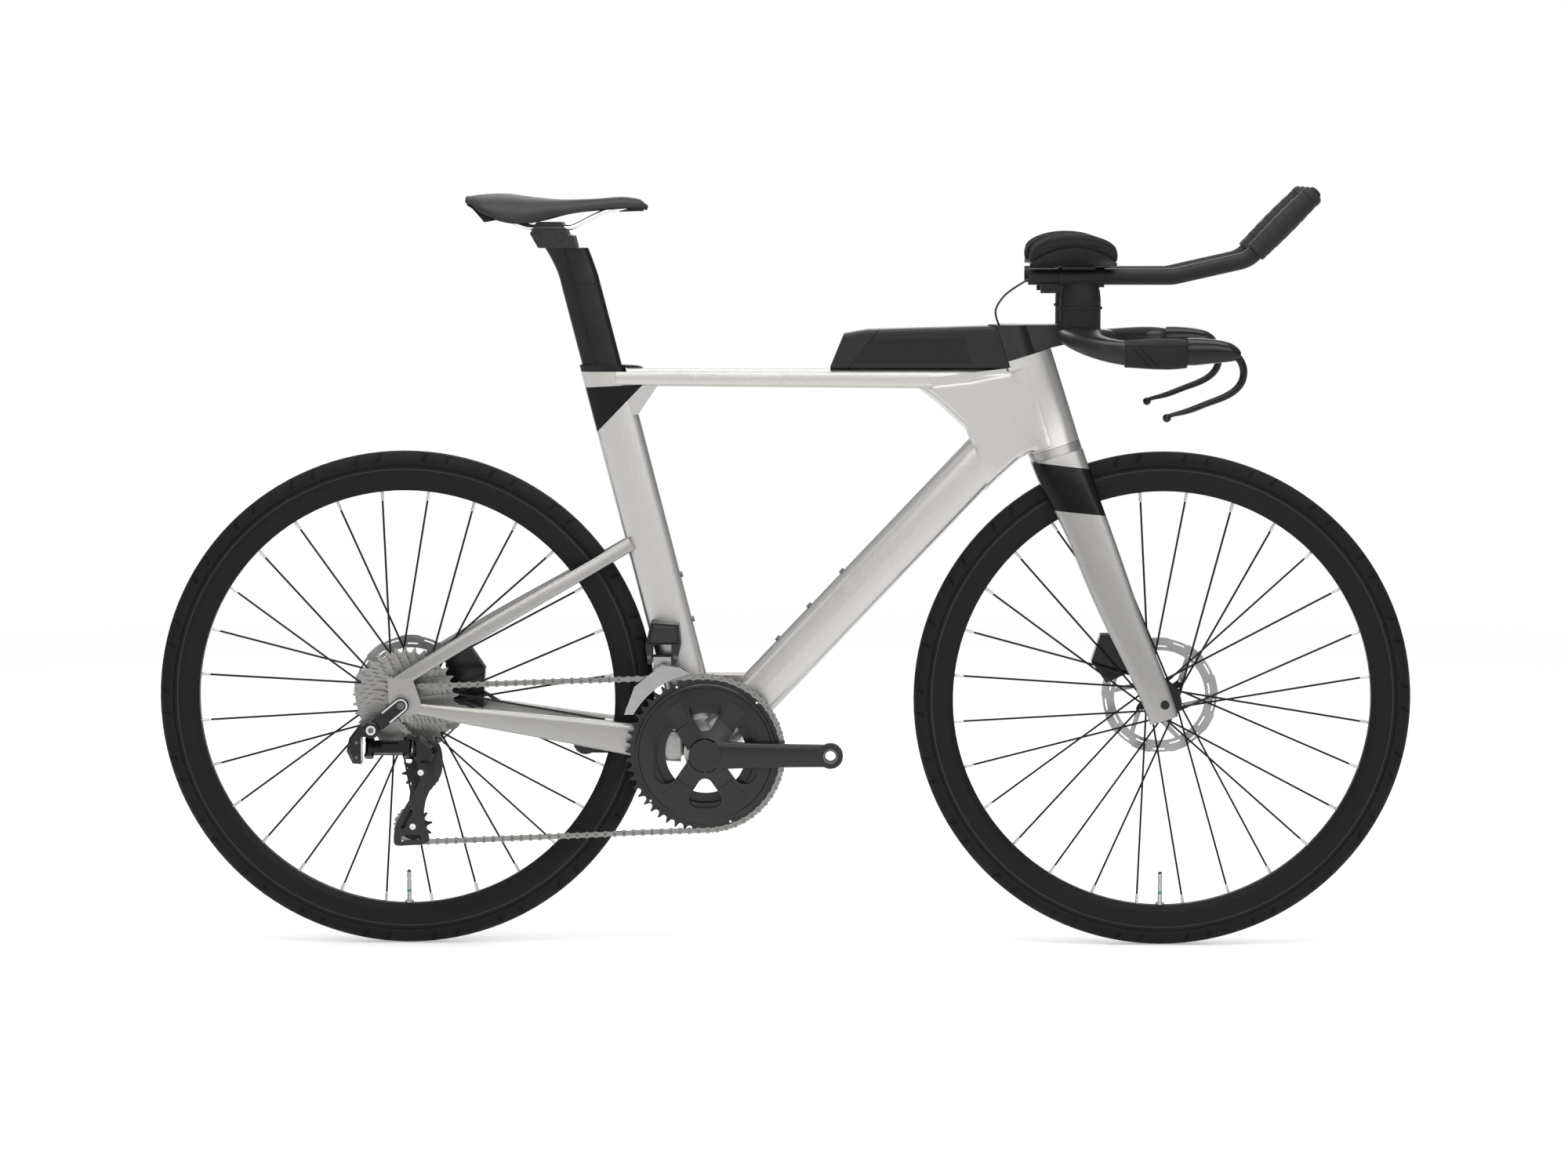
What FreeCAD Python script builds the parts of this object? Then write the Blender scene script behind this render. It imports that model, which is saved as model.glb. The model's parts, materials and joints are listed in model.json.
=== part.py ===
import FreeCAD, Part
import math
import os
import re
from types import SimpleNamespace

import Sketcher
from FreeCAD import Placement, Rotation, Vector

# Time trial bike: +X forward, +Y to the rider's left, +Z up, drive side at -Y.
# The origin lies on the ground midway between the two axles. Millimetres, degrees.

SIZES = {
    # Stance
    "wheelbase": 1032,
    "tyre_radius": 339,
    "bb_ahead": 410,
    "bb_drop": 70,
    "head_angle": 72.4,
    "seat_angle": 75.5,
    "fork_rake": 45,
    # Clearances
    "running_gap": 0.05,
    "seam_gap": 0.5,
    "slide_gap": 0.3,
    # Main frame
    "seat_tube_front": 26,
    "seat_tube_depth": 61,
    "seat_tube_width": 30,
    "top_tube_height": 792,
    "top_tube_depth": 26,
    "top_tube_width": 34,
    "down_tube_depth": 63,
    "down_tube_width": 44,
    "bb_shell_radius": 30,
    "bb_shell_width": 68,
    "bb_web_height": 103.5,
    "head_bottom": 374.3,
    "head_length": 130,
    "head_nose": 42.7,
    "head_back": 29.5,
    "head_width": 54,
    "head_corner": 97,
    "web_width": 26,
    "collar_height": 9,
    # Rear stays
    "dropout_spacing": 142,
    "dropout_thickness": 8,
    "chainstay_tip_depth": 16,
    "chainstay_root_depth": 45,
    "seatstay_depth": 19,
    "seatstay_root": 300,
    # Seat post and saddle
    "post_depth": 52,
    "post_width": 22,
    "post_offset": -5,
    "post_bottom": 330,
    "post_straight_top": 664,
    "post_height": 953.5,
    "post_travel_down": 50,
    "saddle_length": 245,
    "saddle_half_width": 70,
    "saddle_height": 1027,
    "saddle_pad_thickness": 13,
    "saddle_shell_thickness": 2.5,
    "rail_radius": 3.5,
    "rail_spacing": 44,
    "rail_height": 981,
    "clamp_length": 50,
    # Steering
    "steerer_radius": 14.3,
    "lower_bearing_radius": 24,
    "upper_bearing_radius": 21,
    "bearing_height": 7,
    "front_spacing": 100,
    "blade_tip_width": 14,
    "tyre_channel": 22,
    "tyre_room": 7,
    "thru_axle_radius": 6,
    "axle_head_radius": 9,
    # Cockpit
    "box_seam_radius": 29.3,
    "box_length": 230,
    "box_height": 57,
    "box_rear_height": 46,
    "box_tail": 19,
    "box_width": 46,
    "box_wall": 2.5,
    "bar_height": 850,
    "bar_chord": 57,
    "bar_thickness": 26,
    "bar_ahead": 91,
    "bar_half_width": 190,
    "grip_drop": 31,
    "grip_start": 143,
    "grip_length": 81,
    "grip_height": 38,
    "grip_width": 32,
    "lever_house_length": 70,
    "lever_width": 7,
    "tower_spacing": 124,
    "tower_length": 55,
    "tower_width": 34,
    "lower_spacer": 22,
    "upper_spacer": 14,
    "extension_radius": 11.1,
    "extension_height": 66.5,
    "extension_wall": 1.8,
    "clamp_wall": 3.4,
    "cup_half_width": 44,
    "cup_length": 115,
    "cup_thickness": 2.5,
    "pad_thickness": 9,
    "cup_offset": 26,
    "tape_radius": 15,
    "tape_length": 112,
    "button_radius": 9,
    "wire_radius": 1.4,
    # Wheels
    "tyre_width": 28,
    "casing": 2.4,
    "rim_edge_radius": 317,
    "rim_depth": 32,
    "rim_width": 24.8,
    "rim_bed": 6,
    "rim_wall": 1.8,
    "spokes_per_flange": 14,
    "spoke_radius": 0.9,
    "nipple_radius": 2,
    "nipple_length": 12,
    "spoke_hole_radius": 22.5,
    "flange_radius": 24.5,
    "flange_thickness": 6,
    "hub_tube_radius": 13,
    "rotor_seat_radius": 17,
    "rotor_radius": 80,
    "rotor_band": 17,
    "rotor_thickness": 1.8,
    "valve_length": 46,
    "valve_radius": 3,
    # Drive
    "crank_length": 170,
    "crank_end_radius": 17,
    "crank_hub_radius": 22,
    "spindle_radius": 12,
    "pedal_thread_radius": 7.14,
    "chain_pitch": 12.7,
    "roller_radius": 3.85,
    "pin_radius": 1.8,
    "chain_inner_width": 2.2,
    "plate_thickness": 0.6,
    "plate_radius": 4.3,
    "outer_ring_teeth": 52,
    "inner_ring_teeth": 36,
    "outer_ring_line": 48,
    "inner_ring_line": 40.6,
    "ring_thickness": 2,
    "smallest_cog_line": 61.4,
    "cog_spacing": 3.5,
    "cog_thickness": 1.6,
    "freehub_radius": 17,
    "freehub_bore": 8,
    "freehub_end": 66,
    "hanger_thickness": 4,
    "pulley_teeth": 11,
    "pulley_thickness": 1.9,
    "pulley_bolt_radius": 2.5,
}

COGS = (11, 12, 13, 14, 15, 17, 19, 21, 24, 27, 30, 34)

doc = FreeCAD.newDocument("TimeTrialBike")
sheet = doc.addObject("Spreadsheet::Sheet", "Sizes")
for row, (alias, number) in enumerate(SIZES.items(), start=1):
    sheet.set(f"A{row}", alias)
    sheet.set(f"B{row}", str(number))
    sheet.setAlias(f"B{row}", alias)
doc.recompute()
size = SimpleNamespace(**{alias: float(sheet.get(alias)) for alias in SIZES})

ACROSS = Vector(0, 1, 0)
UP = Vector(0, 0, 1)
FORWARD = Vector(1, 0, 0)
TO_ACROSS = Rotation(UP, ACROSS)

rear_hub = Vector(-size.wheelbase / 2, 0, size.tyre_radius)
front_hub = Vector(size.wheelbase / 2, 0, size.tyre_radius)
bb = rear_hub + Vector(size.bb_ahead, 0, -size.bb_drop)


def direction(degrees):
    """Unit vector in the side view, turned up from +X."""
    angle = math.radians(degrees)
    return Vector(math.cos(angle), 0, math.sin(angle))


steer_up = direction(180 - size.head_angle)
steer_ahead = direction(90 - size.head_angle)
seat_up = direction(180 - size.seat_angle)
seat_ahead = direction(90 - size.seat_angle)
steer_base = front_hub - steer_ahead * size.fork_rake
head_top = size.head_bottom + size.head_length


def steer(along, ahead, across=0.0):
    """Point given along and ahead of the steering axis."""
    return steer_base + steer_up * along + steer_ahead * ahead + ACROSS * across


def seat(along, ahead, across=0.0):
    """Point given along and ahead of the seat tube line through the bottom bracket."""
    return bb + seat_up * along + seat_ahead * ahead + ACROSS * across


def at_height(line, height):
    """Point where a side-view line (point, direction) reaches a height."""
    point, way = line
    return point + way * ((height - point.z) / way.z)


# Helpers for the document's objects


def cells(words):
    """Write sheet words as an expression on the sheet's cells."""
    return re.sub(r"[a-z][a-z_0-9]*", lambda word: f"Sizes.{word.group()}", words)


def feature(label, shape):
    """Sub-part whose shape is worked out here from the sheet's sizes."""
    part = doc.addObject("Part::Feature", label)
    part.Shape = shape
    return part


def bound_cylinder(name, radius, height, base, axis):
    """Cylinder whose radius and height follow the sheet."""
    solid = doc.addObject("Part::Cylinder", name)
    solid.setExpression("Radius", cells(radius))
    solid.setExpression("Height", cells(height))
    solid.Placement = Placement(base, Rotation(UP, axis))
    return solid


def joined(label, pieces):
    """Fuse of document objects."""
    fuse = doc.addObject("Part::MultiFuse", label)
    fuse.Shapes = pieces
    return fuse


def cut_object(label, base, tool):
    """Cut of one document object by another."""
    cut = doc.addObject("Part::Cut", label)
    cut.Base = base
    cut.Tool = tool
    return cut


def body_sketch(body, name, role):
    """Sketch on one of the body's own origin planes."""
    sketch = body.newObject("Sketcher::SketchObject", name)
    plane = [item for item in body.Origin.OriginFeatures if item.Role == role][0]
    sketch.AttachmentSupport = [(plane, "")]
    sketch.MapMode = "FlatFace"
    return sketch


def sketch_polygon(sketch, corners):
    """Closed outline whose corners are pairs of expressions on the sheet."""
    first = sketch.GeometryCount
    count = len(corners)
    for index in range(count):
        start = direction(360 * index / count)
        end = direction(360 * (index + 1) / count)
        line = Part.LineSegment(Vector(start.x, start.z, 0), Vector(end.x, end.z, 0))
        sketch.addGeometry(line, False)
    for index in range(count):
        follower = first + (index + 1) % count
        sketch.addConstraint(Sketcher.Constraint("Coincident", first + index, 2, follower, 1))
    for index, corner in enumerate(corners):
        for kind, words in zip(("DistanceX", "DistanceY"), corner):
            number = sketch.addConstraint(Sketcher.Constraint(kind, -1, 1, first + index, 1, 1.0))
            sketch.setExpression(f"Constraints[{number}]", cells(words))


def sketch_circle(sketch, across, up, radius):
    """Circle whose centre and radius are expressions on the sheet."""
    index = sketch.addGeometry(Part.Circle(Vector(1, 1, 0), Vector(0, 0, 1), 1), False)
    for kind, words in (("DistanceX", across), ("DistanceY", up)):
        number = sketch.addConstraint(Sketcher.Constraint(kind, -1, 1, index, 3, 1.0))
        sketch.setExpression(f"Constraints[{number}]", cells(words))
    number = sketch.addConstraint(Sketcher.Constraint("Radius", index, 1.0))
    sketch.setExpression(f"Constraints[{number}]", cells(radius))


def turned_body(label, outlines, centre):
    """Body turned about the across axis: outlines are (along the axle, radius) pairs."""
    body = doc.addObject("PartDesign::Body", label)
    sketch = body_sketch(body, label + "_profile", "YZ_Plane")
    for outline in outlines:
        sketch_polygon(sketch, outline)
    turn = body.newObject("PartDesign::Revolution", label + "_turn")
    turn.Profile = sketch
    turn.ReferenceAxis = (sketch, ["H_Axis"])
    turn.Angle = 360
    body.Placement = Placement(centre, Rotation())
    return body


def padded_feature(body, sketch, name, length):
    """Pad both ways from the sketch."""
    pad = body.newObject("PartDesign::Pad", name)
    pad.Profile = sketch
    pad.Midplane = True
    pad.setExpression("Length", cells(length))
    return pad


def round_pattern(body, original, sketch, count):
    """Copies of a feature round the sketch's own axis."""
    pattern = body.newObject("PartDesign::PolarPattern", original.Name + "_round")
    pattern.Originals = [original]
    pattern.Axis = (sketch, ["N_Axis"])
    pattern.Angle = 360
    pattern.Occurrences = count
    body.Tip = pattern
    return pattern


# Helpers for shapes


def ring(centre, half_a, half_b, power=2.5):
    """Smooth closed section in four quarters, from its centre, two half axes and its squareness."""
    pull = (8 * 0.5 ** (1 / power) - 4) / 3
    ways = (half_a, half_b, half_a * -1, half_b * -1, half_a)
    edges = []
    for start, end in zip(ways, ways[1:]):
        quarter = Part.BezierCurve()
        quarter.setPoles([centre + start, centre + start + end * pull, centre + end + start * pull, centre + end])
        edges.append(quarter.toShape())
    return Part.Wire(edges)


def edge_ring(front, rear, width, across=0.0, power=2.5):
    """Section between two points of a side-view outline."""
    centre = (front + rear) / 2 + ACROSS * across
    return ring(centre, (front - rear) / 2, ACROSS * (width / 2), power)


def loft(sections, ruled=False):
    """Solid through sections."""
    return Part.makeLoft(sections, True, ruled)


def prism(points, width, across=0.0):
    """Side-view polygon pulled both ways from its plane."""
    corners = [Vector(p.x, across - width / 2, p.z) for p in points]
    face = Part.Face(Part.makePolygon(corners + corners[:1]))
    return face.extrude(ACROSS * width)


def rod(start, end, radius):
    """Cylinder between two points."""
    return Part.makeCylinder(radius, (end - start).Length, start, end - start)


def disc(centre, radius, low, high):
    """Cylinder across the bike, from one depth to another."""
    return Part.makeCylinder(radius, high - low, Vector(centre.x, low, centre.z), ACROSS)


def fused(shapes):
    """One solid from touching shapes."""
    whole = shapes[0]
    for shape in shapes[1:]:
        whole = whole.fuse(shape)
    return whole


def without(shape, tools):
    """A shape cut by one tool after another."""
    for tool in tools:
        shape = shape.cut(tool)
    return shape


def largest(shape):
    """The biggest solid of a cut shape."""
    return max(shape.Solids, key=lambda solid: solid.Volume)


def mirrored(shape):
    """The same shape on the other side of the bike."""
    return shape.mirror(Vector(0, 0, 0), ACROSS)


def rounded_path(points, radius=None):
    """Straight runs joined by tangent arcs of one radius, or of the largest that the runs leave room for."""
    edges = []
    start = points[0]
    for before, corner, after in zip(points, points[1:], points[2:]):
        arriving = (corner - before).normalize()
        leaving = (after - corner).normalize()
        turn = arriving.getAngle(leaving)
        shorter = min((corner - before).Length, (after - corner).Length)
        bend = radius or 0.45 * shorter / math.tan(turn / 2)
        setback = bend * math.tan(turn / 2)
        enter = corner - arriving * setback
        leave = corner + leaving * setback
        inward = (leaving - arriving).normalize()
        middle = corner + inward * (bend / math.cos(turn / 2) - bend)
        edges.append(Part.LineSegment(start, enter).toShape())
        edges.append(Part.Arc(enter, middle, leave).toShape())
        start = leave
    edges.append(Part.LineSegment(start, points[-1]).toShape())
    return Part.Wire(edges)


def tube_along(path, radius):
    """Round rod along a path of runs and arcs."""
    first = path.Edges[0]
    start = first.valueAt(first.FirstParameter)
    way = first.tangentAt(first.FirstParameter)
    circle = Part.Wire([Part.makeCircle(radius, start, way)])
    return path.makePipeShell([circle], True, False)


def pitch_radius(teeth):
    """Radius of the circle that a sprocket's rollers sit on."""
    return size.chain_pitch / (2 * math.sin(math.pi / teeth))


def sprocket(teeth, thickness, hole_radius, phase=0.0):
    """Toothed plate about the across axis at the origin; a roller seat lies at the phase angle."""
    pitch = pitch_radius(teeth)
    seat_radius = size.roller_radius + 2 * size.running_gap
    tip_radius = pitch + 0.30 * size.chain_pitch
    edges = []
    step = 360.0 / teeth
    last_tip = None
    first_tip = None
    for index in range(int(teeth)):
        angle = phase + index * step
        outward = direction(angle)
        middle = outward * pitch
        sides = []
        for turn in (125, 180, 235):
            sides.append(middle + direction(angle + turn) * seat_radius)
        tip_before = direction(angle - step / 2 + 0.07 * step) * tip_radius
        tip_after = direction(angle + step / 2 - 0.07 * step) * tip_radius
        if last_tip is None:
            first_tip = tip_before
        else:
            edges.append(Part.LineSegment(last_tip, tip_before).toShape())
        edges.append(Part.LineSegment(tip_before, sides[2]).toShape())
        edges.append(Part.Arc(sides[2], sides[1], sides[0]).toShape())
        edges.append(Part.LineSegment(sides[0], tip_after).toShape())
        last_tip = tip_after
    edges.append(Part.LineSegment(last_tip, first_tip).toShape())
    face = Part.Face(Part.Wire(edges))
    plate = face.extrude(ACROSS * thickness)
    plate.translate(ACROSS * (-thickness / 2))
    return plate.cut(disc(Vector(0, 0, 0), hole_radius, -thickness, thickness))


# Main frame

down_target = steer(size.head_bottom, -size.head_back - 21)
down_reach = down_target - bb
down_angle = math.degrees(math.atan2(down_reach.z, down_reach.x)
                          + math.asin(size.bb_shell_radius / down_reach.Length))
down_way = direction(down_angle)
down_under = direction(down_angle - 90)
down_run = math.sqrt(down_reach.Length ** 2 - size.bb_shell_radius ** 2)


def down_edge(along, depth):
    """Point on the down tube, along it and up from its lower edge."""
    return bb + down_under * (size.bb_shell_radius - depth) + down_way * along


seat_rear = size.seat_tube_front - size.seat_tube_depth
seat_front_line = (seat(0, size.seat_tube_front), seat_up)
down_top_line = (down_edge(0, size.down_tube_depth), down_way)
top_under = size.top_tube_height - size.top_tube_depth
collar_base = size.top_tube_height - size.collar_height + 3


def seat_tube():
    sections = []
    for height, extra in ((45, 14), (120, 5), (300, 0), (420, 0), (560, 0)):
        front = seat(height, size.seat_tube_front)
        rear = seat(height, seat_rear)
        sections.append(edge_ring(front, rear, size.seat_tube_width + extra, power=3))
    return loft(sections)


def down_tube():
    sections = []
    for share, extra in ((0.05, 8), (0.25, 2), (0.6, 0), (1.0, -2)):
        along = down_run * share
        lower = down_edge(along, 0)
        upper = down_edge(along, size.down_tube_depth)
        sections.append(edge_ring(lower, upper, size.down_tube_width + extra, power=3))
    return loft(sections)


def top_tube():
    start = at_height(seat_front_line, top_under).x - 20
    end = steer(head_top, -10).x
    sections = []
    for share, extra in ((0, 0), (0.4, 0), (1.0, 8)):
        place = start + (end - start) * share
        top = Vector(place, 0, size.top_tube_height)
        under = Vector(place, 0, top_under - 4 * share)
        sections.append(edge_ring(top, under, size.top_tube_width + extra, power=3.5))
    return loft(sections)


def head_tube():
    sections = []
    for share, extra in ((0, 0), (0.5, -10), (1.0, -2)):
        along = size.head_bottom + size.head_length * share
        front = steer(along, size.head_nose)
        rear = steer(along, -size.head_back)
        sections.append(edge_ring(front, rear, size.head_width + extra, power=2.6))
    return loft(sections)


def bottom_web():
    height = bb.z + size.bb_web_height
    seat_point = at_height(seat_front_line, height)
    down_point = at_height(down_top_line, height)
    inside = seat(size.bb_web_height, seat_rear / 2)
    return prism([bb, inside, seat_point - FORWARD * 8, seat_point, down_point, down_edge(60, 30)],
                 size.web_width + 8)


def seat_corner():
    low = at_height(seat_front_line, top_under - 38)
    high = at_height(seat_front_line, top_under)
    out = Vector(high.x + 36, 0, top_under + 1)
    inner = Vector(high.x - 12, 0, top_under + 10)
    return prism([low - FORWARD * 10, low, out, out + UP * 8, inner], size.web_width)


def head_web():
    corner = steer(size.head_bottom + 66, -size.head_corner)
    out = Vector(corner.x - 48, 0, top_under - 2)
    points = [down_edge(down_run - 2, 6), down_edge(down_run - 20, size.down_tube_depth - 1), corner, out,
              out + UP * 15, steer(head_top - 8, -size.head_back + 6),
              steer(size.head_bottom + 4, -size.head_back + 6), steer(size.head_bottom + 1, -size.head_back - 10)]
    return prism(points, size.web_width + 14)


def post_section(along, gap=0.0):
    """Seat post section, or the pocket round it with a gap."""
    half = size.post_depth / 2
    front = seat(along, size.post_offset + half + gap)
    rear = seat(along, size.post_offset - half - gap)
    return edge_ring(front, rear, size.post_width + 2 * gap, power=3)


def post_prism(low, high, gap):
    return loft([post_section(low, gap), post_section(high, gap)], ruled=True)


def main_frame():
    shell = disc(bb, size.bb_shell_radius, -size.bb_shell_width / 2, size.bb_shell_width / 2)
    whole = fused([seat_tube(), down_tube(), top_tube(), head_tube(), bottom_web(), seat_corner(), head_web(),
                   shell])
    collar_front = at_height(seat_front_line, collar_base).x
    above = Part.makeBox(160, 120, 80, Vector(collar_front - 160, -60, collar_base))
    below_head = Part.makeCylinder(90, 60, steer(size.head_bottom - 60, 0), steer_up)
    steerer_bore = Part.makeCylinder(size.steerer_radius + 2, size.head_length + 40,
                                     steer(size.head_bottom - 20, 0), steer_up)
    lower_seat = Part.makeCylinder(size.lower_bearing_radius, size.bearing_height + 20,
                                   steer(size.head_bottom - 20, 0), steer_up)
    upper_seat = Part.makeCylinder(size.upper_bearing_radius, size.bearing_height + 20,
                                   steer(head_top - size.bearing_height, 0), steer_up)
    pocket = post_prism(size.post_bottom - size.post_travel_down - 6, size.post_bottom + 300, size.slide_gap)
    bb_bore = disc(bb, size.spindle_radius + 8, -size.bb_shell_width, size.bb_shell_width)
    return without(whole, [above, below_head, steerer_bore, lower_seat, upper_seat, pocket, bb_bore])


frame_shape = main_frame()
feature("main_frame", frame_shape)


# Rear stays

inner_face = size.dropout_spacing / 2
dropout_middle = inner_face + size.dropout_thickness / 2


def chainstay():
    """Right chainstay, from the dropout to the bottom bracket."""
    tip = rear_hub + Vector(20, 0, -6)
    root = bb + Vector(-100, 0, 16.5)
    last = bb + Vector(-34, 0, 8)
    sections = []
    for share, across, width in ((0, dropout_middle, size.dropout_thickness), (0.2, 66, 12), (0.5, 50, 14),
                                 (0.8, 37, 15), (1.0, 30, 16)):
        middle = tip + (root - tip) * share
        depth = size.chainstay_tip_depth + (size.chainstay_root_depth - size.chainstay_tip_depth) * share
        sections.append(edge_ring(middle + UP * (depth / 2), middle - UP * (depth / 2), width, -across, 4))
    depth = size.chainstay_root_depth
    sections.append(edge_ring(last + UP * (depth / 2), last - UP * (depth / 2), 20, -24, 4))
    return loft(sections)


def seatstay():
    """Right seat stay, from the dropout to the seat tube."""
    root = seat(size.seatstay_root, seat_rear + 8)
    tip = rear_hub + Vector(0, 0, 36)
    way = (root - tip).normalize()
    over = Vector(-way.z, 0, way.x)
    half = over * (size.seatstay_depth / 2)
    sections = [edge_ring(tip + Vector(-18, 0, -4), tip + Vector(16, 0, -4), size.dropout_thickness,
                          -dropout_middle, 4)]
    for share, across, width in ((0.28, 64, 10), (0.62, 42, 11), (1.0, 15, 13)):
        middle = tip + (root - tip) * share
        sections.append(edge_ring(middle + half, middle - half, width, -across, 4))
    return loft(sections)


def dropout():
    """Right dropout plate round the axle."""
    outline = [(-18, 36), (-18, 5), (-12, -11), (14, -15), (28, -6), (26, 3), (15, 36)]
    return prism([rear_hub + Vector(x, 0, z) for x, z in outline], size.dropout_thickness, -dropout_middle)


def one_stay():
    side = fused([chainstay(), seatstay(), dropout()])
    axle_hole = disc(rear_hub, size.thru_axle_radius + size.running_gap, -200, 0)
    return largest(without(side, [axle_hole, frame_shape]))


right_stay = one_stay()
stays_shape = Part.makeCompound([right_stay, mirrored(right_stay)])
feature("rear_stays", stays_shape)


# Seat post, its collar and the saddle


def collar():
    """Clamp slab round the post with a tongue along the top tube."""
    middle = at_height((seat(0, size.post_offset), seat_up), collar_base)
    half = size.post_depth / 2 / math.sin(math.radians(size.seat_angle)) + 4
    low = ring(middle, FORWARD * half, ACROSS * (size.seat_tube_width / 2), 3)
    shift = seat_up * (size.collar_height / seat_up.z)
    high = ring(middle + shift, FORWARD * half, ACROSS * (size.seat_tube_width / 2), 3)
    slab = loft([low, high], ruled=True)
    nose = middle.x + half
    tongue_low = size.top_tube_height - 1
    tongue = prism([Vector(nose - 8, 0, tongue_low), Vector(nose + 24, 0, tongue_low + 0.5),
                    Vector(nose + 14, 0, tongue_low + 3), Vector(nose - 8, 0, tongue_low + 4)],
                   size.seat_tube_width - 12)
    hole = post_prism(size.post_bottom, size.post_bottom + 300, size.slide_gap)
    return without(fused([slab, tongue]), [hole, frame_shape])


feature("seat_clamp", collar())

post_top = at_height((seat(0, size.post_offset), seat_up), size.post_height)


def seat_post():
    straight = post_prism(size.post_bottom, size.post_straight_top, 0)
    back = Vector(post_top.x - 36, 0, size.post_height)
    front = Vector(post_top.x + 23, 0, size.post_height)
    middle = size.post_straight_top + 24
    half = size.post_depth / 2
    flare = edge_ring(seat(middle, size.post_offset + half - 2), seat(middle + 3, size.post_offset - half - 2),
                      size.post_width, power=3)
    head = loft([post_section(size.post_straight_top), flare,
                 edge_ring(front, back, size.post_width + 2, power=3)])
    return fused([straight, head])


post_shape = seat_post()
feature("seat_post", post_shape)


saddle_tail = post_top.x - 141

# Saddle stations: share of the length, half width share, top and edge heights below the saddle height.
SADDLE = ((0.01, 0.52, 2, 14), (0.09, 0.90, 1, 24), (0.22, 1.0, 0, 36), (0.36, 0.86, 4, 38),
          (0.52, 0.52, 7, 29), (0.70, 0.33, 6, 22), (0.86, 0.27, 4, 19), (0.96, 0.20, 8, 19),
          (0.995, 0.12, 15, 21))
SADDLE_EDGE = 3.2


def crescent(place, half, top, low, inner_half, inner_top):
    """Saddle section: crown arc, edge, inner arc, edge."""
    outer = Part.Arc(Vector(place, -half, low), Vector(place, 0, top), Vector(place, half, low)).toShape()
    inner = Part.Arc(Vector(place, inner_half, low), Vector(place, 0, inner_top),
                     Vector(place, -inner_half, low)).toShape()
    right = Part.LineSegment(Vector(place, half, low), Vector(place, inner_half, low)).toShape()
    left = Part.LineSegment(Vector(place, -inner_half, low), Vector(place, -half, low)).toShape()
    return Part.Wire([outer, right, inner, left])


def saddle_layers():
    """Padding and the shell under it, as crescent lofts from tail to nose."""
    padding = []
    shell = []
    for share, half_share, top_drop, low_drop in SADDLE:
        place = saddle_tail + size.saddle_length * share
        half = size.saddle_half_width * half_share
        top = size.saddle_height - top_drop
        low = size.saddle_height - low_drop
        inner_half = half - SADDLE_EDGE
        inner_top = top - min(size.saddle_pad_thickness, 0.55 * (top - low))
        padding.append(crescent(place, half, top, low, inner_half, inner_top))
        shell_half = inner_half - size.slide_gap
        shell_top = inner_top - size.slide_gap
        shell_low = low - 2
        shell_inner = shell_top - min(size.saddle_shell_thickness, 0.55 * (shell_top - shell_low))
        shell.append(crescent(place, shell_half, shell_top, shell_low, shell_half - 2, shell_inner))
    return loft(padding), loft(shell)


padding_shape, shell_loft = saddle_layers()
feature("saddle_padding", padding_shape)


def rail_path():
    """Right saddle rail, from the tail socket to the nose socket."""
    half = size.rail_spacing / 2
    level = size.rail_height
    marks = [(-113, half, 20), (-57, half, 0), (3, half, 0), (46, half - 8, 22), (76, 9, 27)]
    points = [Vector(post_top.x + along, -across, level + rise) for along, across, rise in marks]
    return rounded_path(points, 24)


def saddle_shell():
    level = size.rail_height
    rear = prism([Vector(saddle_tail + 6, 0, level + 30), Vector(saddle_tail + 26, 0, level + 7),
                  Vector(saddle_tail + 42, 0, level + 10), Vector(saddle_tail + 34, 0, level + 30)], 62)
    nose_x = saddle_tail + size.saddle_length
    nose = prism([Vector(nose_x - 38, 0, level + 21), Vector(nose_x - 6, 0, level + 22),
                  Vector(nose_x - 6, 0, level + 28), Vector(nose_x - 34, 0, level + 30)], 24)
    return largest(without(fused([shell_loft, rear, nose]), [padding_shape]))


rail_shape = tube_along(rail_path(), size.rail_radius)
shell_shape = saddle_shell()
rails = [largest(without(rail, [shell_shape])) for rail in (rail_shape, mirrored(rail_shape))]
shell_shape = without(shell_shape, [rail_shape, mirrored(rail_shape)])
feature("saddle_shell", largest(shell_shape))
feature("saddle_rails", Part.makeCompound(rails))


def saddle_clamp():
    """Cradle under the rails, plate over them and two cross bolts."""
    base = size.post_height
    level = size.rail_height
    back = post_top.x - 1.06 * size.clamp_length
    front = back + size.clamp_length
    cradle = prism([Vector(back + 10, 0, base), Vector(front + 12, 0, base), Vector(front + 8, 0, base + 16),
                    Vector(front, 0, base + 18), Vector(front - 3, 0, level - 0.2), Vector(back + 4, 0, level - 0.2),
                    Vector(back - 1, 0, level - 8)], size.rail_spacing + 12)
    plate = prism([Vector(back + 2, 0, level + 0.2), Vector(front - 4, 0, level + 0.2),
                   Vector(front - 8, 0, level + 7), Vector(back + 8, 0, level + 7)], size.rail_spacing + 10)
    reach = size.rail_spacing / 2 + 9
    bolts = [disc(Vector(back + at, 0, level - 12.5), 5, -reach, reach) for at in (9, 40.5)]
    lower = fused([cradle] + bolts)
    grooves = [tube_along(rail_path(), size.rail_radius + size.running_gap)]
    grooves.append(mirrored(grooves[0]))
    return Part.makeCompound([largest(without(piece, grooves)) for piece in (lower, plate)])


feature("saddle_clamp", saddle_clamp())


# Fork and headset

crown_top = size.head_bottom - size.seam_gap
tip_across = size.front_spacing / 2 + size.blade_tip_width / 2

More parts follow.
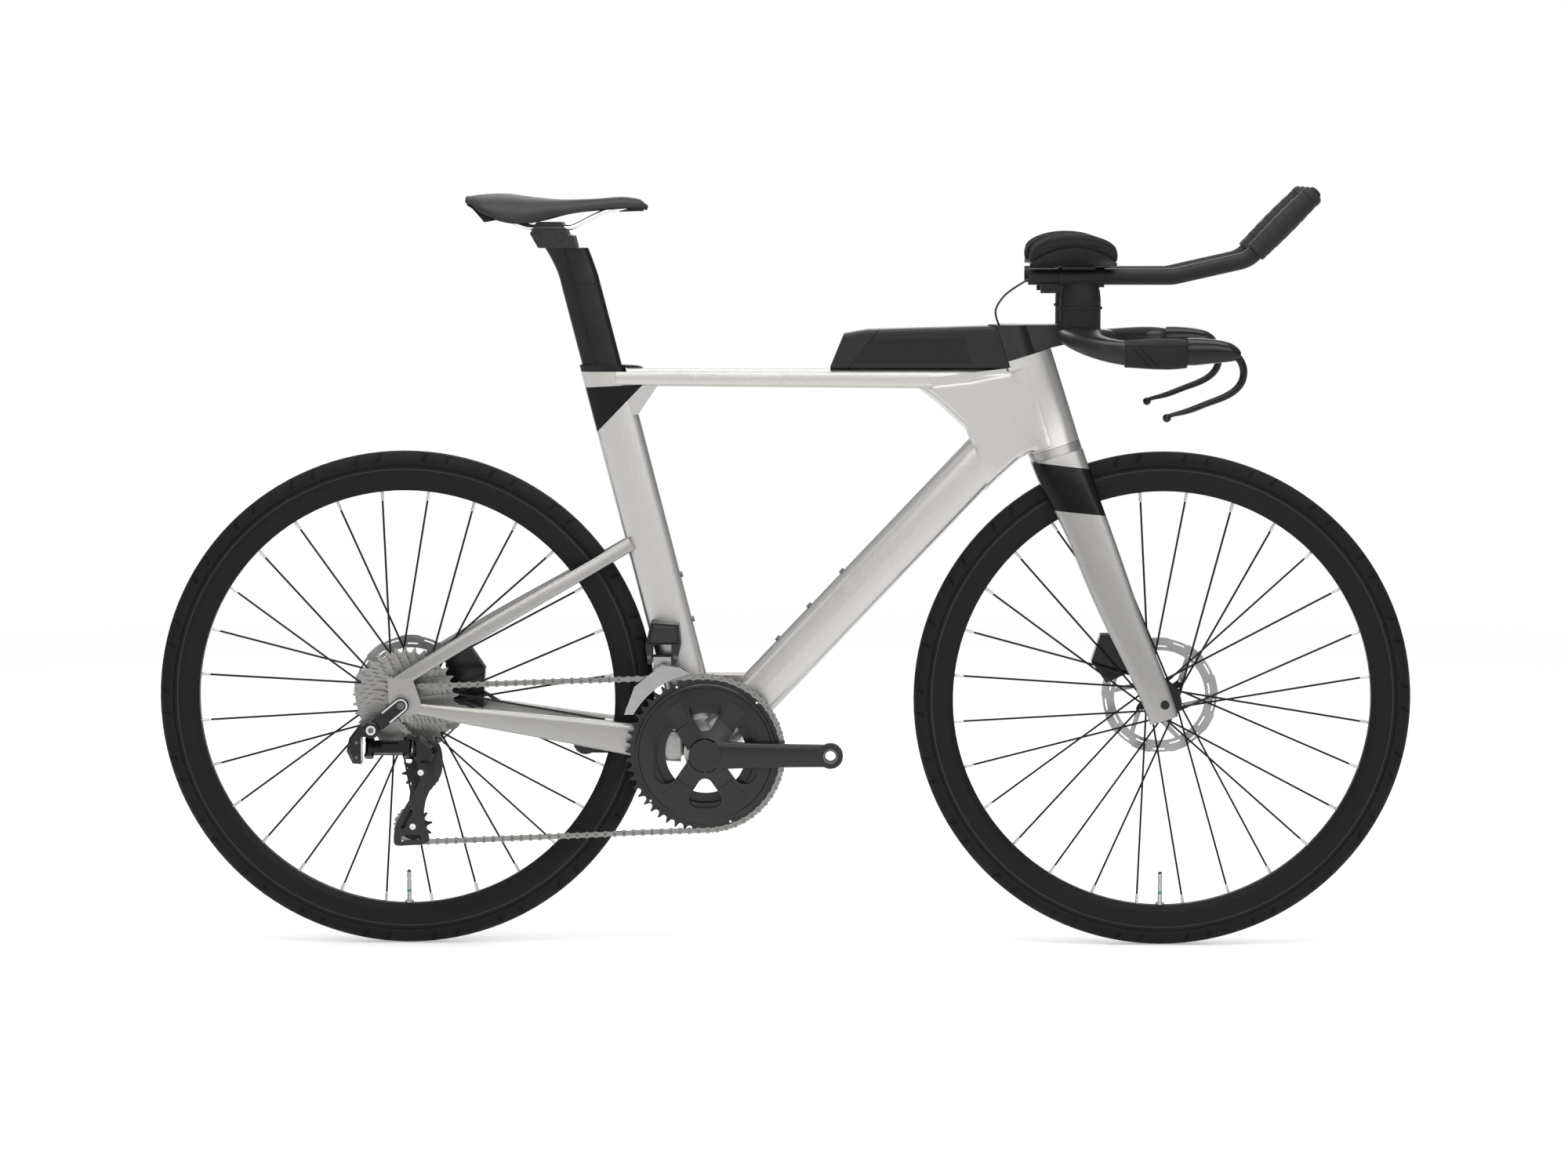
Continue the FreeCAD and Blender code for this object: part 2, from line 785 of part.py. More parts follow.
# Fork blade stations: share of the crown's height along the steering axis, front and rear edges ahead of
# that axis, width and distance from the bike's middle plane.
BLADE = ((0.97, 43, -29, 34, 20), (0.88, 43.6, -26, 30, 26), (0.76, 45, -18, 21, 34), (0.5, 48.5, -7, 17, 44),
         (0.25, 52, 5, 15, 52), (0.06, 57, 15.5, size.blade_tip_width, tip_across),
         (-0.055, 57.5, 18, size.blade_tip_width, tip_across))


def fork():
    """Crown, two blades and the steerer, with room for the tyre and a hole for the axle."""
    sections = []
    for share, front, rear, width, across in BLADE:
        along = crown_top * share
        sections.append(edge_ring(steer(along, front), steer(along, rear), width, -across, 3))
    blade = loft(sections)
    crown_low = 0.86 * crown_top
    crown = loft([edge_ring(steer(crown_top, size.head_nose), steer(crown_top, -size.head_back), size.head_width),
                  edge_ring(steer(crown_low, 43), steer(crown_low, -24), size.head_width + 16)])
    steerer = Part.makeCylinder(size.steerer_radius, head_top + 32 - crown_top + 20, steer(crown_top - 20, 0),
                                steer_up)
    whole = fused([crown, blade, mirrored(blade), steerer])
    channel = disc(front_hub, size.tyre_radius + size.tyre_room, -size.tyre_channel, size.tyre_channel)
    axle_hole = disc(front_hub, size.thru_axle_radius + size.running_gap, -100, 100)
    head_seat = disc(front_hub, size.axle_head_radius + 1, size.front_spacing / 2 + size.blade_tip_width, 100)
    return largest(without(whole, [channel, axle_hole, head_seat]))


fork_shape = fork()
feature("fork", fork_shape)


def bearing(name, radius_words, base):
    """Headset bearing: a ring whose sizes follow the sheet."""
    outer = bound_cylinder(name + "_outer", radius_words, "bearing_height", base, steer_up)
    inner = bound_cylinder(name + "_bore", "steerer_radius + running_gap", "bearing_height", base, steer_up)
    return cut_object(name, outer, inner)


joined("headset_bearings", [bearing("lower_bearing", "lower_bearing_radius", steer(size.head_bottom, 0)),
                            bearing("upper_bearing", "upper_bearing_radius",
                                    steer(head_top - size.bearing_height, 0))])


# Storage box behind the stem

steer_line = (steer_base, steer_up)
box_rear = steer(head_top, -size.box_seam_radius).x - size.box_length
box_floor = size.top_tube_height
seam_tool = Part.makeCylinder(size.box_seam_radius + 0.7, 200, steer(head_top - 60, 0), steer_up)


def box_outline(inset):
    """Side view of the box, drawn in by an inset."""
    top = box_floor + size.box_height - inset
    shoulder = box_floor + size.box_rear_height
    return [Vector(box_rear + 1.6 * inset, 0, box_floor + inset),
            Vector(box_rear + size.box_tail + 1.1 * inset, 0, shoulder - 0.8 * inset),
            Vector(box_rear + size.box_tail + 32, 0, shoulder + 5.5 - inset),
            at_height(steer_line, top), at_height(steer_line, box_floor + inset)]


def window_outline():
    top = box_floor + size.box_rear_height - 8
    low = box_floor + 6
    return [Vector(box_rear + 27, 0, low), Vector(box_rear + size.box_tail + 38, 0, top),
            Vector(box_rear + 0.79 * size.box_length, 0, top + 3), Vector(box_rear + 0.83 * size.box_length, 0, low)]


def storage_box():
    shell = prism(box_outline(0), size.box_width)
    top_edges = []
    for edge in shell.Edges:
        sides = [abs(abs(vertex.Y) - size.box_width / 2) < 0.01 for vertex in edge.Vertexes]
        high = min(vertex.Z for vertex in edge.Vertexes) > box_floor + 20
        along = abs(edge.Vertexes[0].Y - edge.Vertexes[-1].Y) < 0.01
        if all(sides) and high and along:
            top_edges.append(edge)
    shell = shell.makeFillet(6, top_edges)
    inner = prism(box_outline(size.box_wall), size.box_width - 2 * size.box_wall)
    inner_seam = Part.makeCylinder(size.box_seam_radius + 0.7 + size.box_wall, 200, steer(head_top - 60, 0),
                                   steer_up)
    inner = inner.cut(inner_seam)
    windows = prism(window_outline(), size.box_width + 20)
    return largest(without(shell, [seam_tool, inner, windows, frame_shape]))


def box_windows():
    outer = prism(window_outline(), size.box_width)
    return outer.cut(prism(window_outline(), size.box_width - 2 * size.box_wall))


feature("storage_box", storage_box())
feature("storage_box_windows", box_windows())


# Base bar, stem cover and brake levers

bar_x = at_height(steer_line, size.bar_height).x
grip_level = size.bar_height - size.grip_drop
bar_end = bar_x + size.grip_start + size.grip_length
half_chord = size.bar_chord / 2
half_thick = size.bar_thickness / 2
bar_level = size.bar_height - half_thick


def base_bar():
    """Wing that sweeps out, forward and down into two horns."""
    reach = size.bar_half_width
    middle = bar_x + size.bar_ahead
    horn = bar_x + size.grip_start
    # Distance out, place, height, heading from across towards forward, half chord, half thickness.
    side = [(0.0, middle, bar_level, 0, half_chord, half_thick),
            (0.36 * reach, middle, bar_level, 0, half_chord, half_thick),
            (0.60 * reach, middle + 3, bar_level - 3, 18, half_chord - 2, half_thick + 0.5),
            (0.82 * reach, middle + 18, bar_level - 10, 45, half_chord - 6, half_thick + 2),
            (0.95 * reach, horn - 8, grip_level + 2, 72, half_chord - 12, half_thick + 3),
            (reach, horn + 22, grip_level, 90, half_chord - 15, half_thick + 3),
            (reach, bar_end, grip_level, 90, half_chord - 15, half_thick + 3)]
    sections = []
    for sign in (-1, 1):
        for out, place, level, heading, chord, thick in side if sign > 0 else side[:0:-1]:
            turn = math.radians(heading)
            wide = Vector(math.cos(turn), -sign * math.sin(turn), 0) * chord
            sections.append(ring(Vector(place, sign * out, level), wide, UP * thick, 2.8))
    return loft(sections)


bar_shape = base_bar()
feature("base_bar", bar_shape)


def stem_cover():
    """Cover over the steerer: round tail about the steering axis, nose into the base bar."""
    low = head_top + size.seam_gap
    tail = Part.makeCylinder(size.box_seam_radius, 120, steer(low, 0), steer_up)
    above = Part.makeBox(200, 200, 200, Vector(bar_x - 100, -100, size.bar_height))
    front_x = bar_x + size.bar_ahead - 4
    nose = prism([steer(low, -4), steer(low, size.head_nose), Vector(front_x, 0, bar_level - 10),
                  Vector(front_x, 0, bar_level + 10), Vector(bar_x + 62, 0, size.bar_height),
                  Vector(bar_x, 0, size.bar_height)], 1.5 * size.box_seam_radius)
    whole = fused([tail.cut(above), nose])
    bore = Part.makeCylinder(size.steerer_radius + size.running_gap, head_top + 34 - low + 20, steer(low - 20, 0),
                             steer_up)
    return largest(without(whole, [bore, bar_shape]))


stem_shape = stem_cover()
feature("stem_cover", stem_shape)


def horn_point(along, level, across):
    """Point on the left horn, along from the bar's end."""
    return Vector(bar_end + along, across, grip_level + level)


def base_bar_grip():
    half_up = size.grip_height / 2
    half_out = size.grip_width / 2
    sections = []
    for along, share in ((-size.grip_length, 0.93), (-0.8 * size.grip_length, 0.98), (-5, 1.0), (0, 0.96)):
        centre = horn_point(along, 0, size.bar_half_width)
        sections.append(ring(centre, ACROSS * (half_out * share), UP * (half_up * share), 3.2))
    return loft(sections).cut(bar_shape)


grip_shape = base_bar_grip()
feature("base_bar_grips", Part.makeCompound([grip_shape, mirrored(grip_shape)]))

lever_pivot = horn_point(0.74 * size.lever_house_length, 3, size.bar_half_width)
LEVER_PIN = 2.5


def lever_house():
    """Housing on the horn's end, slotted for the lever, with the lever's pin."""
    length = size.lever_house_length
    sections = []
    # Share of the length, height above the horn's line, half height, half width.
    for share, level, half_up, half_out in ((0, 3, 18, 15), (0.35, 3.5, 17, 14.5), (0.7, 3, 14, 13),
                                            (0.93, 0.5, 9, 10), (1.0, -1.5, 5, 6)):
        centre = horn_point(0.6 + length * share, level, size.bar_half_width)
        sections.append(ring(centre, ACROSS * half_out, UP * half_up, 2.6))
    house = loft(sections)
    slot_width = size.lever_width + 1.2
    slot = Part.makeBox(0.62 * length, slot_width, 45,
                        horn_point(0.55 * length, -32, size.bar_half_width - slot_width / 2))
    pin = disc(lever_pivot, LEVER_PIN, size.bar_half_width - 10, size.bar_half_width + 10)
    return fused([house.cut(slot), pin])


house_shape = lever_house()
feature("lever_housings", Part.makeCompound([house_shape, mirrored(house_shape)]))


def brake_lever():
    """Hooked lever: round the housing's nose and back under the grip to a ball end."""
    reach = size.lever_house_length
    # Along from the bar's end, level, heading of the lever in the side view, half depth.
    route = [(0.74, 3, -25, 5.5), (0.92, -2, -42, 5.2), (1.06, -19, -88, 5), (1.02, -38, -130, 5),
             (0.86, -50, -156, 4.8), (0.4, -64.5, -161, 4.2), (-0.1, -77, -162, 3.5), (-0.34, -82.5, -162, 3.5)]
    sections = []
    for share, level, heading, half in route:
        centre = horn_point(reach * share, level, size.bar_half_width)
        sections.append(ring(centre, direction(heading + 90) * half, ACROSS * (size.lever_width / 2), 2.4))
    blade = loft(sections)
    half = size.lever_width / 2
    boss = disc(lever_pivot, 6.5, size.bar_half_width - half, size.bar_half_width + half)
    ball = Part.makeSphere(5.6, horn_point(-0.36 * reach, -84, size.bar_half_width))
    hole = disc(lever_pivot, LEVER_PIN + size.running_gap, 0, 400)
    return largest(without(fused([blade, boss, ball]), [hole]))


lever_shape = brake_lever()
feature("brake_lever_left", lever_shape)
feature("brake_lever_right", mirrored(lever_shape))


# Aero extensions and arm rests

tower_across = size.tower_spacing / 2
tower_x = bar_x + size.bar_ahead
lower_top = size.bar_height + size.lower_spacer
upper_top = lower_top + size.upper_spacer
extension_level = size.bar_height + size.extension_height


def tower_ring(level, grow):
    half_length = size.tower_length / 2 + grow
    half_width = size.tower_width / 2 + grow
    return ring(Vector(tower_x, -tower_across, level), FORWARD * half_length, ACROSS * half_width, 2.4)


def spacers():
    """Right tower: a tall spacer and a short one with a lip round their seam."""
    tall = loft([tower_ring(size.bar_height - 9, 0), tower_ring(lower_top, 0)], ruled=True).cut(bar_shape)
    short = loft([tower_ring(lower_top, 0), tower_ring(upper_top, 0)], ruled=True)
    lip = loft([tower_ring(lower_top + 1, 2), tower_ring(lower_top + 4.5, 2)], ruled=True)
    pair = [largest(tall), fused([short, lip])]
    return pair + [mirrored(piece) for piece in pair]


feature("armrest_spacers", Part.makeCompound(spacers()))


def extension_points():
    marks = [(21.3, 0), (214.3, 0), (314.7, 22.6), (388, 97)]
    return [Vector(bar_x + along, -tower_across, extension_level + rise) for along, rise in marks]


def extension():
    """Right extension: a bent tube with an open rear end."""
    path = rounded_path(extension_points(), 40)
    outer = tube_along(path, size.extension_radius)
    inner = tube_along(path, size.extension_radius - size.extension_wall)
    return outer.cut(inner)


extension_shape = extension()
feature("aero_extensions", Part.makeCompound([extension_shape, mirrored(extension_shape)]))


def bracket():
    """Right bracket: tower top, clamp round the extension, cup arm and pinch block."""
    foot = loft([tower_ring(upper_top, 0), tower_ring(upper_top + 9, -1), tower_ring(extension_level - 6, -5)])
    clamp_radius = size.extension_radius + size.clamp_wall
    start = Vector(tower_x - size.tower_length / 2 - 2, -tower_across, extension_level)
    clamp = Part.makeCylinder(clamp_radius, size.tower_length + 6, start, FORWARD)
    block = Part.makeBox(30, 16, 13, Vector(tower_x - 53, -tower_across - 8, extension_level - 22))
    arm_low = extension_level + size.extension_radius - 1
    arm_high = extension_level + clamp_radius
    arm = Part.makeBox(44, size.cup_offset + 16, arm_high - arm_low,
                       Vector(tower_x - 26, -tower_across - size.cup_offset - 8, arm_low))
    bore = Part.makeCylinder(size.extension_radius + size.running_gap, 200, start - FORWARD * 60, FORWARD)
    return largest(without(fused([foot, clamp, block, arm]), [bore]))


bracket_shape = bracket()
feature("armrest_brackets", Part.makeCompound([bracket_shape, mirrored(bracket_shape)]))

cup_x = bar_x + 80
cup_across = tower_across + size.cup_offset
cup_base = extension_level + size.extension_radius + size.clamp_wall
trough_radius = size.cup_half_width + 4


def trough(outer_drop, thickness, end_rise, crown_rise):
    """Right trough along the forearm, with a domed outline in the side view."""
    outer = trough_radius - outer_drop
    half = size.cup_length / 2
    axis = Vector(cup_x - half, -cup_across, cup_base + trough_radius)
    shell = Part.makeCylinder(outer, size.cup_length, axis, FORWARD)
    shell = shell.cut(Part.makeCylinder(outer - thickness, size.cup_length, axis, FORWARD))
    left = Vector(cup_x - half, -cup_across - 80, cup_base + end_rise)
    right = left + FORWARD * size.cup_length
    crown = Vector(cup_x, left.y, cup_base + crown_rise)
    drop = UP * (end_rise + 5)
    edges = [Part.Arc(left, crown, right).toShape(), Part.LineSegment(right, right - drop).toShape(),
             Part.LineSegment(right - drop, left - drop).toShape(), Part.LineSegment(left - drop, left).toShape()]
    dome = Part.Face(Part.Wire(edges)).extrude(ACROSS * 160)
    return largest(shell.common(dome))


cup_shape = trough(0, size.cup_thickness, 4, 25)
feature("arm_cups", Part.makeCompound([cup_shape, mirrored(cup_shape)]))
pad_shape = trough(size.cup_thickness + size.slide_gap, size.pad_thickness, 11, 40)
feature("arm_pads", Part.makeCompound([pad_shape, mirrored(pad_shape)]))

extension_bend, extension_tip = extension_points()[-2:]
tape_way = (extension_tip - extension_bend).normalize()
tape_start = extension_bend + tape_way * 13
TAPE_TURNS = 8
BUTTON_TRAVEL = 2
BUTTON_STICKS_OUT = 5


def turned_about(start, way, outline):
    """Solid turned about a line: outline of (along, radius) pairs."""
    side = way.cross(ACROSS).normalize()
    corners = [start + way * along + side * radius for along, radius in outline]
    face = Part.Face(Part.makePolygon(corners + corners[:1]))
    return face.revolve(start, way, 360)


def tape_grip():
    """Right grip: collar, overlapping tape turns and an end cap with a pocket for the button."""
    length = size.tape_length
    bore = size.extension_radius + size.running_gap
    step = (length - 18) / TAPE_TURNS
    outline = [(0, bore), (0, size.tape_radius - 1.6), (6, size.tape_radius - 1.2)]
    for turn in range(TAPE_TURNS):
        outline.append((6.5 + turn * step, size.tape_radius - 0.2))
        outline.append((6.5 + (turn + 0.8) * step, size.tape_radius))
        outline.append((6.5 + (turn + 1) * step, size.tape_radius - 1.3))
    tube_end = (extension_tip - tape_start).Length
    pocket = size.button_radius + size.slide_gap
    outline += [(length - 9, size.tape_radius), (length - 3, size.tape_radius - 1), (length, pocket + 2),
                (length, pocket), (length - 8, pocket), (length - 8, 0), (tube_end, 0), (tube_end, bore)]
    return turned_about(tape_start, tape_way, outline)


tape_shape = tape_grip()
feature("extension_grips", Part.makeCompound([tape_shape, mirrored(tape_shape)]))


def shift_button():
    """Right shift button: a domed plunger in the grip's end."""
    base = size.tape_length - 8 + BUTTON_TRAVEL + size.slide_gap
    top = size.tape_length + BUTTON_STICKS_OUT
    radius = size.button_radius
    outline = [(base, 0), (base, radius), (top - 3, radius), (top - 0.8, 0.75 * radius), (top, 0.35 * radius),
               (top, 0)]
    return turned_about(tape_start, tape_way, outline)


button_shape = shift_button()
feature("shift_button_right", button_shape)
feature("shift_button_left", mirrored(button_shape))


# Shifter wire

def wire_points():
    """Hand-laid route from the right extension's open end into the stem cover's top."""
    top = size.bar_height
    return [Vector(bar_x + 24.3, -tower_across, extension_level - 2.5), Vector(bar_x - 3.7, 4 - tower_across, top + 49),
            Vector(bar_x - 20.7, 20 - tower_across, top + 27), Vector(bar_x - 21.7, 36 - tower_across, top + 12),
            Vector(bar_x - 15.7, 46 - tower_across, top - 0.5)]


wire_path = rounded_path(wire_points())
wire_shape = largest(tube_along(wire_path, size.wire_radius).cut(stem_shape))
feature("shifter_wire", wire_shape)
bends = [round(edge.Curve.Radius, 1) for edge in wire_path.Edges if hasattr(edge.Curve, "Radius")]
whole_wire = math.pi * size.wire_radius ** 2 * wire_path.Length
print(f"shifter_wire: bend radii {bends} mm, volume {wire_shape.Volume / whole_wire:.3f} of section x length")


# Brake calipers and axles

front_rotor_line = size.front_spacing / 2 - 10.5
rear_rotor_line = size.dropout_spacing / 2 - 15
PAD_GAP = 0.5
BRAKE_PAD = 3.4
CALIPER_HALF = 11.2


def caliper(outline, pad_outline, hub, line, neighbours):
    """Two-piston caliper body round a rotor, with a brake pad on each side of the disc."""
    half_slot = size.rotor_thickness / 2 + PAD_GAP + BRAKE_PAD
    body = prism(outline, 2 * CALIPER_HALF, line)
    slot = disc(hub, size.rotor_radius + 2, line - half_slot, line + half_slot)
    body = largest(without(body, [slot] + neighbours))
    caps = []
    middle = sum(pad_outline, Vector()) / len(pad_outline)
    for side in (-1, 1):
        ends = sorted((line + side * (CALIPER_HALF - 1), line + side * (CALIPER_HALF + 1.5)))
        caps.append(disc(middle, 9, *ends))
    body = largest(without(fused([body] + caps), neighbours))
    band = disc(hub, size.rotor_radius, -100, 100).cut(disc(hub, size.rotor_radius - size.rotor_band + 1, -100, 100))
    pads = []
    for side in (-1, 1):
        pad = prism(pad_outline, BRAKE_PAD, line + side * (half_slot - BRAKE_PAD / 2))
        pads.append(largest(pad.common(band)))
    return [body] + pads


front_outline = [steer(40, -20), steer(44, 14), steer(100, 12), steer(106, -8), steer(74, -31)]
front_pad = [steer(46, -12), steer(50, 4), steer(84, 2), steer(90, -14)]
feature("front_brake_caliper",
        Part.makeCompound(caliper(front_outline, front_pad, front_hub, front_rotor_line, [fork_shape])))

rear_outline = [rear_hub + Vector(48, 0, -14), rear_hub + Vector(46, 0, 28), rear_hub + Vector(58, 0, 56),
                rear_hub + Vector(84, 0, 62), rear_hub + Vector(103, 0, 34), rear_hub + Vector(100, 0, -20)]
rear_pad = [rear_hub + Vector(49, 0, 22), rear_hub + Vector(44, 0, 40), rear_hub + Vector(60, 0, 58),
            rear_hub + Vector(76, 0, 38)]
hose_start = rear_hub + Vector(98, rear_rotor_line, 2)
hose_end = rear_hub + Vector(150, rear_rotor_line - 3, -30)
hose_shape = largest(rod(hose_start, hose_end, 2.5).cut(stays_shape))
rear_caliper = caliper(rear_outline, rear_pad, rear_hub, rear_rotor_line, [stays_shape])
rear_caliper[0] = fused([rear_caliper[0], hose_shape])
feature("rear_brake_caliper", Part.makeCompound(rear_caliper))

turned_body("front_axle", [[("-front_spacing / 2 - blade_tip_width - 2", "0"),
                            ("-front_spacing / 2 - blade_tip_width - 2", "thru_axle_radius"),
                            ("front_spacing / 2 + blade_tip_width", "thru_axle_radius"),
                            ("front_spacing / 2 + blade_tip_width", "axle_head_radius"),
                            ("front_spacing / 2 + blade_tip_width + 3", "axle_head_radius"),
                            ("front_spacing / 2 + blade_tip_width + 3", "0")]], front_hub)
turned_body("rear_axle", [[("-dropout_spacing / 2 - dropout_thickness - hanger_thickness", "0"),
                           ("-dropout_spacing / 2 - dropout_thickness - hanger_thickness", "thru_axle_radius"),
                           ("dropout_spacing / 2 + dropout_thickness", "thru_axle_radius"),
                           ("dropout_spacing / 2 + dropout_thickness", "axle_head_radius"),
                           ("dropout_spacing / 2 + dropout_thickness + 3", "axle_head_radius"),
                           ("dropout_spacing / 2 + dropout_thickness + 3", "0")]], rear_hub)


# Wheels

VALVE_ANGLE = -90
SPOKE_TILT = 6.43
SPOKE_SIDE = 1.6


def tyre(side, hub):
    """Open casing: a torus, hollow inside and cut off at the rim's edge."""
    centre = Placement(hub, TO_ACROSS)
    tori = []
    for name, thickness in (("crown", "tyre_width / 2"), ("hollow", "tyre_width / 2 - casing")):
        torus = doc.addObject("Part::Torus", f"{side}_tyre_{name}")
        torus.setExpression("Radius1", cells("tyre_radius - tyre_width / 2"))
        torus.setExpression("Radius2", cells(thickness))
        torus.Placement = centre
        tori.append(torus)
    opening = bound_cylinder(f"{side}_tyre_opening", "rim_edge_radius", "2 * tyre_width",
                             hub - ACROSS * size.tyre_width, ACROSS)
    casing = cut_object(f"{side}_tyre_casing", *tori)
    return cut_object(f"{side}_tyre", casing, opening)


def rim(side, hub):
    """Hollow rim: hooked bed, bowed side walls and a closed cavity."""
    half = "rim_width / 2"
    inner_edge = "rim_edge_radius - rim_depth"
    right = [(f"{half} - 3.7", "rim_edge_radius - rim_bed"), (f"{half} - 3.7", "rim_edge_radius"),
             (f"{half} - 0.9", "rim_edge_radius"), (half, "rim_edge_radius - 0.34 * rim_depth"),
             (f"{half} - 1.9", "rim_edge_radius - 0.75 * rim_depth"), (f"{half} - 6.4", inner_edge)]
    wall = f"{half} - rim_wall"
    hollow = [(f"{half} - 4.4", "rim_edge_radius - rim_bed - rim_wall"),
              (wall, "rim_edge_radius - 0.36 * rim_depth"),
              (f"{wall} - 1.9", "rim_edge_radius - 0.72 * rim_depth"),
              (f"{wall} - 5.6", f"{inner_edge} + rim_wall")]
    outlines = []
    for side_points in (right, hollow):
        left = [(f"-({along})", radius) for along, radius in reversed(side_points)]
        outlines.append(side_points + left)
    return turned_body(f"{side}_rim", outlines, hub)


def hub_outline(half, left_flange, right_flange, rotor_line, right_end):
    """Half section of a hub, left side at positive depth."""
    flange_half = "flange_thickness / 2"
    shoulder = f"{rotor_line} - rotor_thickness / 2"
    bore = "thru_axle_radius + running_gap"
    outline = list(right_end)
    outline += [(f"{right_flange} - {flange_half}", "flange_radius"), (f"{right_flange} + {flange_half}", "flange_radius"),
                (f"{right_flange} + {flange_half}", "hub_tube_radius"),
                (f"{left_flange} - {flange_half}", "hub_tube_radius"), (f"{left_flange} - {flange_half}", "flange_radius"),
                (f"{left_flange} + {flange_half}", "flange_radius"), (f"{left_flange} + {flange_half}", "rotor_seat_radius + 2"),
                (shoulder, "rotor_seat_radius + 2"), (shoulder, "rotor_seat_radius"),
                (f"{shoulder} + 4", "rotor_seat_radius"), (f"{shoulder} + 4", "9.5"), (half, "9.5"), (half, bore),
                (f"-({half})", bore)]
    return outline


FRONT_HALF = "(front_spacing / 2 - 0.3)"
REAR_HALF = "(dropout_spacing / 2 - 0.3)"
FRONT_FLANGES = (23, -36)
REAR_FLANGES = (32, -15)
front_right_end = [(f"-{FRONT_HALF}", "9.5"), (f"{FRONT_FLANGES[1]} - flange_thickness / 2", "9.5")]
rear_right_end = [(f"-{REAR_HALF}", "9.5"), ("-freehub_end", "9.5"), ("-freehub_end", "freehub_bore"),
                  (f"{REAR_FLANGES[1]} - flange_thickness / 2", "freehub_bore")]
front_hub_body = turned_body("front_hub", [hub_outline(FRONT_HALF, *FRONT_FLANGES, f"{front_rotor_line}",
                                                       front_right_end)], front_hub)
rear_hub_body = turned_body("rear_hub", [hub_outline(REAR_HALF, *REAR_FLANGES, f"{rear_rotor_line}",
                                                     rear_right_end)], rear_hub)


def spoke(hub, flange, start_turn, reach_turn, side, rim_shape, hub_shape):
    """One straight spoke with its nipple, ended on the hub's flange and on the rim."""
    rim_inner = size.rim_edge_radius - size.rim_depth
    start = hub + direction(start_turn) * size.spoke_hole_radius + ACROSS * (flange + side * SPOKE_SIDE)
    lean = math.copysign(0.8, flange)
    end = hub + direction(start_turn + reach_turn) * (rim_inner + 1) + ACROSS * lean
    way = (start - end).normalize()
    wire = rod(start, end, size.spoke_radius)
    nipple = rod(end, end + way * (size.nipple_length + 1), size.nipple_radius)
    return largest(without(fused([wire, nipple]), [rim_shape, hub_shape]))


def spokes(side, hub, flanges, rim_body, hub_body):
    """Crossed spokes: four prototypes, copied round the wheel."""
    spacing = 360 / size.spokes_per_flange
    solids = []
    for index, flange in enumerate(flanges):
        for lead, cross in ((0, 2), (1, -2)):
            start = SPOKE_TILT + (lead + 0.5 * index) * spacing
            one = spoke(hub, flange, start, cross * spacing, 1 - 2 * lead, rim_body.Shape, hub_body.Shape)
            for turn in range(int(size.spokes_per_flange) // 2):
                copy = one.copy()
                copy.rotate(hub, ACROSS, 2 * spacing * turn)
                solids.append(copy)
    feature(f"{side}_spokes", Part.makeCompound(solids))


def rotor(side, hub, line):
    """Disc: braking band with two rows of vents, six arms and the seat on the hub."""
    body = doc.addObject("PartDesign::Body", f"{side}_rotor")
    plate = body_sketch(body, f"{side}_rotor_plate", "XZ_Plane")
    sketch_circle(plate, "0", "0", "rotor_radius")
    sketch_circle(plate, "0", "0", "rotor_seat_radius")
    padded_feature(body, plate, f"{side}_rotor_disc", "rotor_thickness")
    window = body_sketch(body, f"{side}_rotor_window", "XZ_Plane")
    inner = "(rotor_radius - rotor_band)"
    marks = [("(rotor_seat_radius + 9)", -17), (inner, -22), (inner, -7), (inner, 7), (inner, 22),
             ("(rotor_seat_radius + 9)", 17)]
    sketch_polygon(window, [(f"{radius} * {math.cos(math.radians(turn)):.4f}",
                             f"{radius} * {math.sin(math.radians(turn)):.4f}") for radius, turn in marks])
    cut_pattern(body, window, f"{side}_rotor_arms", 6)
    for row, (inset, turn) in enumerate(((4.5, 0), (11.5, 7))):
        vent = body_sketch(body, f"{side}_rotor_vent_{row}", "XZ_Plane")
        sketch_circle(vent, f"(rotor_radius - {inset}) * {math.cos(math.radians(turn)):.4f}",
                      f"(rotor_radius - {inset}) * {math.sin(math.radians(turn)):.4f}", "0.13 * rotor_band")
        cut_pattern(body, vent, f"{side}_rotor_vents_{row}", 18)
    body.Placement = Placement(hub + ACROSS * line, Rotation())


def cut_pattern(body, sketch, name, count):
    """Hole through the body, repeated round its axis."""
    pocket = body.newObject("PartDesign::Pocket", name)
    pocket.Profile = sketch
    pocket.Midplane = True
    pocket.setExpression("Length", cells("4 * rotor_thickness"))
    round_pattern(body, pocket, sketch, count)


def valve(side, hub, rim_body):
    """Valve stem with its nut and cap, through the rim at the bottom of the wheel."""
    way = direction(VALVE_ANGLE + 180)
    start = hub - way * (size.rim_edge_radius - size.rim_depth)
    long = size.valve_length
    thick = size.valve_radius
    outline = [(-1, 0), (-1, thick), (1, thick), (1, 2 * thick), (3.5, 2 * thick), (3.5, thick), (0.72 * long, thick),
               (0.72 * long, 0.6 * thick), (0.76 * long, 0.6 * thick), (0.76 * long, 1.1 * thick),
               (0.96 * long, 0.95 * thick), (long, 0.5 * thick), (long, 0)]
    feature(f"{side}_valve", largest(turned_about(start, way, outline).cut(rim_body.Shape)))


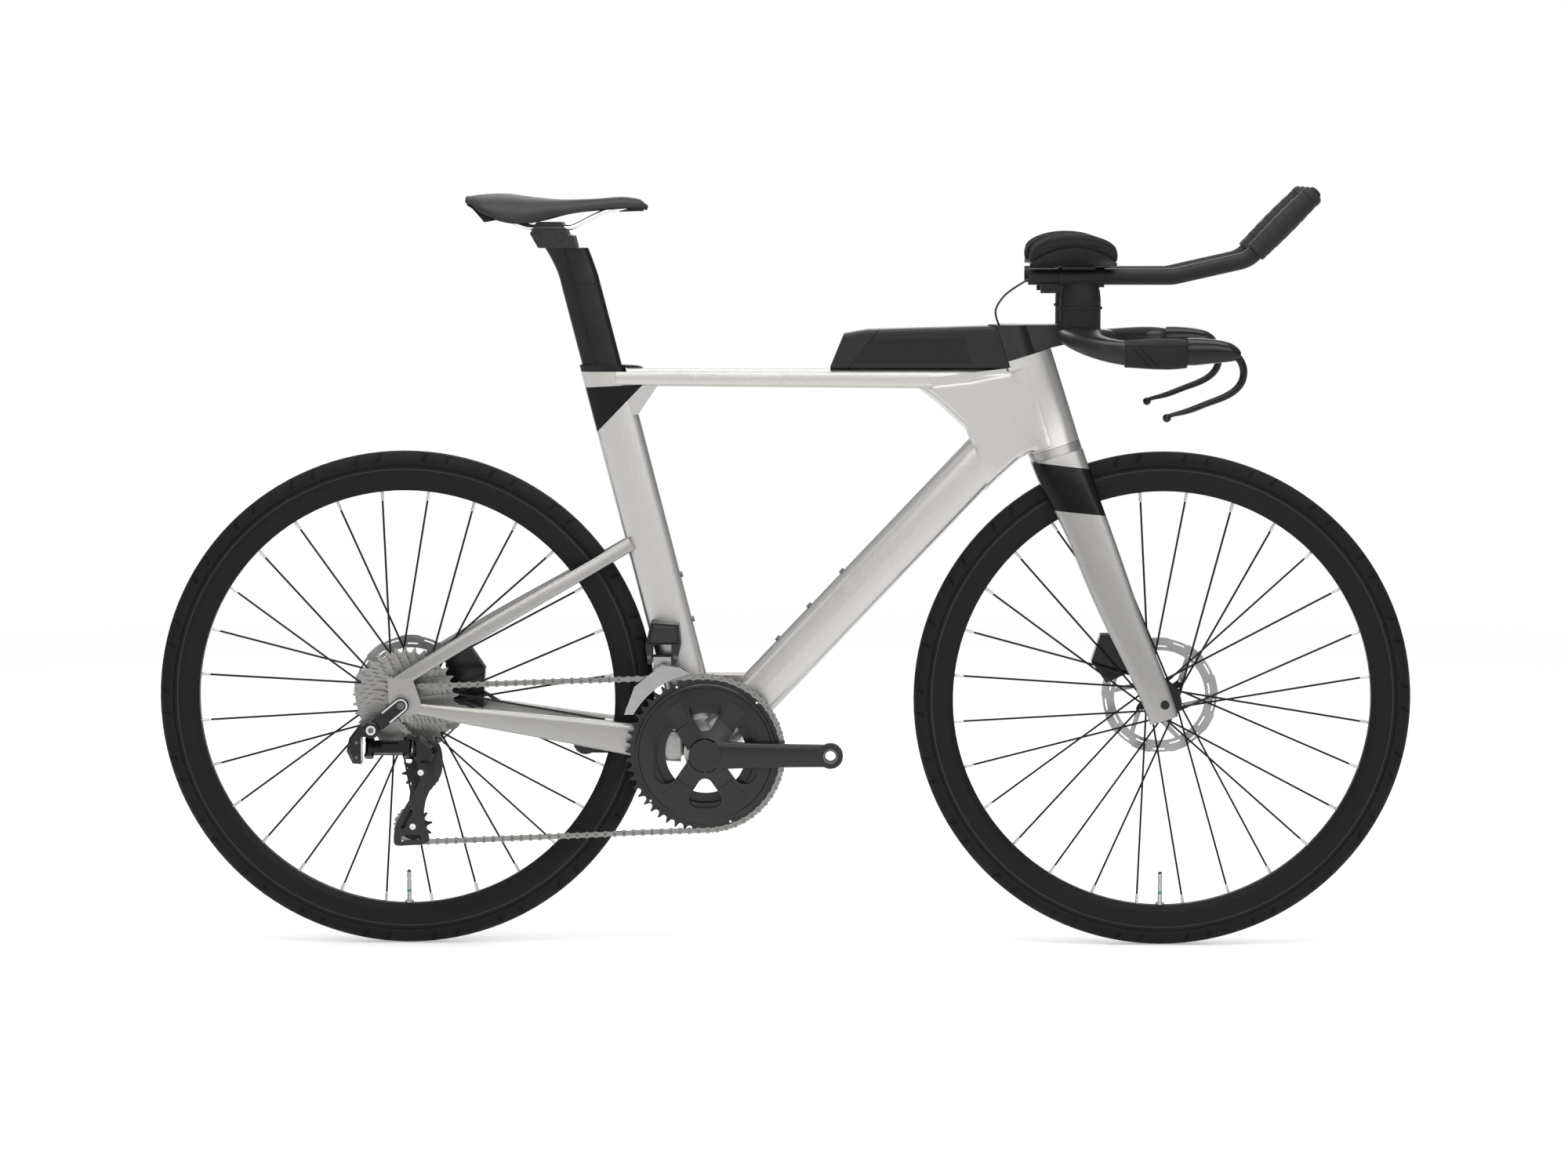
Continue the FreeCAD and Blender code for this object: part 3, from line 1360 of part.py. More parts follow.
for side_name, wheel_hub, wheel_flanges, wheel_hub_body, disc_line in (
        ("front", front_hub, FRONT_FLANGES, front_hub_body, front_rotor_line),
        ("rear", rear_hub, REAR_FLANGES, rear_hub_body, rear_rotor_line)):
    tyre(side_name, wheel_hub)
    wheel_rim = rim(side_name, wheel_hub)
    doc.recompute()
    spokes(side_name, wheel_hub, wheel_flanges, wheel_rim, wheel_hub_body)
    rotor(side_name, wheel_hub, disc_line)
    valve(side_name, wheel_hub, wheel_rim)


# Bottom bracket, cranks and chainrings

CUP_WALL = 8
turned_body("bottom_bracket", [[("-bb_shell_width / 2 - 9", "spindle_radius + running_gap"),
                                ("-bb_shell_width / 2 - 9", f"spindle_radius + {CUP_WALL + 2}"),
                                ("-bb_shell_width / 2", f"spindle_radius + {CUP_WALL + 2}"),
                                ("-bb_shell_width / 2", f"spindle_radius + {CUP_WALL}"),
                                ("bb_shell_width / 2", f"spindle_radius + {CUP_WALL}"),
                                ("bb_shell_width / 2", f"spindle_radius + {CUP_WALL + 2}"),
                                ("bb_shell_width / 2 + 9", f"spindle_radius + {CUP_WALL + 2}"),
                                ("bb_shell_width / 2 + 9", "spindle_radius + running_gap")]], bb)

crank_inner = size.bb_shell_width / 2 + 18
crank_outer = crank_inner + 20
outer_face = size.outer_ring_line + size.ring_thickness / 2
inner_face_of_small = size.inner_ring_line + size.ring_thickness / 2
SPIDER_ARMS = (56, -56, 126, -126)
SPIDER_REACH = 78
RING_HOLE = 68
BOSS_CIRCLE = 61


def crank_blade():
    """Right arm: tapered blade from the hub to the pedal eye."""
    middle = (crank_inner + crank_outer) / 2
    # Share of the crank length, distance out, half height, half thickness.
    stations = ((0.04, middle + 1, 20, 7), (0.34, middle + 2.5, 17.5, 6.5), (0.7, middle + 4, 16, 6),
                (1.0, middle + 5, 15.5, 6))
    sections = []
    for share, out, half_up, half_thick in stations:
        centre = bb + FORWARD * (size.crank_length * share) - ACROSS * out
        sections.append(ring(centre, UP * half_up, ACROSS * half_thick, 3.2))
    hub = disc(bb, size.crank_hub_radius, -crank_outer, -crank_inner)
    eye_middle = bb + FORWARD * size.crank_length
    eye = disc(eye_middle, size.crank_end_radius, -middle - 11, -middle + 1)
    return fused([loft(sections), hub, eye])


def pedal_hole():
    return disc(bb + FORWARD * size.crank_length, size.pedal_thread_radius, -200, 0)


def spider_arm(turn):
    """Arm from the hub to the large ring, with a boss to the small ring."""
    out = direction(turn)
    side = direction(turn + 90)
    corners = [bb + out * 12 + side * 15, bb + out * 12 - side * 15, bb + out * 52 - side * 9,
               bb + out * SPIDER_REACH - side * 15, bb + out * (SPIDER_REACH + 2), bb + out * SPIDER_REACH + side * 15,
               bb + out * 52 + side * 9]
    arm = prism(corners, 6, -outer_face - 3)
    boss = disc(bb + out * BOSS_CIRCLE, 6, -outer_face - 2, -inner_face_of_small)
    return fused([arm, boss])


def right_crank():
    spindle = disc(bb, size.spindle_radius, -crank_inner - 5, crank_outer - 2)
    root = disc(bb, size.crank_hub_radius, -crank_inner - 2, -outer_face)
    whole = fused([crank_blade(), root, spindle] + [spider_arm(turn) for turn in SPIDER_ARMS])
    return largest(whole.cut(pedal_hole()))


def left_crank():
    """The right arm's twin, half a turn round, on the spindle's other end."""
    arm = mirrored(crank_blade().cut(pedal_hole()))
    arm.rotate(bb, ACROSS, 180)
    return largest(arm.cut(disc(bb, size.spindle_radius, 0, crank_outer - 2)))


feature("right_crank_arm", right_crank())
feature("left_crank_arm", left_crank())


# Chain line: pitch circles in the order that the chain runs over them

hanger_axle = rear_hub - ACROSS * (size.dropout_spacing / 2 + size.dropout_thickness)
cage_pivot = rear_hub + Vector(29, 0, -59)
guide_drawn = rear_hub + Vector(24, 0, -94)
tension_drawn = rear_hub + Vector(12, 0, -168)
CHAIN_IN_LINE = 0.12


class Wrap:
    """A sprocket that the chain goes round, clockwise or not."""

    def __init__(self, name, centre, teeth, line, turning):
        self.name = name
        self.centre = centre
        self.teeth = teeth
        self.line = line
        self.turning = turning
        self.radius = pitch_radius(teeth)


def swung(point, swing):
    """A point of the pulley cage after its swing about the cage pivot."""
    return cage_pivot + Rotation(ACROSS, swing).multVec(point - cage_pivot)


def chain_wraps(swing):
    return [Wrap("outer_chainring", bb, size.outer_ring_teeth, -size.outer_ring_line, -1),
            Wrap("tension_pulley", swung(tension_drawn, swing), size.pulley_teeth, -size.smallest_cog_line, -1),
            Wrap("guide_pulley", swung(guide_drawn, swing), size.pulley_teeth, -size.smallest_cog_line, 1),
            Wrap("cassette", rear_hub, COGS[0], -size.smallest_cog_line, -1)]


def tangent_heading(one, two):
    """Heading in radians of the straight run from one wrap to the next."""
    reach = two.centre - one.centre
    lift = two.turning * two.radius - one.turning * one.radius
    return math.atan2(reach.z, reach.x) - math.asin(lift / math.hypot(reach.x, reach.z))


def touch_point(wrap, heading):
    """Where a run with this heading touches a wrap's pitch circle."""
    aside = Vector(-math.sin(heading), 0, math.cos(heading))
    point = wrap.centre - aside * (wrap.turning * wrap.radius)
    return Vector(point.x, wrap.line, point.z)


def chain_pieces(swing):
    """Arcs and runs of the closed chain line, each with its length in links times pitch."""
    wraps = chain_wraps(swing)
    count = len(wraps)
    headings = [tangent_heading(wraps[i], wraps[(i + 1) % count]) for i in range(count)]
    pieces = []
    for i, wrap in enumerate(wraps):
        arriving = headings[i - 1]
        turn = (headings[i] - arriving) * wrap.turning % (2 * math.pi)
        pieces.append(("arc", wrap, arriving, turn, turn * size.chain_pitch * wrap.teeth / (2 * math.pi)))
        start = touch_point(wrap, headings[i])
        end = touch_point(wraps[(i + 1) % count], headings[i])
        pieces.append(("run", start, end, None, (end - start).Length))
    return pieces


def chain_length(swing):
    return sum(piece[-1] for piece in chain_pieces(swing))


def settled_swing():
    """Cage swing at which the chain is a whole even number of links long."""
    links = 2 * round(chain_length(0) / size.chain_pitch / 2)
    low = -25.0
    high = 25.0
    rising = chain_length(high) > chain_length(low)
    for _ in range(40):
        middle = (low + high) / 2
        if (chain_length(middle) > links * size.chain_pitch) == rising:
            high = middle
        else:
            low = middle
    return middle, links


cage_swing, chain_links = settled_swing()
print(f"chain: {chain_links} links, cage swung {cage_swing:.2f} degrees, "
      f"length {chain_length(cage_swing):.2f} mm against {chain_links * size.chain_pitch:.2f} mm")


def sideways(share):
    """Share of a run's step across: the chain stays in line near each sprocket."""
    eased = (share - CHAIN_IN_LINE) / (1 - 2 * CHAIN_IN_LINE)
    eased = min(max(eased, 0), 1)
    return eased * eased * (3 - 2 * eased)


def chain_rollers():
    """Roller centres along the chain, and for each wrap the angle of one roller on it."""
    pieces = chain_pieces(cage_swing)
    rollers = []
    phases = {}
    index = 0
    passed = 0.0
    for i in range(chain_links):
        place = i * size.chain_pitch
        while place > passed + pieces[index][-1]:
            passed += pieces[index][-1]
            index += 1
        kind, first, second, turn, length = pieces[index]
        share = (place - passed) / length
        if kind == "run":
            point = first + (second - first) * share
            point.y = first.y + (second.y - first.y) * sideways(share)
            rollers.append(point)
            continue
        wrap = first
        heading = second + wrap.turning * turn * share
        point = touch_point(wrap, heading)
        rollers.append(point)
        arm = point - wrap.centre
        phases[wrap.name] = math.degrees(math.atan2(arm.z, arm.x))
    return rollers, phases


rollers, phases = chain_rollers()


def link_plate(low):
    """Waisted side plate of a link, from one roller to the next."""
    pitch = size.chain_pitch
    ends = [Part.makeCylinder(size.plate_radius, size.plate_thickness, Vector(x, low, 0), ACROSS) for x in (0, pitch)]
    waist = 0.72 * size.plate_radius
    corners = [Vector(0, 0, -waist), Vector(pitch, 0, -waist), Vector(pitch, 0, waist), Vector(0, 0, waist)]
    bar = prism(corners, size.plate_thickness, low + size.plate_thickness / 2)
    return fused([bar] + ends).removeSplitter()


def inner_link():
    """Two plates with two rollers between them, bored for the pins."""
    half = size.chain_inner_width / 2
    pieces = [link_plate(half), link_plate(-half - size.plate_thickness)]
    for x in (0, size.chain_pitch):
        pieces.append(disc(Vector(x, 0, 0), size.roller_radius, -half, half))
    bores = [disc(Vector(x, 0, 0), size.pin_radius + size.running_gap, -9, 9) for x in (0, size.chain_pitch)]
    return largest(without(fused(pieces), bores))


def outer_link():
    """Two plates outside the inner link's, on two pins."""
    half = size.chain_inner_width / 2 + size.plate_thickness + size.running_gap
    pieces = [link_plate(half), link_plate(-half - size.plate_thickness)]
    reach = half + size.plate_thickness + 0.15
    for x in (0, size.chain_pitch):
        pieces.append(disc(Vector(x, 0, 0), size.pin_radius, -reach, reach))
    return largest(fused(pieces))


def chain():
    """Inner and outer links in turn, from roller to roller."""
    kinds = (inner_link(), outer_link())
    solids = []
    for i, start in enumerate(rollers):
        along = (rollers[(i + 1) % chain_links] - start).normalize()
        up = along.cross(ACROSS).normalize()
        across = up.cross(along)
        link = kinds[i % 2].copy()
        link.Placement = Placement(start, Rotation(along, across, up, "XYZ"))
        solids.append(link)
    return Part.makeCompound(solids)


feature("chain", chain())


def placed_sprocket(name, teeth, thickness, hole, centre, line):
    """Sprocket on its axle, its roller seats turned to meet the chain."""
    plate = sprocket(teeth, thickness, hole, phases.get(name, 0.0))
    plate.translate(Vector(centre.x, -line, centre.z))
    return plate


feature("outer_chainring", placed_sprocket("outer_chainring", size.outer_ring_teeth, size.ring_thickness, RING_HOLE,
                                           bb, size.outer_ring_line))
feature("inner_chainring", placed_sprocket("inner_chainring", size.inner_ring_teeth, size.ring_thickness,
                                           BOSS_CIRCLE - 6, bb, size.inner_ring_line))


def cassette():
    """Twelve cogs on a freehub body with its lock ring."""
    smallest = -size.smallest_cog_line
    last = smallest + size.cog_spacing * (len(COGS) - 1)
    pieces = [disc(rear_hub, size.freehub_radius, smallest - 2, last + 2),
              disc(rear_hub, size.freehub_radius - 2, smallest - 3.6, smallest)]
    for index, teeth in enumerate(COGS):
        name = "cassette" if index == 0 else "free cog"
        line = size.smallest_cog_line - index * size.cog_spacing
        pieces.append(placed_sprocket(name, teeth, size.cog_thickness, size.freehub_radius - 1, rear_hub, line))
    bore = disc(rear_hub, size.freehub_bore + size.running_gap, -100, 0)
    return largest(fused(pieces).cut(bore))


feature("cassette", cassette())


# Rear derailleur

guide_centre = swung(guide_drawn, cage_swing)
tension_centre = swung(tension_drawn, cage_swing)
for pulley_name, pulley_centre in (("guide_pulley", guide_centre), ("tension_pulley", tension_centre)):
    feature(pulley_name, placed_sprocket(pulley_name, size.pulley_teeth, size.pulley_thickness,
                                         size.pulley_bolt_radius + size.running_gap, pulley_centre,
                                         size.smallest_cog_line))

CAGE_PIN = 5
plate_out = size.smallest_cog_line + 5.2
plate_in = size.smallest_cog_line - 5.2


def plate_between(points, radii, low, high):
    """Flat plate round a row of discs, joined by straight sides."""
    pieces = [disc(points[0], radii[0], low, high)]
    for one, two, r_one, r_two in zip(points, points[1:], radii, radii[1:]):
        way = (two - one).normalize()
        aside = way.cross(ACROSS)
        corners = [one + aside * r_one, two + aside * r_two, two - aside * r_two, one - aside * r_one]
        pieces.append(prism(corners, high - low, (low + high) / 2))
        pieces.append(disc(two, r_two, low, high))
    return fused(pieces)


def derailleur_cage():
    """Two plates on the pulley bolts; the outer one reaches up to the cage pivot."""
    outer = plate_between([cage_pivot, guide_centre, tension_centre], [13, 12, 11], -plate_out - 1.8, -plate_out)
    inner = plate_between([guide_centre, tension_centre], [12, 11], -plate_in, -plate_in + 1.8)
    middle = (guide_centre + tension_centre) / 2
    window = plate_between([middle + (guide_centre - middle) * 0.42, middle + (tension_centre - middle) * 0.42],
                           [6, 5], -100, 0)
    bolts = []
    for centre in (guide_centre, tension_centre):
        bolts.append(disc(centre, size.pulley_bolt_radius, -plate_out - 3, -plate_in + 2.4))
        collar_half = size.pulley_thickness / 2 + size.slide_gap
        bolts.append(disc(centre, 5, -plate_out, -size.smallest_cog_line - collar_half))
        bolts.append(disc(centre, 5, -size.smallest_cog_line + collar_half, -plate_in))
    pin = disc(cage_pivot, CAGE_PIN, -plate_out - 14, -plate_out)
    return largest(fused([without(outer, [window]), without(inner, [window]), pin] + bolts))


feature("rear_derailleur_cage", derailleur_cage())

LINK_SLANT = 30
LINK_LENGTH = 52
LINK_HALF = 9
EAR_GAP = 0.4
EAR_THICKNESS = 4.5
EAR_RADIUS = 6.5
LINK_PIN = 2.5
link_axis = Vector(0, math.sin(math.radians(LINK_SLANT)), math.cos(math.radians(LINK_SLANT)))
knuckle_line = plate_out + 11
link_front = Vector(cage_pivot.x - 21, -knuckle_line, cage_pivot.z)
link_rear = link_front - FORWARD * LINK_LENGTH
link_turn = Rotation(FORWARD, link_axis.cross(FORWARD), link_axis, "XYZ")


def in_link_frame(shape, origin):
    """Place a shape drawn with its hinge along Z and its link along X."""
    shape = shape.copy()
    shape.Placement = Placement(origin, link_turn)
    return shape


def hinge_disc(x, radius, low, high):
    return Part.makeCylinder(radius, high - low, Vector(x, 0, low), UP)


def derailleur_links():
    """Parallelogram link: a slanted block with an eye at each end."""
    block = Part.makeBox(LINK_LENGTH, 10, 2 * LINK_HALF, Vector(0, -5, -LINK_HALF))
    recess = Part.makeBox(LINK_LENGTH - 24, 3, 2 * LINK_HALF - 6, Vector(12, -5, 3 - LINK_HALF))
    eyes = [hinge_disc(x, 5.5, -LINK_HALF, LINK_HALF) for x in (0, LINK_LENGTH)]
    holes = [hinge_disc(x, LINK_PIN + size.running_gap, -20, 20) for x in (0, LINK_LENGTH)]
    return in_link_frame(largest(without(fused([block.cut(recess)] + eyes), holes)), link_rear)


def ears(root):
    """Two ears and a pin round a link's eye, joined to a root on one side."""
    pieces = [hinge_disc(0, LINK_PIN, -LINK_HALF - 3, LINK_HALF + 3)]
    for low in (LINK_HALF + EAR_GAP, -LINK_HALF - EAR_GAP - EAR_THICKNESS):
        pieces.append(hinge_disc(0, EAR_RADIUS, low, low + EAR_THICKNESS))
        start = min(root, 0)
        pieces.append(Part.makeBox(abs(root), 2 * EAR_RADIUS, EAR_THICKNESS, Vector(start, -EAR_RADIUS, low)))
    reach = LINK_HALF + EAR_GAP + EAR_THICKNESS
    wall_start = root - 3 if root > 0 else root
    pieces.append(Part.makeBox(3, 2 * EAR_RADIUS, 2 * reach, Vector(wall_start, -EAR_RADIUS, -reach)))
    return fused(pieces)


def derailleur_knuckle():
    """Front knuckle: ears for the link and a barrel for the cage pivot."""
    barrel = disc(cage_pivot, 12, -plate_out - 22, -plate_out - 2.4)
    bore = disc(cage_pivot, CAGE_PIN + size.running_gap, -plate_out - 15, 0)
    whole = fused([in_link_frame(ears(10), link_front), barrel])
    cage_room = disc(cage_pivot, 30, -plate_out - 2.2, 0)
    return largest(without(whole, [bore, cage_room]))


def derailleur_bracket():
    """Rear knuckle with the motor housing, on a plate from the axle."""
    plate_low = hanger_axle.y - size.hanger_thickness - 6
    bolt = link_rear + Vector(4, 0, 26)
    plate = plate_between([Vector(rear_hub.x, 0, rear_hub.z), bolt], [11, 10], plate_low,
                          hanger_axle.y - size.hanger_thickness)
    outline = [link_rear + Vector(-10, 0, -22), link_rear + Vector(-10, 0, 18), bolt + Vector(4, 0, -8),
               bolt + Vector(6, 0, 4), bolt + Vector(-14, 0, 8), link_rear + Vector(-38, 0, 14),
               link_rear + Vector(-42, 0, -8), link_rear + Vector(-32, 0, -27)]
    housing = prism(outline, 24, link_rear.y - 2)
    clear = in_link_frame(hinge_disc(0, EAR_RADIUS + 0.5, -LINK_HALF - EAR_GAP, LINK_HALF + EAR_GAP), link_rear)
    return largest(fused([plate, housing, in_link_frame(ears(-12), link_rear)]).cut(clear).fuse(
        in_link_frame(hinge_disc(0, LINK_PIN, -LINK_HALF - 3, LINK_HALF + 3), link_rear)))


def hanger():
    """Hanger plate between the dropout and the derailleur, round the axle."""
    low = hanger_axle.y - size.hanger_thickness
    plate = plate_between([rear_hub, rear_hub + Vector(-12, 0, -10)], [13, 10], low, hanger_axle.y)
    return largest(plate.cut(disc(rear_hub, size.thru_axle_radius, -200, 0)))


feature("rear_derailleur_links", derailleur_links())
feature("rear_derailleur_knuckle", derailleur_knuckle())
feature("rear_derailleur_bracket", derailleur_bracket())
feature("derailleur_hanger", hanger())


# Front derailleur and bottle cage bolts

ring_tip = pitch_radius(size.outer_ring_teeth) + 0.3 * size.chain_pitch
cage_line = size.outer_ring_line + 1.5
fd_hinge = Vector(bb.x - 59, -33, bb.z + 131)
FD_PIN = 3


def front_derailleur_body():
    """Motor housing on the seat tube, with a fork for the cage's arm."""
    outline = [bb + Vector(-81, 0, 148), bb + Vector(-74, 0, 179), bb + Vector(-36, 0, 176), bb + Vector(-33, 0, 148),
               bb + Vector(-40, 0, 122), bb + Vector(-78, 0, 122)]
    housing = prism(outline, 40, -30)
    slot = Part.makeBox(26, 80, 42, Vector(fd_hinge.x - 13, -80, fd_hinge.z - 24))
    pin = rod(fd_hinge - FORWARD * 16, fd_hinge + FORWARD * 16, FD_PIN)
    front_arm = prism([bb + Vector(-60, 0, 150), bb + Vector(-60, 0, 178), bb + Vector(-38, 0, 176),
                       bb + Vector(-38, 0, 150)], 26, -13)
    return largest(without(fused([largest(without(housing, [slot])), pin, front_arm]), [frame_shape]))


def front_derailleur_cage():
    """Two curved plates over the large ring, bridged at both ends, on a hinged arm."""
    outline = [bb + Vector(-59, 0, 122), bb + Vector(-34, 0, 118), bb + Vector(-20, 0, 110), bb + Vector(-44, 0, 88),
               bb + Vector(-87, 0, 54), bb + Vector(-110, 0, 54), bb + Vector(-96, 0, 92)]
    hollow = disc(bb, ring_tip + 2.5, -100, 0)
    plates = []
    for middle in (cage_line + 5.6, cage_line - 5.6):
        plates.append(prism(outline, 1.2, -middle).cut(hollow))
    top = prism([bb + Vector(-72, 0, 115), bb + Vector(-60, 0, 120.5), bb + Vector(-34, 0, 117), bb + Vector(-40, 0, 113.6)],
                11.4, -cage_line)
    tail = prism([bb + Vector(-109, 0, 54), bb + Vector(-107, 0, 64), bb + Vector(-105, 0, 64), bb + Vector(-107, 0, 54)],
                 11.4, -cage_line)
    arm_outline = [fd_hinge + Vector(-12, 0, -20), fd_hinge + Vector(-12, 0, 6), fd_hinge + Vector(12, 0, 6),
                   fd_hinge + Vector(12, 0, -16)]
    arm = prism(arm_outline, 6, fd_hinge.y)
    reach = prism([fd_hinge + Vector(-12, 0, -20), fd_hinge + Vector(-12, 0, -12), fd_hinge + Vector(12, 0, -10),
                   fd_hinge + Vector(12, 0, -16)], cage_line - 5 + fd_hinge.y, (fd_hinge.y - cage_line + 5) / 2)
    hole = rod(fd_hinge - FORWARD * 30, fd_hinge + FORWARD * 30, FD_PIN + size.running_gap)
    return largest(without(fused(plates + [top, tail, arm, reach]), [hole]))


feature("front_derailleur_body", front_derailleur_body())
feature("front_derailleur_cage", front_derailleur_cage())


def bottle_bolts():
    """Five bolt heads: two on the seat tube, three on the down tube."""
    bolts = []
    for along in (241, 178):
        bolts.append(rod(seat(along, size.seat_tube_front - 3), seat(along, size.seat_tube_front + 3), 4))
    for along in (305, 240, 178):
        root = down_edge(along, size.down_tube_depth - 3)
        bolts.append(rod(root, root - down_under * 6, 4))
    return Part.makeCompound([largest(bolt.cut(frame_shape)) for bolt in bolts])


feature("bottle_cage_bolts", bottle_bolts())


# Checks and files


def sub_parts():
    """Document objects that no other object takes in."""
    found = []
    for item in doc.Objects:
        if not hasattr(item, "Shape") or item.TypeId.startswith(("Sketcher", "App")):
            continue
        if item.getParentGeoFeatureGroup() is not None:
            continue
        takers = [user for user in item.InList if user.TypeId.startswith("Part::")]
        if not takers:
            found.append(item)
    return found


doc.recompute()
for item in doc.Objects:
    if "Invalid" in item.State or "Error" in item.State:
        raise RuntimeError(f"{item.Name} failed: {item.State}")
os.makedirs("parts", exist_ok=True)
for item in sub_parts():
    shape = item.Shape
    if shape.isNull() or not shape.isValid():
        raise RuntimeError(f"{item.Label} has no valid shape")
    shape.exportStep(os.path.join("parts", item.Label + ".step"))
    print(f"{item.Label}: {len(shape.Solids)} solids, {len(shape.Faces)} faces, {shape.Volume / 1000:.1f} cm3")
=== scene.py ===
"""Looks of the time trial bike: finishes on the CAD frame, soft pieces, small fittings, light and camera."""

import json
import math

import bmesh
import bpy
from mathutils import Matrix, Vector
from mathutils.bvhtree import BVHTree
from mathutils.geometry import convex_hull_2d


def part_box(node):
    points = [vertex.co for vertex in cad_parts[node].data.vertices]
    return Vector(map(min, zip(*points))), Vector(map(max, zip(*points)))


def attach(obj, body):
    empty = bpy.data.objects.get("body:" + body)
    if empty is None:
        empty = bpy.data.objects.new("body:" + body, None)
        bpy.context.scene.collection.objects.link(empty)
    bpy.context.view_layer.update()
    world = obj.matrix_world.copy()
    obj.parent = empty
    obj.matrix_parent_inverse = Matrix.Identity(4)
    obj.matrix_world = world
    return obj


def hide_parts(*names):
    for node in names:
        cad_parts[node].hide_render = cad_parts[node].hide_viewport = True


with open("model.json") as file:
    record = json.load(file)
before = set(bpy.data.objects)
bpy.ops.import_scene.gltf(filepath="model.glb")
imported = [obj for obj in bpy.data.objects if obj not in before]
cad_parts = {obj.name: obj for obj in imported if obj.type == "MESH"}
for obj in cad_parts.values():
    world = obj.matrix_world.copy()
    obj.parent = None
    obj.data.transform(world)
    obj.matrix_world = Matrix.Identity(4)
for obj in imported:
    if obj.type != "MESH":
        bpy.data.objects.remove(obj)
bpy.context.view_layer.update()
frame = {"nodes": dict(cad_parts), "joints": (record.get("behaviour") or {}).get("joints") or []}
nodes = frame["nodes"]


# Places taken from the frame, in metres

def joint_place(name):
    """Point on a joint's axis."""
    return Vector(next(joint["pos_m"] for joint in frame["joints"] if joint["name"] == name))


def joint_axis(name):
    """Direction of a joint's axis."""
    return Vector(next(joint["axis"] for joint in frame["joints"] if joint["name"] == name)).normalized()


FRONT_AXLE = joint_place("front_wheel_spin")
REAR_AXLE = joint_place("rear_wheel_spin")
CRANK_AXLE = joint_place("crank_spin")
LEFT = Vector((0, 1, 0))
AHEAD = Vector((1, 0, 0))
WHEELS = (("front", FRONT_AXLE), ("rear", REAR_AXLE))


def placed(name, data):
    """New object of the scene, at the origin."""
    made = bpy.data.objects.new(name, data)
    bpy.context.scene.collection.objects.link(made)
    return made


# Camera, at the photograph's angle

CAMERA_PLACE = Vector((0.096, -5.70, 1.079))
CAMERA_AIM = Vector((0.0, 0.0, 0.4905))
PHOTO_WIDTH = 2.14
SENSOR_WIDTH = 36.0


def add_camera():
    """Camera whose sensor's width takes in the photograph's width at the aim."""
    camera = placed("camera", bpy.data.cameras.new("camera"))
    sight = CAMERA_AIM - CAMERA_PLACE
    camera.location = CAMERA_PLACE
    camera.rotation_euler = sight.to_track_quat("-Z", "Y").to_euler()
    camera.data.sensor_width = SENSOR_WIDTH
    camera.data.lens = SENSOR_WIDTH * sight.length / PHOTO_WIDTH
    bpy.context.scene.camera = camera


add_camera()


# Node desk: short hand for adding linked nodes to a tree

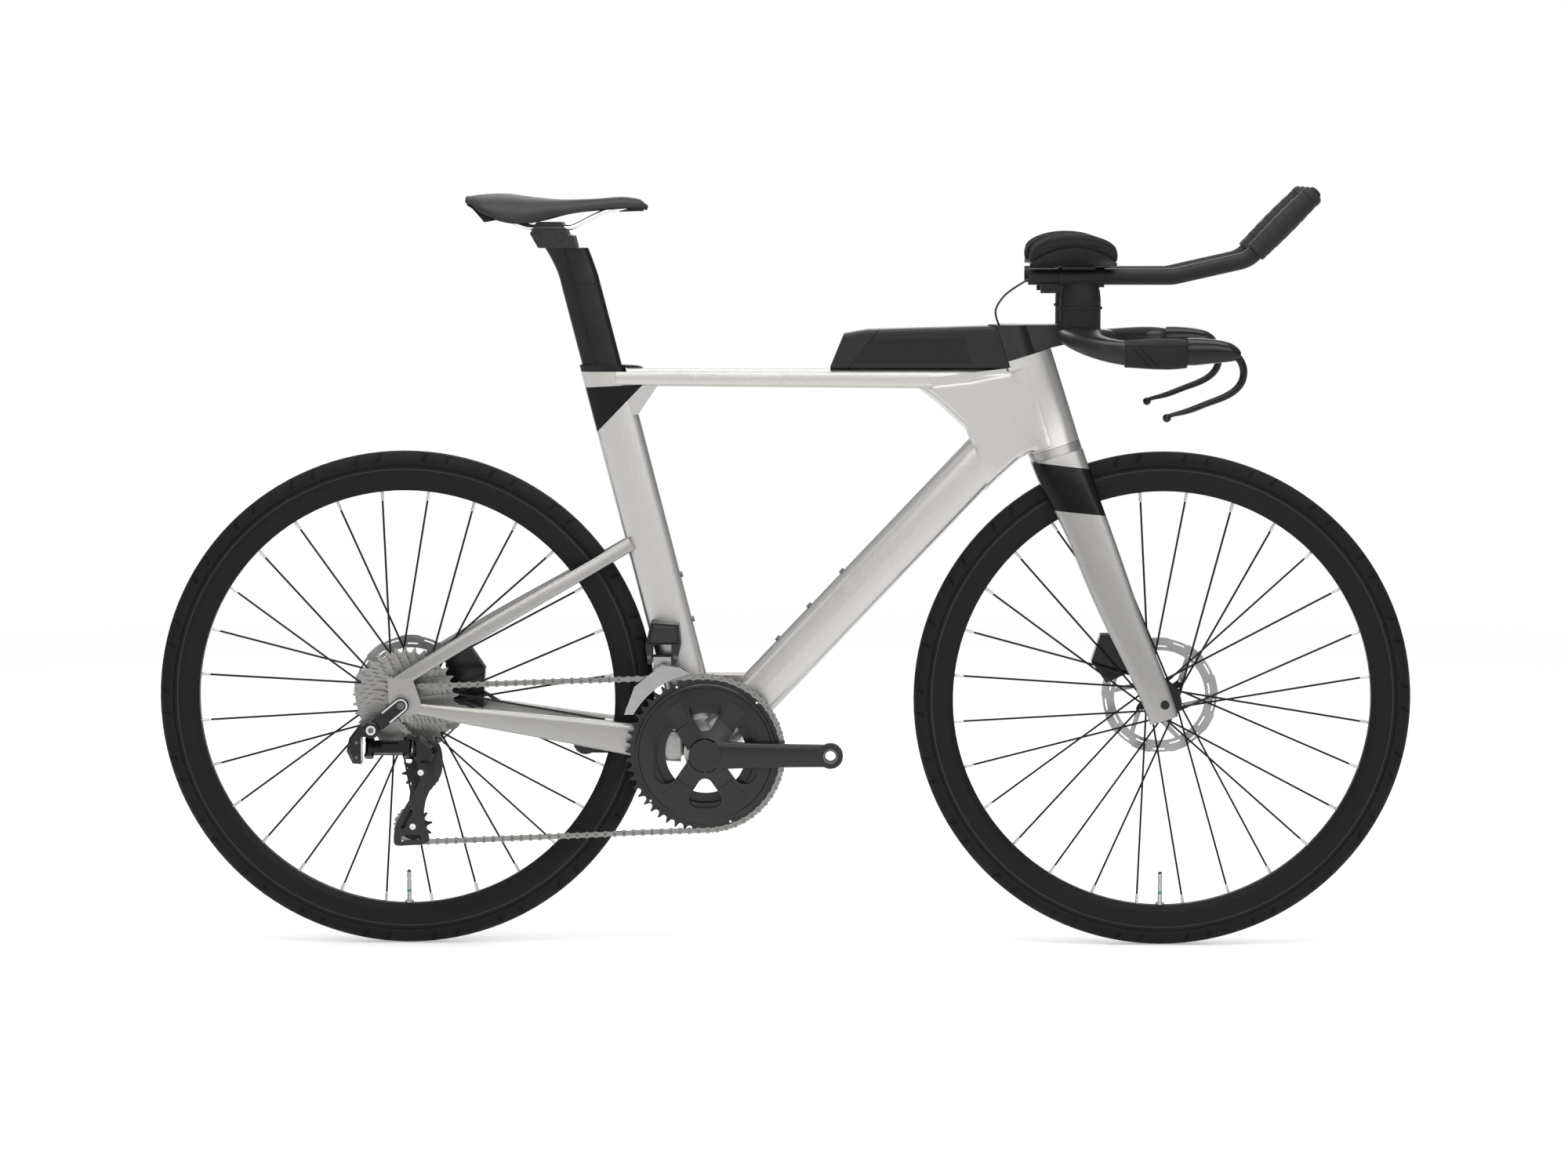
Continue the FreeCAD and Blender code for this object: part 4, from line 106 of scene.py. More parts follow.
class Desk:
    """Adds shader or geometry nodes to a tree and links what it is given."""

    def __init__(self, tree):
        self.tree = tree

    def node(self, kind, **settings):
        made = self.tree.nodes.new(kind)
        for name, value in settings.items():
            setattr(made, name, value)
        return made

    def feed(self, socket, value):
        if isinstance(value, bpy.types.NodeSocket):
            self.tree.links.new(value, socket)
        elif value is not None:
            socket.default_value = value

    def math(self, operation, first, second=None, third=None, clamp=False):
        made = self.node("ShaderNodeMath", operation=operation, use_clamp=clamp)
        for socket, value in zip(made.inputs, (first, second, third)):
            self.feed(socket, value)
        return made.outputs[0]

    def vector(self, operation, first, second=None):
        made = self.node("ShaderNodeVectorMath", operation=operation)
        self.feed(made.inputs[0], first)
        self.feed(made.inputs[1], second)
        return made.outputs["Value" if operation in ("DOT_PRODUCT", "LENGTH") else "Vector"]

    def place(self):
        return self.node("ShaderNodeTexCoord").outputs["Object"]

    def unrolled(self):
        return self.node("ShaderNodeTexCoord").outputs["UV"]

    def parts(self, vector):
        made = self.node("ShaderNodeSeparateXYZ")
        self.feed(made.inputs[0], vector)
        return made.outputs

    def joined(self, x, y, z):
        made = self.node("ShaderNodeCombineXYZ")
        for socket, value in zip(made.inputs, (x, y, z)):
            self.feed(socket, value)
        return made.outputs[0]

    def noise(self, vector, scale, detail=2.0):
        made = self.node("ShaderNodeTexNoise")
        self.feed(made.inputs["Vector"], vector)
        self.feed(made.inputs["Scale"], scale)
        made.inputs["Detail"].default_value = detail
        return made.outputs["Fac"]

    def cells(self, vector, scale):
        made = self.node("ShaderNodeTexVoronoi")
        self.feed(made.inputs["Vector"], vector)
        self.feed(made.inputs["Scale"], scale)
        return made.outputs["Color"]

    def span(self, value, low, high, to_low=0.0, to_high=1.0, smooth=False):
        made = self.node("ShaderNodeMapRange", clamp=True)
        made.interpolation_type = "SMOOTHSTEP" if smooth else "LINEAR"
        for socket, number in zip(made.inputs, (value, low, high, to_low, to_high)):
            self.feed(socket, number)
        return made.outputs[0]

    def band(self, value, low, high, edge):
        """1 between two values, falling off over an edge on each side."""
        rise = self.span(value, low - edge, low + edge)
        fall = self.span(value, high - edge, high + edge, 1.0, 0.0)
        return self.math("MULTIPLY", rise, fall)

    def tint(self, share, first, second):
        """Colour between two colours."""
        made = self.node("ShaderNodeMix", data_type="RGBA")
        self.feed(made.inputs[0], share)
        for socket, colour in ((made.inputs[6], first), (made.inputs[7], second)):
            self.feed(socket, (*colour, 1.0) if isinstance(colour, tuple) else colour)
        return made.outputs[2]

    def bump(self, height, depth, under=None):
        made = self.node("ShaderNodeBump")
        self.feed(made.inputs["Height"], height)
        made.inputs["Distance"].default_value = depth
        self.feed(made.inputs["Normal"], under)
        return made.outputs["Normal"]

    def group(self, tree, **values):
        made = self.node("ShaderNodeGroup")
        made.node_tree = tree
        for name, value in values.items():
            self.feed(made.inputs[name.replace("_", " ")], value)
        return made.outputs


def shader_group(name, inputs, outputs):
    """Empty shader node group with named sockets: its desk, entry sockets and leaving sockets."""
    tree = bpy.data.node_groups.new(name, "ShaderNodeTree")
    for label, value in inputs.items():
        kind = "NodeSocketVector" if isinstance(value, Vector) else "NodeSocketFloat"
        tree.interface.new_socket(label, in_out="INPUT", socket_type=kind).default_value = value
    for label in outputs:
        tree.interface.new_socket(label, in_out="OUTPUT", socket_type="NodeSocketFloat")
    desk = Desk(tree)
    return desk, desk.node("NodeGroupInput").outputs, desk.node("NodeGroupOutput").inputs


# Shader groups shared by the finishes

def make_surface_marks():
    """Fine grain and soft clouding of a moulded or painted surface."""
    desk, entry, leave = shader_group("surface marks", {"Grain size": 0.0005, "Cloud size": 0.05}, ["Grain", "Cloud"])
    place = desk.place()
    desk.feed(leave["Grain"], desk.noise(place, desk.math("DIVIDE", 1.0, entry["Grain size"]), 3.0))
    desk.feed(leave["Cloud"], desk.noise(place, desk.math("DIVIDE", 1.0, entry["Cloud size"]), 4.0))
    return desk.tree


def make_metal_flake():
    """Sparkle of metallic paint: each small cell has its own brightness."""
    desk, entry, leave = shader_group("metal flake", {"Flake size": 0.0004}, ["Sparkle"])
    split = desk.node("ShaderNodeSeparateColor")
    desk.feed(split.inputs[0], desk.cells(desk.place(), desk.math("DIVIDE", 1.0, entry["Flake size"])))
    desk.feed(leave["Sparkle"], split.outputs[0])
    return desk.tree


def make_round_axle():
    """Place round an axle: turn from 0 to 1 and reach from the axle."""
    desk, entry, leave = shader_group("round axle", {"Axle": Vector((0, 0, 0))}, ["Turn", "Reach"])
    x, _, z = desk.parts(desk.vector("SUBTRACT", desk.place(), entry["Axle"]))
    desk.feed(leave["Turn"], desk.math("MULTIPLY_ADD", desk.math("ARCTAN2", z, x), 0.5 / math.pi, 0.5))
    square = desk.math("MULTIPLY_ADD", x, x, desk.math("MULTIPLY", z, z))
    desk.feed(leave["Reach"], desk.math("SQRT", square))
    return desk.tree


def make_parting_line():
    """Where a plane meets the surface: 1 on its narrow line, and 1 beyond it."""
    sizes = {"Facing": Vector((1, 0, 0)), "Offset": 0.0, "Width": 0.001}
    desk, entry, leave = shader_group("parting line", sizes, ["Line", "Beyond"])
    height = desk.math("SUBTRACT", desk.vector("DOT_PRODUCT", desk.place(), entry["Facing"]), entry["Offset"])
    near = desk.math("DIVIDE", desk.math("ABSOLUTE", height), entry["Width"])
    desk.feed(leave["Line"], desk.span(near, 0.5, 1.0, 1.0, 0.0))
    desk.feed(leave["Beyond"], desk.math("GREATER_THAN", height, 0.0))
    return desk.tree


SURFACE_MARKS = make_surface_marks()
METAL_FLAKE = make_metal_flake()
ROUND_AXLE = make_round_axle()
PARTING_LINE = make_parting_line()


def side_plane(start, end):
    """Facing and offset of the plane through a line of the side view, from one (x, z) to another."""
    run = Vector((end[0] - start[0], 0, end[1] - start[1])).normalized()
    facing = Vector((-run.z, 0, run.x))
    return {"Facing": facing, "Offset": facing.dot(Vector((start[0], 0, start[1])))}


def beyond(desk, start, end):
    """1 on the left of a line of the side view."""
    return desk.group(PARTING_LINE, **side_plane(start, end))["Beyond"]


def inside(desk, corners):
    """1 inside an outline of the side view whose corners go anticlockwise."""
    mask = None
    for start, end in zip(corners, corners[1:] + corners[:1]):
        side = beyond(desk, start, end)
        mask = side if mask is None else desk.math("MULTIPLY", mask, side)
    return mask


def line_mask(desk, start, end, width):
    """1 on a narrow line of the side view through two points."""
    return desk.group(PARTING_LINE, Width=width, **side_plane(start, end))["Line"]


# Finishes

def finish_start(name, metallic=0.0, specular=0.5, coat=0.0, coat_roughness=0.1, sheen=0.0):
    """New material: the material, its desk and the Principled sockets with the constant values set."""
    material = bpy.data.materials.new(name)
    material.use_nodes = True
    sockets = material.node_tree.nodes["Principled BSDF"].inputs
    sockets["Metallic"].default_value = metallic
    sockets["Specular IOR Level"].default_value = specular
    sockets["Coat Weight"].default_value = coat
    sockets["Coat Roughness"].default_value = coat_roughness
    sockets["Sheen Weight"].default_value = sheen
    return material, Desk(material.node_tree), sockets


def mottle(desk, dark, light, rough, grain=0.0005, cloud=0.05):
    """Colour, roughness and grain height of a moulded surface from the shared marks."""
    marks = desk.group(SURFACE_MARKS, Grain_size=grain, Cloud_size=cloud)
    share = desk.math("MULTIPLY_ADD", marks["Grain"], 0.5, desk.math("MULTIPLY", marks["Cloud"], 0.5))
    return desk.tint(share, dark, light), desk.span(marks["Cloud"], 0.3, 0.7, *rough), marks["Grain"]


def paint(desk, sockets, colour, roughness, normal):
    """Feed the three varying sockets of the shader."""
    desk.feed(sockets["Base Color"], colour)
    desk.feed(sockets["Roughness"], roughness)
    desk.feed(sockets["Normal"], normal)


# Painted shade along moulded grooves, panel edges and seams, and in the arm pads' stitched channels.
LINE_SHADE = (0.004, 0.004, 0.004)
LINE_DEPTH = 0.0006


def moulded(name, dark, light, rough, grain=0.0005, depth=0.00002, cloud=0.05, lines=None, **constants):
    """Moulded or anodised finish, with parting lines where the piece has them, darkened by painted shade."""
    material, desk, sockets = finish_start(name, **constants)
    colour, roughness, height = mottle(desk, dark, light, rough, grain, cloud)
    normal = desk.bump(height, depth)
    if lines:
        mask = lines(desk)
        # Painted shade darkens the lines, which are also dented.
        colour = desk.tint(mask, colour, LINE_SHADE)
        normal = desk.bump(desk.math("MULTIPLY", mask, -1.0), LINE_DEPTH, normal)
    paint(desk, sockets, colour, roughness, normal)
    return material


# The frame's silver paint; the darker pair below is the same silver with painted shade, for the rear stays, the
# derailleur hanger and the fork.
SILVER = (0.47, 0.459, 0.432)
SILVER_BRIGHT = (0.62, 0.607, 0.577)
SHADED_SILVER = (0.305, 0.297, 0.28)
SHADED_SILVER_BRIGHT = (0.425, 0.416, 0.395)
BLOCK_BLACK = (0.004, 0.004, 0.0045)
SILVER_ROUGH = (0.28, 0.40)
BLOCK_SMOOTHER = -0.16


def silver_paint(name, dark, light, black_corners=None):
    """Satin metallic silver paint, with a black colour block where corners are given."""
    material, desk, sockets = finish_start(name, metallic=0.85, coat=0.3, coat_roughness=0.25)
    sparkle = desk.group(METAL_FLAKE, Flake_size=0.0005)["Sparkle"]
    marks = desk.group(SURFACE_MARKS, Grain_size=0.0012, Cloud_size=0.2)
    share = desk.math("MULTIPLY_ADD", sparkle, 0.7, desk.math("MULTIPLY", marks["Cloud"], 0.3))
    colour = desk.tint(share, dark, light)
    roughness = desk.span(sparkle, 0.0, 1.0, *SILVER_ROUGH)
    if black_corners:
        mask = inside(desk, black_corners)
        colour = desk.tint(mask, colour, BLOCK_BLACK)
        roughness = desk.math("MULTIPLY_ADD", mask, BLOCK_SMOOTHER, roughness)
    paint(desk, sockets, colour, roughness, desk.bump(marks["Grain"], 0.000012))
    return material


SEAT_CORNER = [(-0.2722, 0.7645), (-0.2572, 0.7005), (-0.1909, 0.7690)]
FORK_BAND = [(0.3633, 0.6005), (0.4404, 0.5930), (0.4158, 0.6561), (0.3323, 0.6657)]


def wheel_place(desk, axle):
    """Turn round a wheel's axle and reach from it."""
    return desk.group(ROUND_AXLE, Axle=axle)


# Bands of a wheel, as reaches from its axle.
TYRE_SHOULDER = (0.3255, 0.3365)
TYRE_BEAD = (0.3185, 0.3196)
RIM_EDGE = (0.3135, 0.3146)
NIPPLE_FOOT = (0.2722, 0.2726)
VALVE_CAP = (0.2415, 0.2420)
VALVE_BAND = (0.2660, 0.2695)
BAND_EDGE = 0.0003
TYRE_GROOVES = 66.0
TYRE_GROOVE_GROUPS = 22.0
GROOVE_SLANT = 14.0
GROOVE_DEPTH = 0.0010
# Painted shade in the tyre's grooves and along its bead line.
GROOVE_SHADE = (0.003, 0.003, 0.003)
# Fine marks of turned and ground metal, as a scale along the reach, and the step of the valve's thread.
TURNING_MARKS = 1500.0
GRINDING_MARKS = 2600.0
THREAD_STEP = 0.0007
THREAD_DEPTH = 0.00012
VALVE_BAND_COLOUR = (0.03, 0.36, 0.36)
VALVE_CAP_BLACK = (0.01, 0.01, 0.011)


def tyre_rubber(name, axle):
    """Matte black rubber: slanted shoulder grooves, a smooth side wall and a bead line, with painted shade darkening
    the grooves and the bead line.
    """
    material, desk, sockets = finish_start(name, specular=0.16)
    colour, roughness, height = mottle(desk, (0.007, 0.007, 0.0075), (0.014, 0.014, 0.0145), (0.6, 0.76), 0.0006)
    wheel = wheel_place(desk, axle)
    shoulder = desk.band(wheel["Reach"], *TYRE_SHOULDER, 2 * BAND_EDGE)
    slant = desk.math("MULTIPLY", wheel["Turn"], TYRE_GROOVES)
    slant = desk.math("MULTIPLY_ADD", wheel["Reach"], GROOVE_SLANT, slant)
    groove = desk.band(desk.math("FRACT", slant), 0.18, 0.34, 0.05)
    group = desk.math("FRACT", desk.math("MULTIPLY_ADD", wheel["Turn"], TYRE_GROOVE_GROUPS, 0.3))
    groove = desk.math("MULTIPLY", groove, desk.band(group, 0.1, 0.72, 0.02))
    bead = desk.band(wheel["Reach"], *TYRE_BEAD, BAND_EDGE)
    cut = desk.math("MAXIMUM", desk.math("MULTIPLY", groove, shoulder), bead)
    # Painted shade: the grooves and the bead line are darkened.
    colour = desk.tint(cut, colour, GROOVE_SHADE)
    normal = desk.bump(desk.math("MULTIPLY", cut, -1.0), GROOVE_DEPTH, desk.bump(height, 0.00003))
    paint(desk, sockets, colour, roughness, normal)
    return material


def rim_black(name, axle):
    """Satin black rim with fine turning marks and a pale line at its outer edge."""
    material, desk, sockets = finish_start(name, specular=0.18)
    colour, roughness, height = mottle(desk, (0.004, 0.004, 0.0045), (0.009, 0.009, 0.0095), (0.4, 0.52), 0.0007)
    wheel = wheel_place(desk, axle)
    turning = desk.noise(desk.joined(desk.math("MULTIPLY", wheel["Reach"], TURNING_MARKS), 0.0, 0.0), 1.0)
    edge = desk.band(wheel["Reach"], *RIM_EDGE, BAND_EDGE)
    colour = desk.tint(edge, colour, (0.05, 0.05, 0.052))
    normal = desk.bump(turning, 0.00001, desk.bump(height, 0.00002))
    paint(desk, sockets, colour, roughness, normal)
    return material


def spoke_black(name, axle):
    """Black spokes whose nipples at the rim are bare metal."""
    material, desk, sockets = finish_start(name, specular=0.2)
    colour, roughness, height = mottle(desk, (0.004, 0.004, 0.0045), (0.010, 0.010, 0.011), (0.32, 0.44), 0.0004)
    wheel = wheel_place(desk, axle)
    bare = desk.span(wheel["Reach"], *NIPPLE_FOOT)
    colour = desk.tint(bare, colour, (0.62, 0.62, 0.61))
    desk.feed(sockets["Metallic"], desk.math("MULTIPLY", bare, 0.95))
    paint(desk, sockets, colour, roughness, desk.bump(height, 0.00001))
    return material


def ground_steel(name, axle, dark, light, rough):
    """Bare metal with grinding marks round an axle."""
    material, desk, sockets = finish_start(name, metallic=1.0)
    colour, roughness, height = mottle(desk, dark, light, rough, 0.0006, 0.02)
    wheel = wheel_place(desk, axle)
    along = desk.math("MULTIPLY", wheel["Reach"], GRINDING_MARKS)
    rings = desk.noise(desk.joined(along, wheel["Turn"], 0.0), 1.0, 3.0)
    colour = desk.tint(desk.math("MULTIPLY", rings, 0.35), colour, (0.2, 0.2, 0.2))
    normal = desk.bump(rings, 0.00002, desk.bump(height, 0.00001))
    paint(desk, sockets, colour, roughness, normal)
    return material


def bare_metal(name, dark, light, rough, grain=0.0004):
    """Plated or polished metal with light handling marks."""
    return moulded(name, dark, light, rough, grain=grain, depth=0.000008, cloud=0.012, metallic=1.0)


def valve_metal(name, axle):
    """Valve stem: nickel thread, a coloured band half way and a black cap."""
    material, desk, sockets = finish_start(name)
    colour, roughness, height = mottle(desk, (0.55, 0.55, 0.53), (0.7, 0.7, 0.68), (0.25, 0.35))
    wheel = wheel_place(desk, axle)
    cap = desk.span(wheel["Reach"], *VALVE_CAP, 1.0, 0.0)
    band = desk.band(wheel["Reach"], *VALVE_BAND, BAND_EDGE)
    thread = desk.math("SINE", desk.math("MULTIPLY", wheel["Reach"], 2 * math.pi / THREAD_STEP))
    colour = desk.tint(band, colour, VALVE_BAND_COLOUR)
    colour = desk.tint(cap, colour, VALVE_CAP_BLACK)
    plain = desk.math("MAXIMUM", band, cap)
    desk.feed(sockets["Metallic"], desk.math("MULTIPLY_ADD", plain, -1.0, 1.0))
    paint(desk, sockets, colour, roughness, desk.bump(thread, THREAD_DEPTH, desk.bump(height, 0.00001)))
    return material


BOX_LINES = [((0.0935, 0.8000), (0.1235, 0.8370)), ((0.2930, 0.8490), (0.3090, 0.7930))]
BOX_LINE_WIDTH = 0.0009
POST_SIDE = ((-0.2905, 0.930), (-0.2385, 0.735))
POST_TOP = ((-0.3010, 0.905), (-0.2290, 0.905))
POST_LINE_WIDTH = 0.0010
GRIP_LEVEL = ((0.45, 0.8290), (0.53, 0.8290))
GRIP_SLANTS = [((0.4580, 0.8290), (0.4830, 0.8020)), ((0.4680, 0.8290), (0.4930, 0.8020))]
GRIP_LINE_WIDTH = 0.0011


def widest(desk, masks):
    """Largest of several masks."""
    mask = masks[0]
    for other in masks[1:]:
        mask = desk.math("MAXIMUM", mask, other)
    return mask


def box_lines(desk):
    """Slanted moulding edge at the box's tail and the seam by its front."""
    return widest(desk, [line_mask(desk, start, end, BOX_LINE_WIDTH) for start, end in BOX_LINES])


def post_panel_lines(desk):
    """Edges of the recessed panel down the seat post's side."""
    side = line_mask(desk, *POST_SIDE, POST_LINE_WIDTH)
    top = desk.math("MULTIPLY", line_mask(desk, *POST_TOP, POST_LINE_WIDTH), beyond(desk, *POST_SIDE))
    return widest(desk, [side, top])


def grip_lines(desk):
    """Moulded panel lines along a base bar grip: one level, and slanted ones under it."""
    slanted = widest(desk, [line_mask(desk, start, end, GRIP_LINE_WIDTH) for start, end in GRIP_SLANTS])
    under = beyond(desk, *reversed(GRIP_LEVEL))
    return widest(desk, [line_mask(desk, *GRIP_LEVEL, GRIP_LINE_WIDTH), desk.math("MULTIPLY", slanted, under)])


RIB_STEP = 0.0034
RIB_SLANT = 0.55
RIBS_ALONG = (-0.424, -0.375)
RIBS_ACROSS = (0.028, 0.060)


def saddle_hide(name):
    """Dark grey synthetic cover: fine pebble grain and short raised ribs beside the tail, lightened by a painted
    highlight.
    """
    material, desk, sockets = finish_start(name, specular=0.3, sheen=0.04)
    colour, roughness, height = mottle(desk, (0.017, 0.017, 0.0185), (0.030, 0.030, 0.032), (0.42, 0.54), 0.0007)
    x, y, z = desk.parts(desk.place())
    place = desk.math("MULTIPLY_ADD", z, RIB_SLANT, x)
    rib = desk.band(desk.math("FRACT", desk.math("DIVIDE", place, RIB_STEP)), 0.25, 0.6, 0.08)
    out = desk.band(desk.math("ABSOLUTE", y), *RIBS_ACROSS, 0.003)
    field = desk.math("MULTIPLY", desk.band(x, *RIBS_ALONG, 0.002), out)
    rib = desk.math("MULTIPLY", rib, field)
    # Painted highlight: the raised ribs are lighter.
    colour = desk.tint(desk.math("MULTIPLY", rib, 0.6), colour, (0.055, 0.055, 0.058))
    normal = desk.bump(rib, 0.0005, desk.bump(height, 0.00006))
    paint(desk, sockets, colour, roughness, normal)
    return material


KNIT_STEP = 0.0012
CHANNEL_STEP = 0.012
DIMPLE_STEP = 0.0014


def weave(desk, step):
    """Chequer of rises and dips at a step along the unrolled surface, and the place across it."""
    along, across, _ = desk.parts(desk.unrolled())
    rows = desk.math("SINE", desk.math("MULTIPLY", along, 2 * math.pi / step))
    columns = desk.math("SINE", desk.math("MULTIPLY", across, 2 * math.pi / step))
    return desk.math("MULTIPLY", rows, columns), across


def pad_fabric(name):
    """Black knitted cover of the arm pads with stitched channels across it, darkened by painted shade."""
    material, desk, sockets = finish_start(name, specular=0.15, sheen=0.06)
    colour, roughness, height = mottle(desk, (0.024, 0.024, 0.025), (0.05, 0.05, 0.052), (0.7, 0.86), 0.0009)
    knit, across = weave(desk, KNIT_STEP)
    channel = desk.math("FRACT", desk.math("DIVIDE", across, CHANNEL_STEP))
    seam = desk.band(channel, 0.46, 0.54, 0.03)
    # Painted shade in the stitched channels.
    colour = desk.tint(seam, colour, LINE_SHADE)
    normal = desk.bump(desk.math("MULTIPLY_ADD", seam, -4.0, knit), 0.00018, desk.bump(height, 0.00005))
    paint(desk, sockets, colour, roughness, normal)
    return material


def tape_weave(name):
    """Black bar tape: small pressed dimples and a matte skin."""
    material, desk, sockets = finish_start(name, specular=0.18, sheen=0.04)
    colour, roughness, height = mottle(desk, (0.018, 0.018, 0.0185), (0.036, 0.036, 0.037), (0.45, 0.62), 0.0008)
    dimple = desk.span(weave(desk, DIMPLE_STEP)[0], 0.35, 0.9)
    normal = desk.bump(desk.math("MULTIPLY", dimple, -1.0), 0.00005, desk.bump(height, 0.00004))
    paint(desk, sockets, colour, roughness, normal)
    return material


SATIN_BLACK = moulded("satin_black_carbon", (0.010, 0.010, 0.0105), (0.020, 0.020, 0.021), (0.30, 0.42),
                      specular=0.4)
MATTE_BLACK = moulded("matte_black_alloy", (0.009, 0.009, 0.0095), (0.019, 0.019, 0.020), (0.44, 0.58), grain=0.0004,
                      depth=0.00004, specular=0.25)
GLOSS_BLACK = moulded("gloss_black_lever", (0.003, 0.003, 0.0035), (0.007, 0.007, 0.0075), (0.12, 0.22), grain=0.001,
                      depth=0.000006, specular=0.35)
CRANK_BLACK = moulded("crank_black", (0.008, 0.008, 0.0085), (0.016, 0.016, 0.0165), (0.24, 0.36), grain=0.0004,
                      specular=0.4)
POST_BLACK = moulded("post_black", (0.004, 0.004, 0.0045), (0.009, 0.009, 0.0095), (0.24, 0.36),
                     lines=post_panel_lines, specular=0.32)
BOX_GREY = moulded("box_grey", (0.010, 0.0103, 0.011), (0.017, 0.0173, 0.0182), (0.34, 0.48), lines=box_lines,
                   specular=0.3)
GRIP_RUBBER = moulded("grip_rubber", (0.009, 0.009, 0.0095), (0.017, 0.017, 0.018), (0.5, 0.65), grain=0.0008,
                      depth=0.00008, lines=grip_lines, specular=0.22)
SHELL_BLACK = moulded("saddle_shell_black", (0.004, 0.004, 0.0045), (0.009, 0.009, 0.0095), (0.25, 0.4), specular=0.3)
# Rear stays, derailleur hanger and fork get the darker silver as painted shade; the black block and band are real
# two-tone paint.
SHADED_FRAME_SILVER = silver_paint("frame_silver", SHADED_SILVER, SHADED_SILVER_BRIGHT)
MAIN_SILVER = silver_paint("main_frame_silver", SILVER, SILVER_BRIGHT, SEAT_CORNER)
SHADED_FORK_SILVER = silver_paint("fork_silver", SHADED_SILVER, SHADED_SILVER_BRIGHT, FORK_BAND)
CHROME = bare_metal("rail_chrome", (0.66, 0.66, 0.65), (0.78, 0.78, 0.77), (0.08, 0.16))
POLISHED = bare_metal("polished_alloy", (0.58, 0.58, 0.58), (0.74, 0.74, 0.73), (0.14, 0.26))
CAGE_POLISHED = bare_metal("cage_polished", (0.24, 0.24, 0.245), (0.50, 0.50, 0.50), (0.16, 0.30))
BOLT_STEEL = bare_metal("bolt_steel", (0.10, 0.10, 0.10), (0.2, 0.2, 0.2), (0.25, 0.4))
CHAIN_NICKEL = moulded("chain_nickel", (0.17, 0.165, 0.155), (0.36, 0.35, 0.33), (0.24, 0.40), grain=0.0008,
                       depth=0.00001, cloud=0.004, metallic=1.0)
CASSETTE_NICKEL = ground_steel("cassette_nickel", REAR_AXLE, (0.28, 0.27, 0.25), (0.44, 0.43, 0.40), (0.26, 0.42))
WIRE_BLACK = moulded("wire_black", (0.010, 0.010, 0.011), (0.022, 0.022, 0.023), (0.4, 0.55), grain=0.0003,
                     depth=0.00003)
SMOKY_WINDOW = moulded("smoky_window", (0.004, 0.004, 0.0045), (0.008, 0.008, 0.0085), (0.14, 0.22), grain=0.002,
                       depth=0.00001, cloud=0.03, specular=0.4)

NODE_FINISHES = {
    "main_frame": MAIN_SILVER,
    "rear_stays": SHADED_FRAME_SILVER,
    "fork": SHADED_FORK_SILVER,
    "seat_clamp": GLOSS_BLACK,
    "derailleur_hanger": SHADED_FRAME_SILVER,
    "headset_bearings": BOLT_STEEL,
    "bottom_bracket": MATTE_BLACK,
    "bottle_cage_bolts": BOLT_STEEL,
    "storage_box": BOX_GREY,
    "storage_box_windows": SMOKY_WINDOW,
    "front_derailleur_body": SATIN_BLACK,
    "front_derailleur_cage": CAGE_POLISHED,
    "rear_brake_caliper": GLOSS_BLACK,
    "front_brake_caliper": GLOSS_BLACK,
    "rear_axle": MATTE_BLACK,
    "front_axle": MATTE_BLACK,
    "rear_derailleur_bracket": GLOSS_BLACK,
    "rear_derailleur_links": GLOSS_BLACK,
    "rear_derailleur_knuckle": GLOSS_BLACK,
    "rear_derailleur_cage": CRANK_BLACK,
    "guide_pulley": MATTE_BLACK,
    "tension_pulley": MATTE_BLACK,
    "chain": CHAIN_NICKEL,
    "cassette": CASSETTE_NICKEL,
    "seat_post": POST_BLACK,
    "saddle_clamp": SATIN_BLACK,
    "saddle_rails": CHROME,
    "saddle_shell": SHELL_BLACK,
    "base_bar": SATIN_BLACK,
    "stem_cover": SATIN_BLACK,
    "armrest_spacers": MATTE_BLACK,
    "armrest_brackets": MATTE_BLACK,
    "aero_extensions": MATTE_BLACK,
    "arm_cups": MATTE_BLACK,
    "base_bar_grips": GRIP_RUBBER,
    "lever_housings": GLOSS_BLACK,
    "brake_lever_left": GLOSS_BLACK,
    "brake_lever_right": GLOSS_BLACK,
    "shift_button_left": MATTE_BLACK,
    "shift_button_right": MATTE_BLACK,
    "right_crank_arm": CRANK_BLACK,
    "left_crank_arm": CRANK_BLACK,
    "outer_chainring": CRANK_BLACK,
    "inner_chainring": CRANK_BLACK,
}
for wheel_name, axle in WHEELS:
    NODE_FINISHES[f"{wheel_name}_tyre"] = tyre_rubber(f"{wheel_name}_tyre_rubber", axle)
    NODE_FINISHES[f"{wheel_name}_rim"] = rim_black(f"{wheel_name}_rim_black", axle)
    NODE_FINISHES[f"{wheel_name}_spokes"] = spoke_black(f"{wheel_name}_spoke_black", axle)
    NODE_FINISHES[f"{wheel_name}_hub"] = MATTE_BLACK
    NODE_FINISHES[f"{wheel_name}_rotor"] = ground_steel(f"{wheel_name}_rotor_steel", axle, (0.34, 0.34, 0.335),
                                                        (0.46, 0.46, 0.45), (0.3, 0.45))
    NODE_FINISHES[f"{wheel_name}_valve"] = valve_metal(f"{wheel_name}_valve_metal", axle)


def dress(node, finish):
    """Give a CAD node its finish."""
    nodes[node].data.materials.clear()
    nodes[node].data.materials.append(finish)


for node_name, finish in NODE_FINISHES.items():
    dress(node_name, finish)


# Mesh helpers

def built(name, mesh_maker):
    """New object whose mesh a maker fills, its faces turned outwards."""
    mesh = bpy.data.meshes.new(name)
    sheet = bmesh.new()
    mesh_maker(sheet)
    bmesh.ops.recalc_face_normals(sheet, faces=sheet.faces)
    sheet.to_mesh(mesh)
    sheet.free()
    return placed(name, mesh)


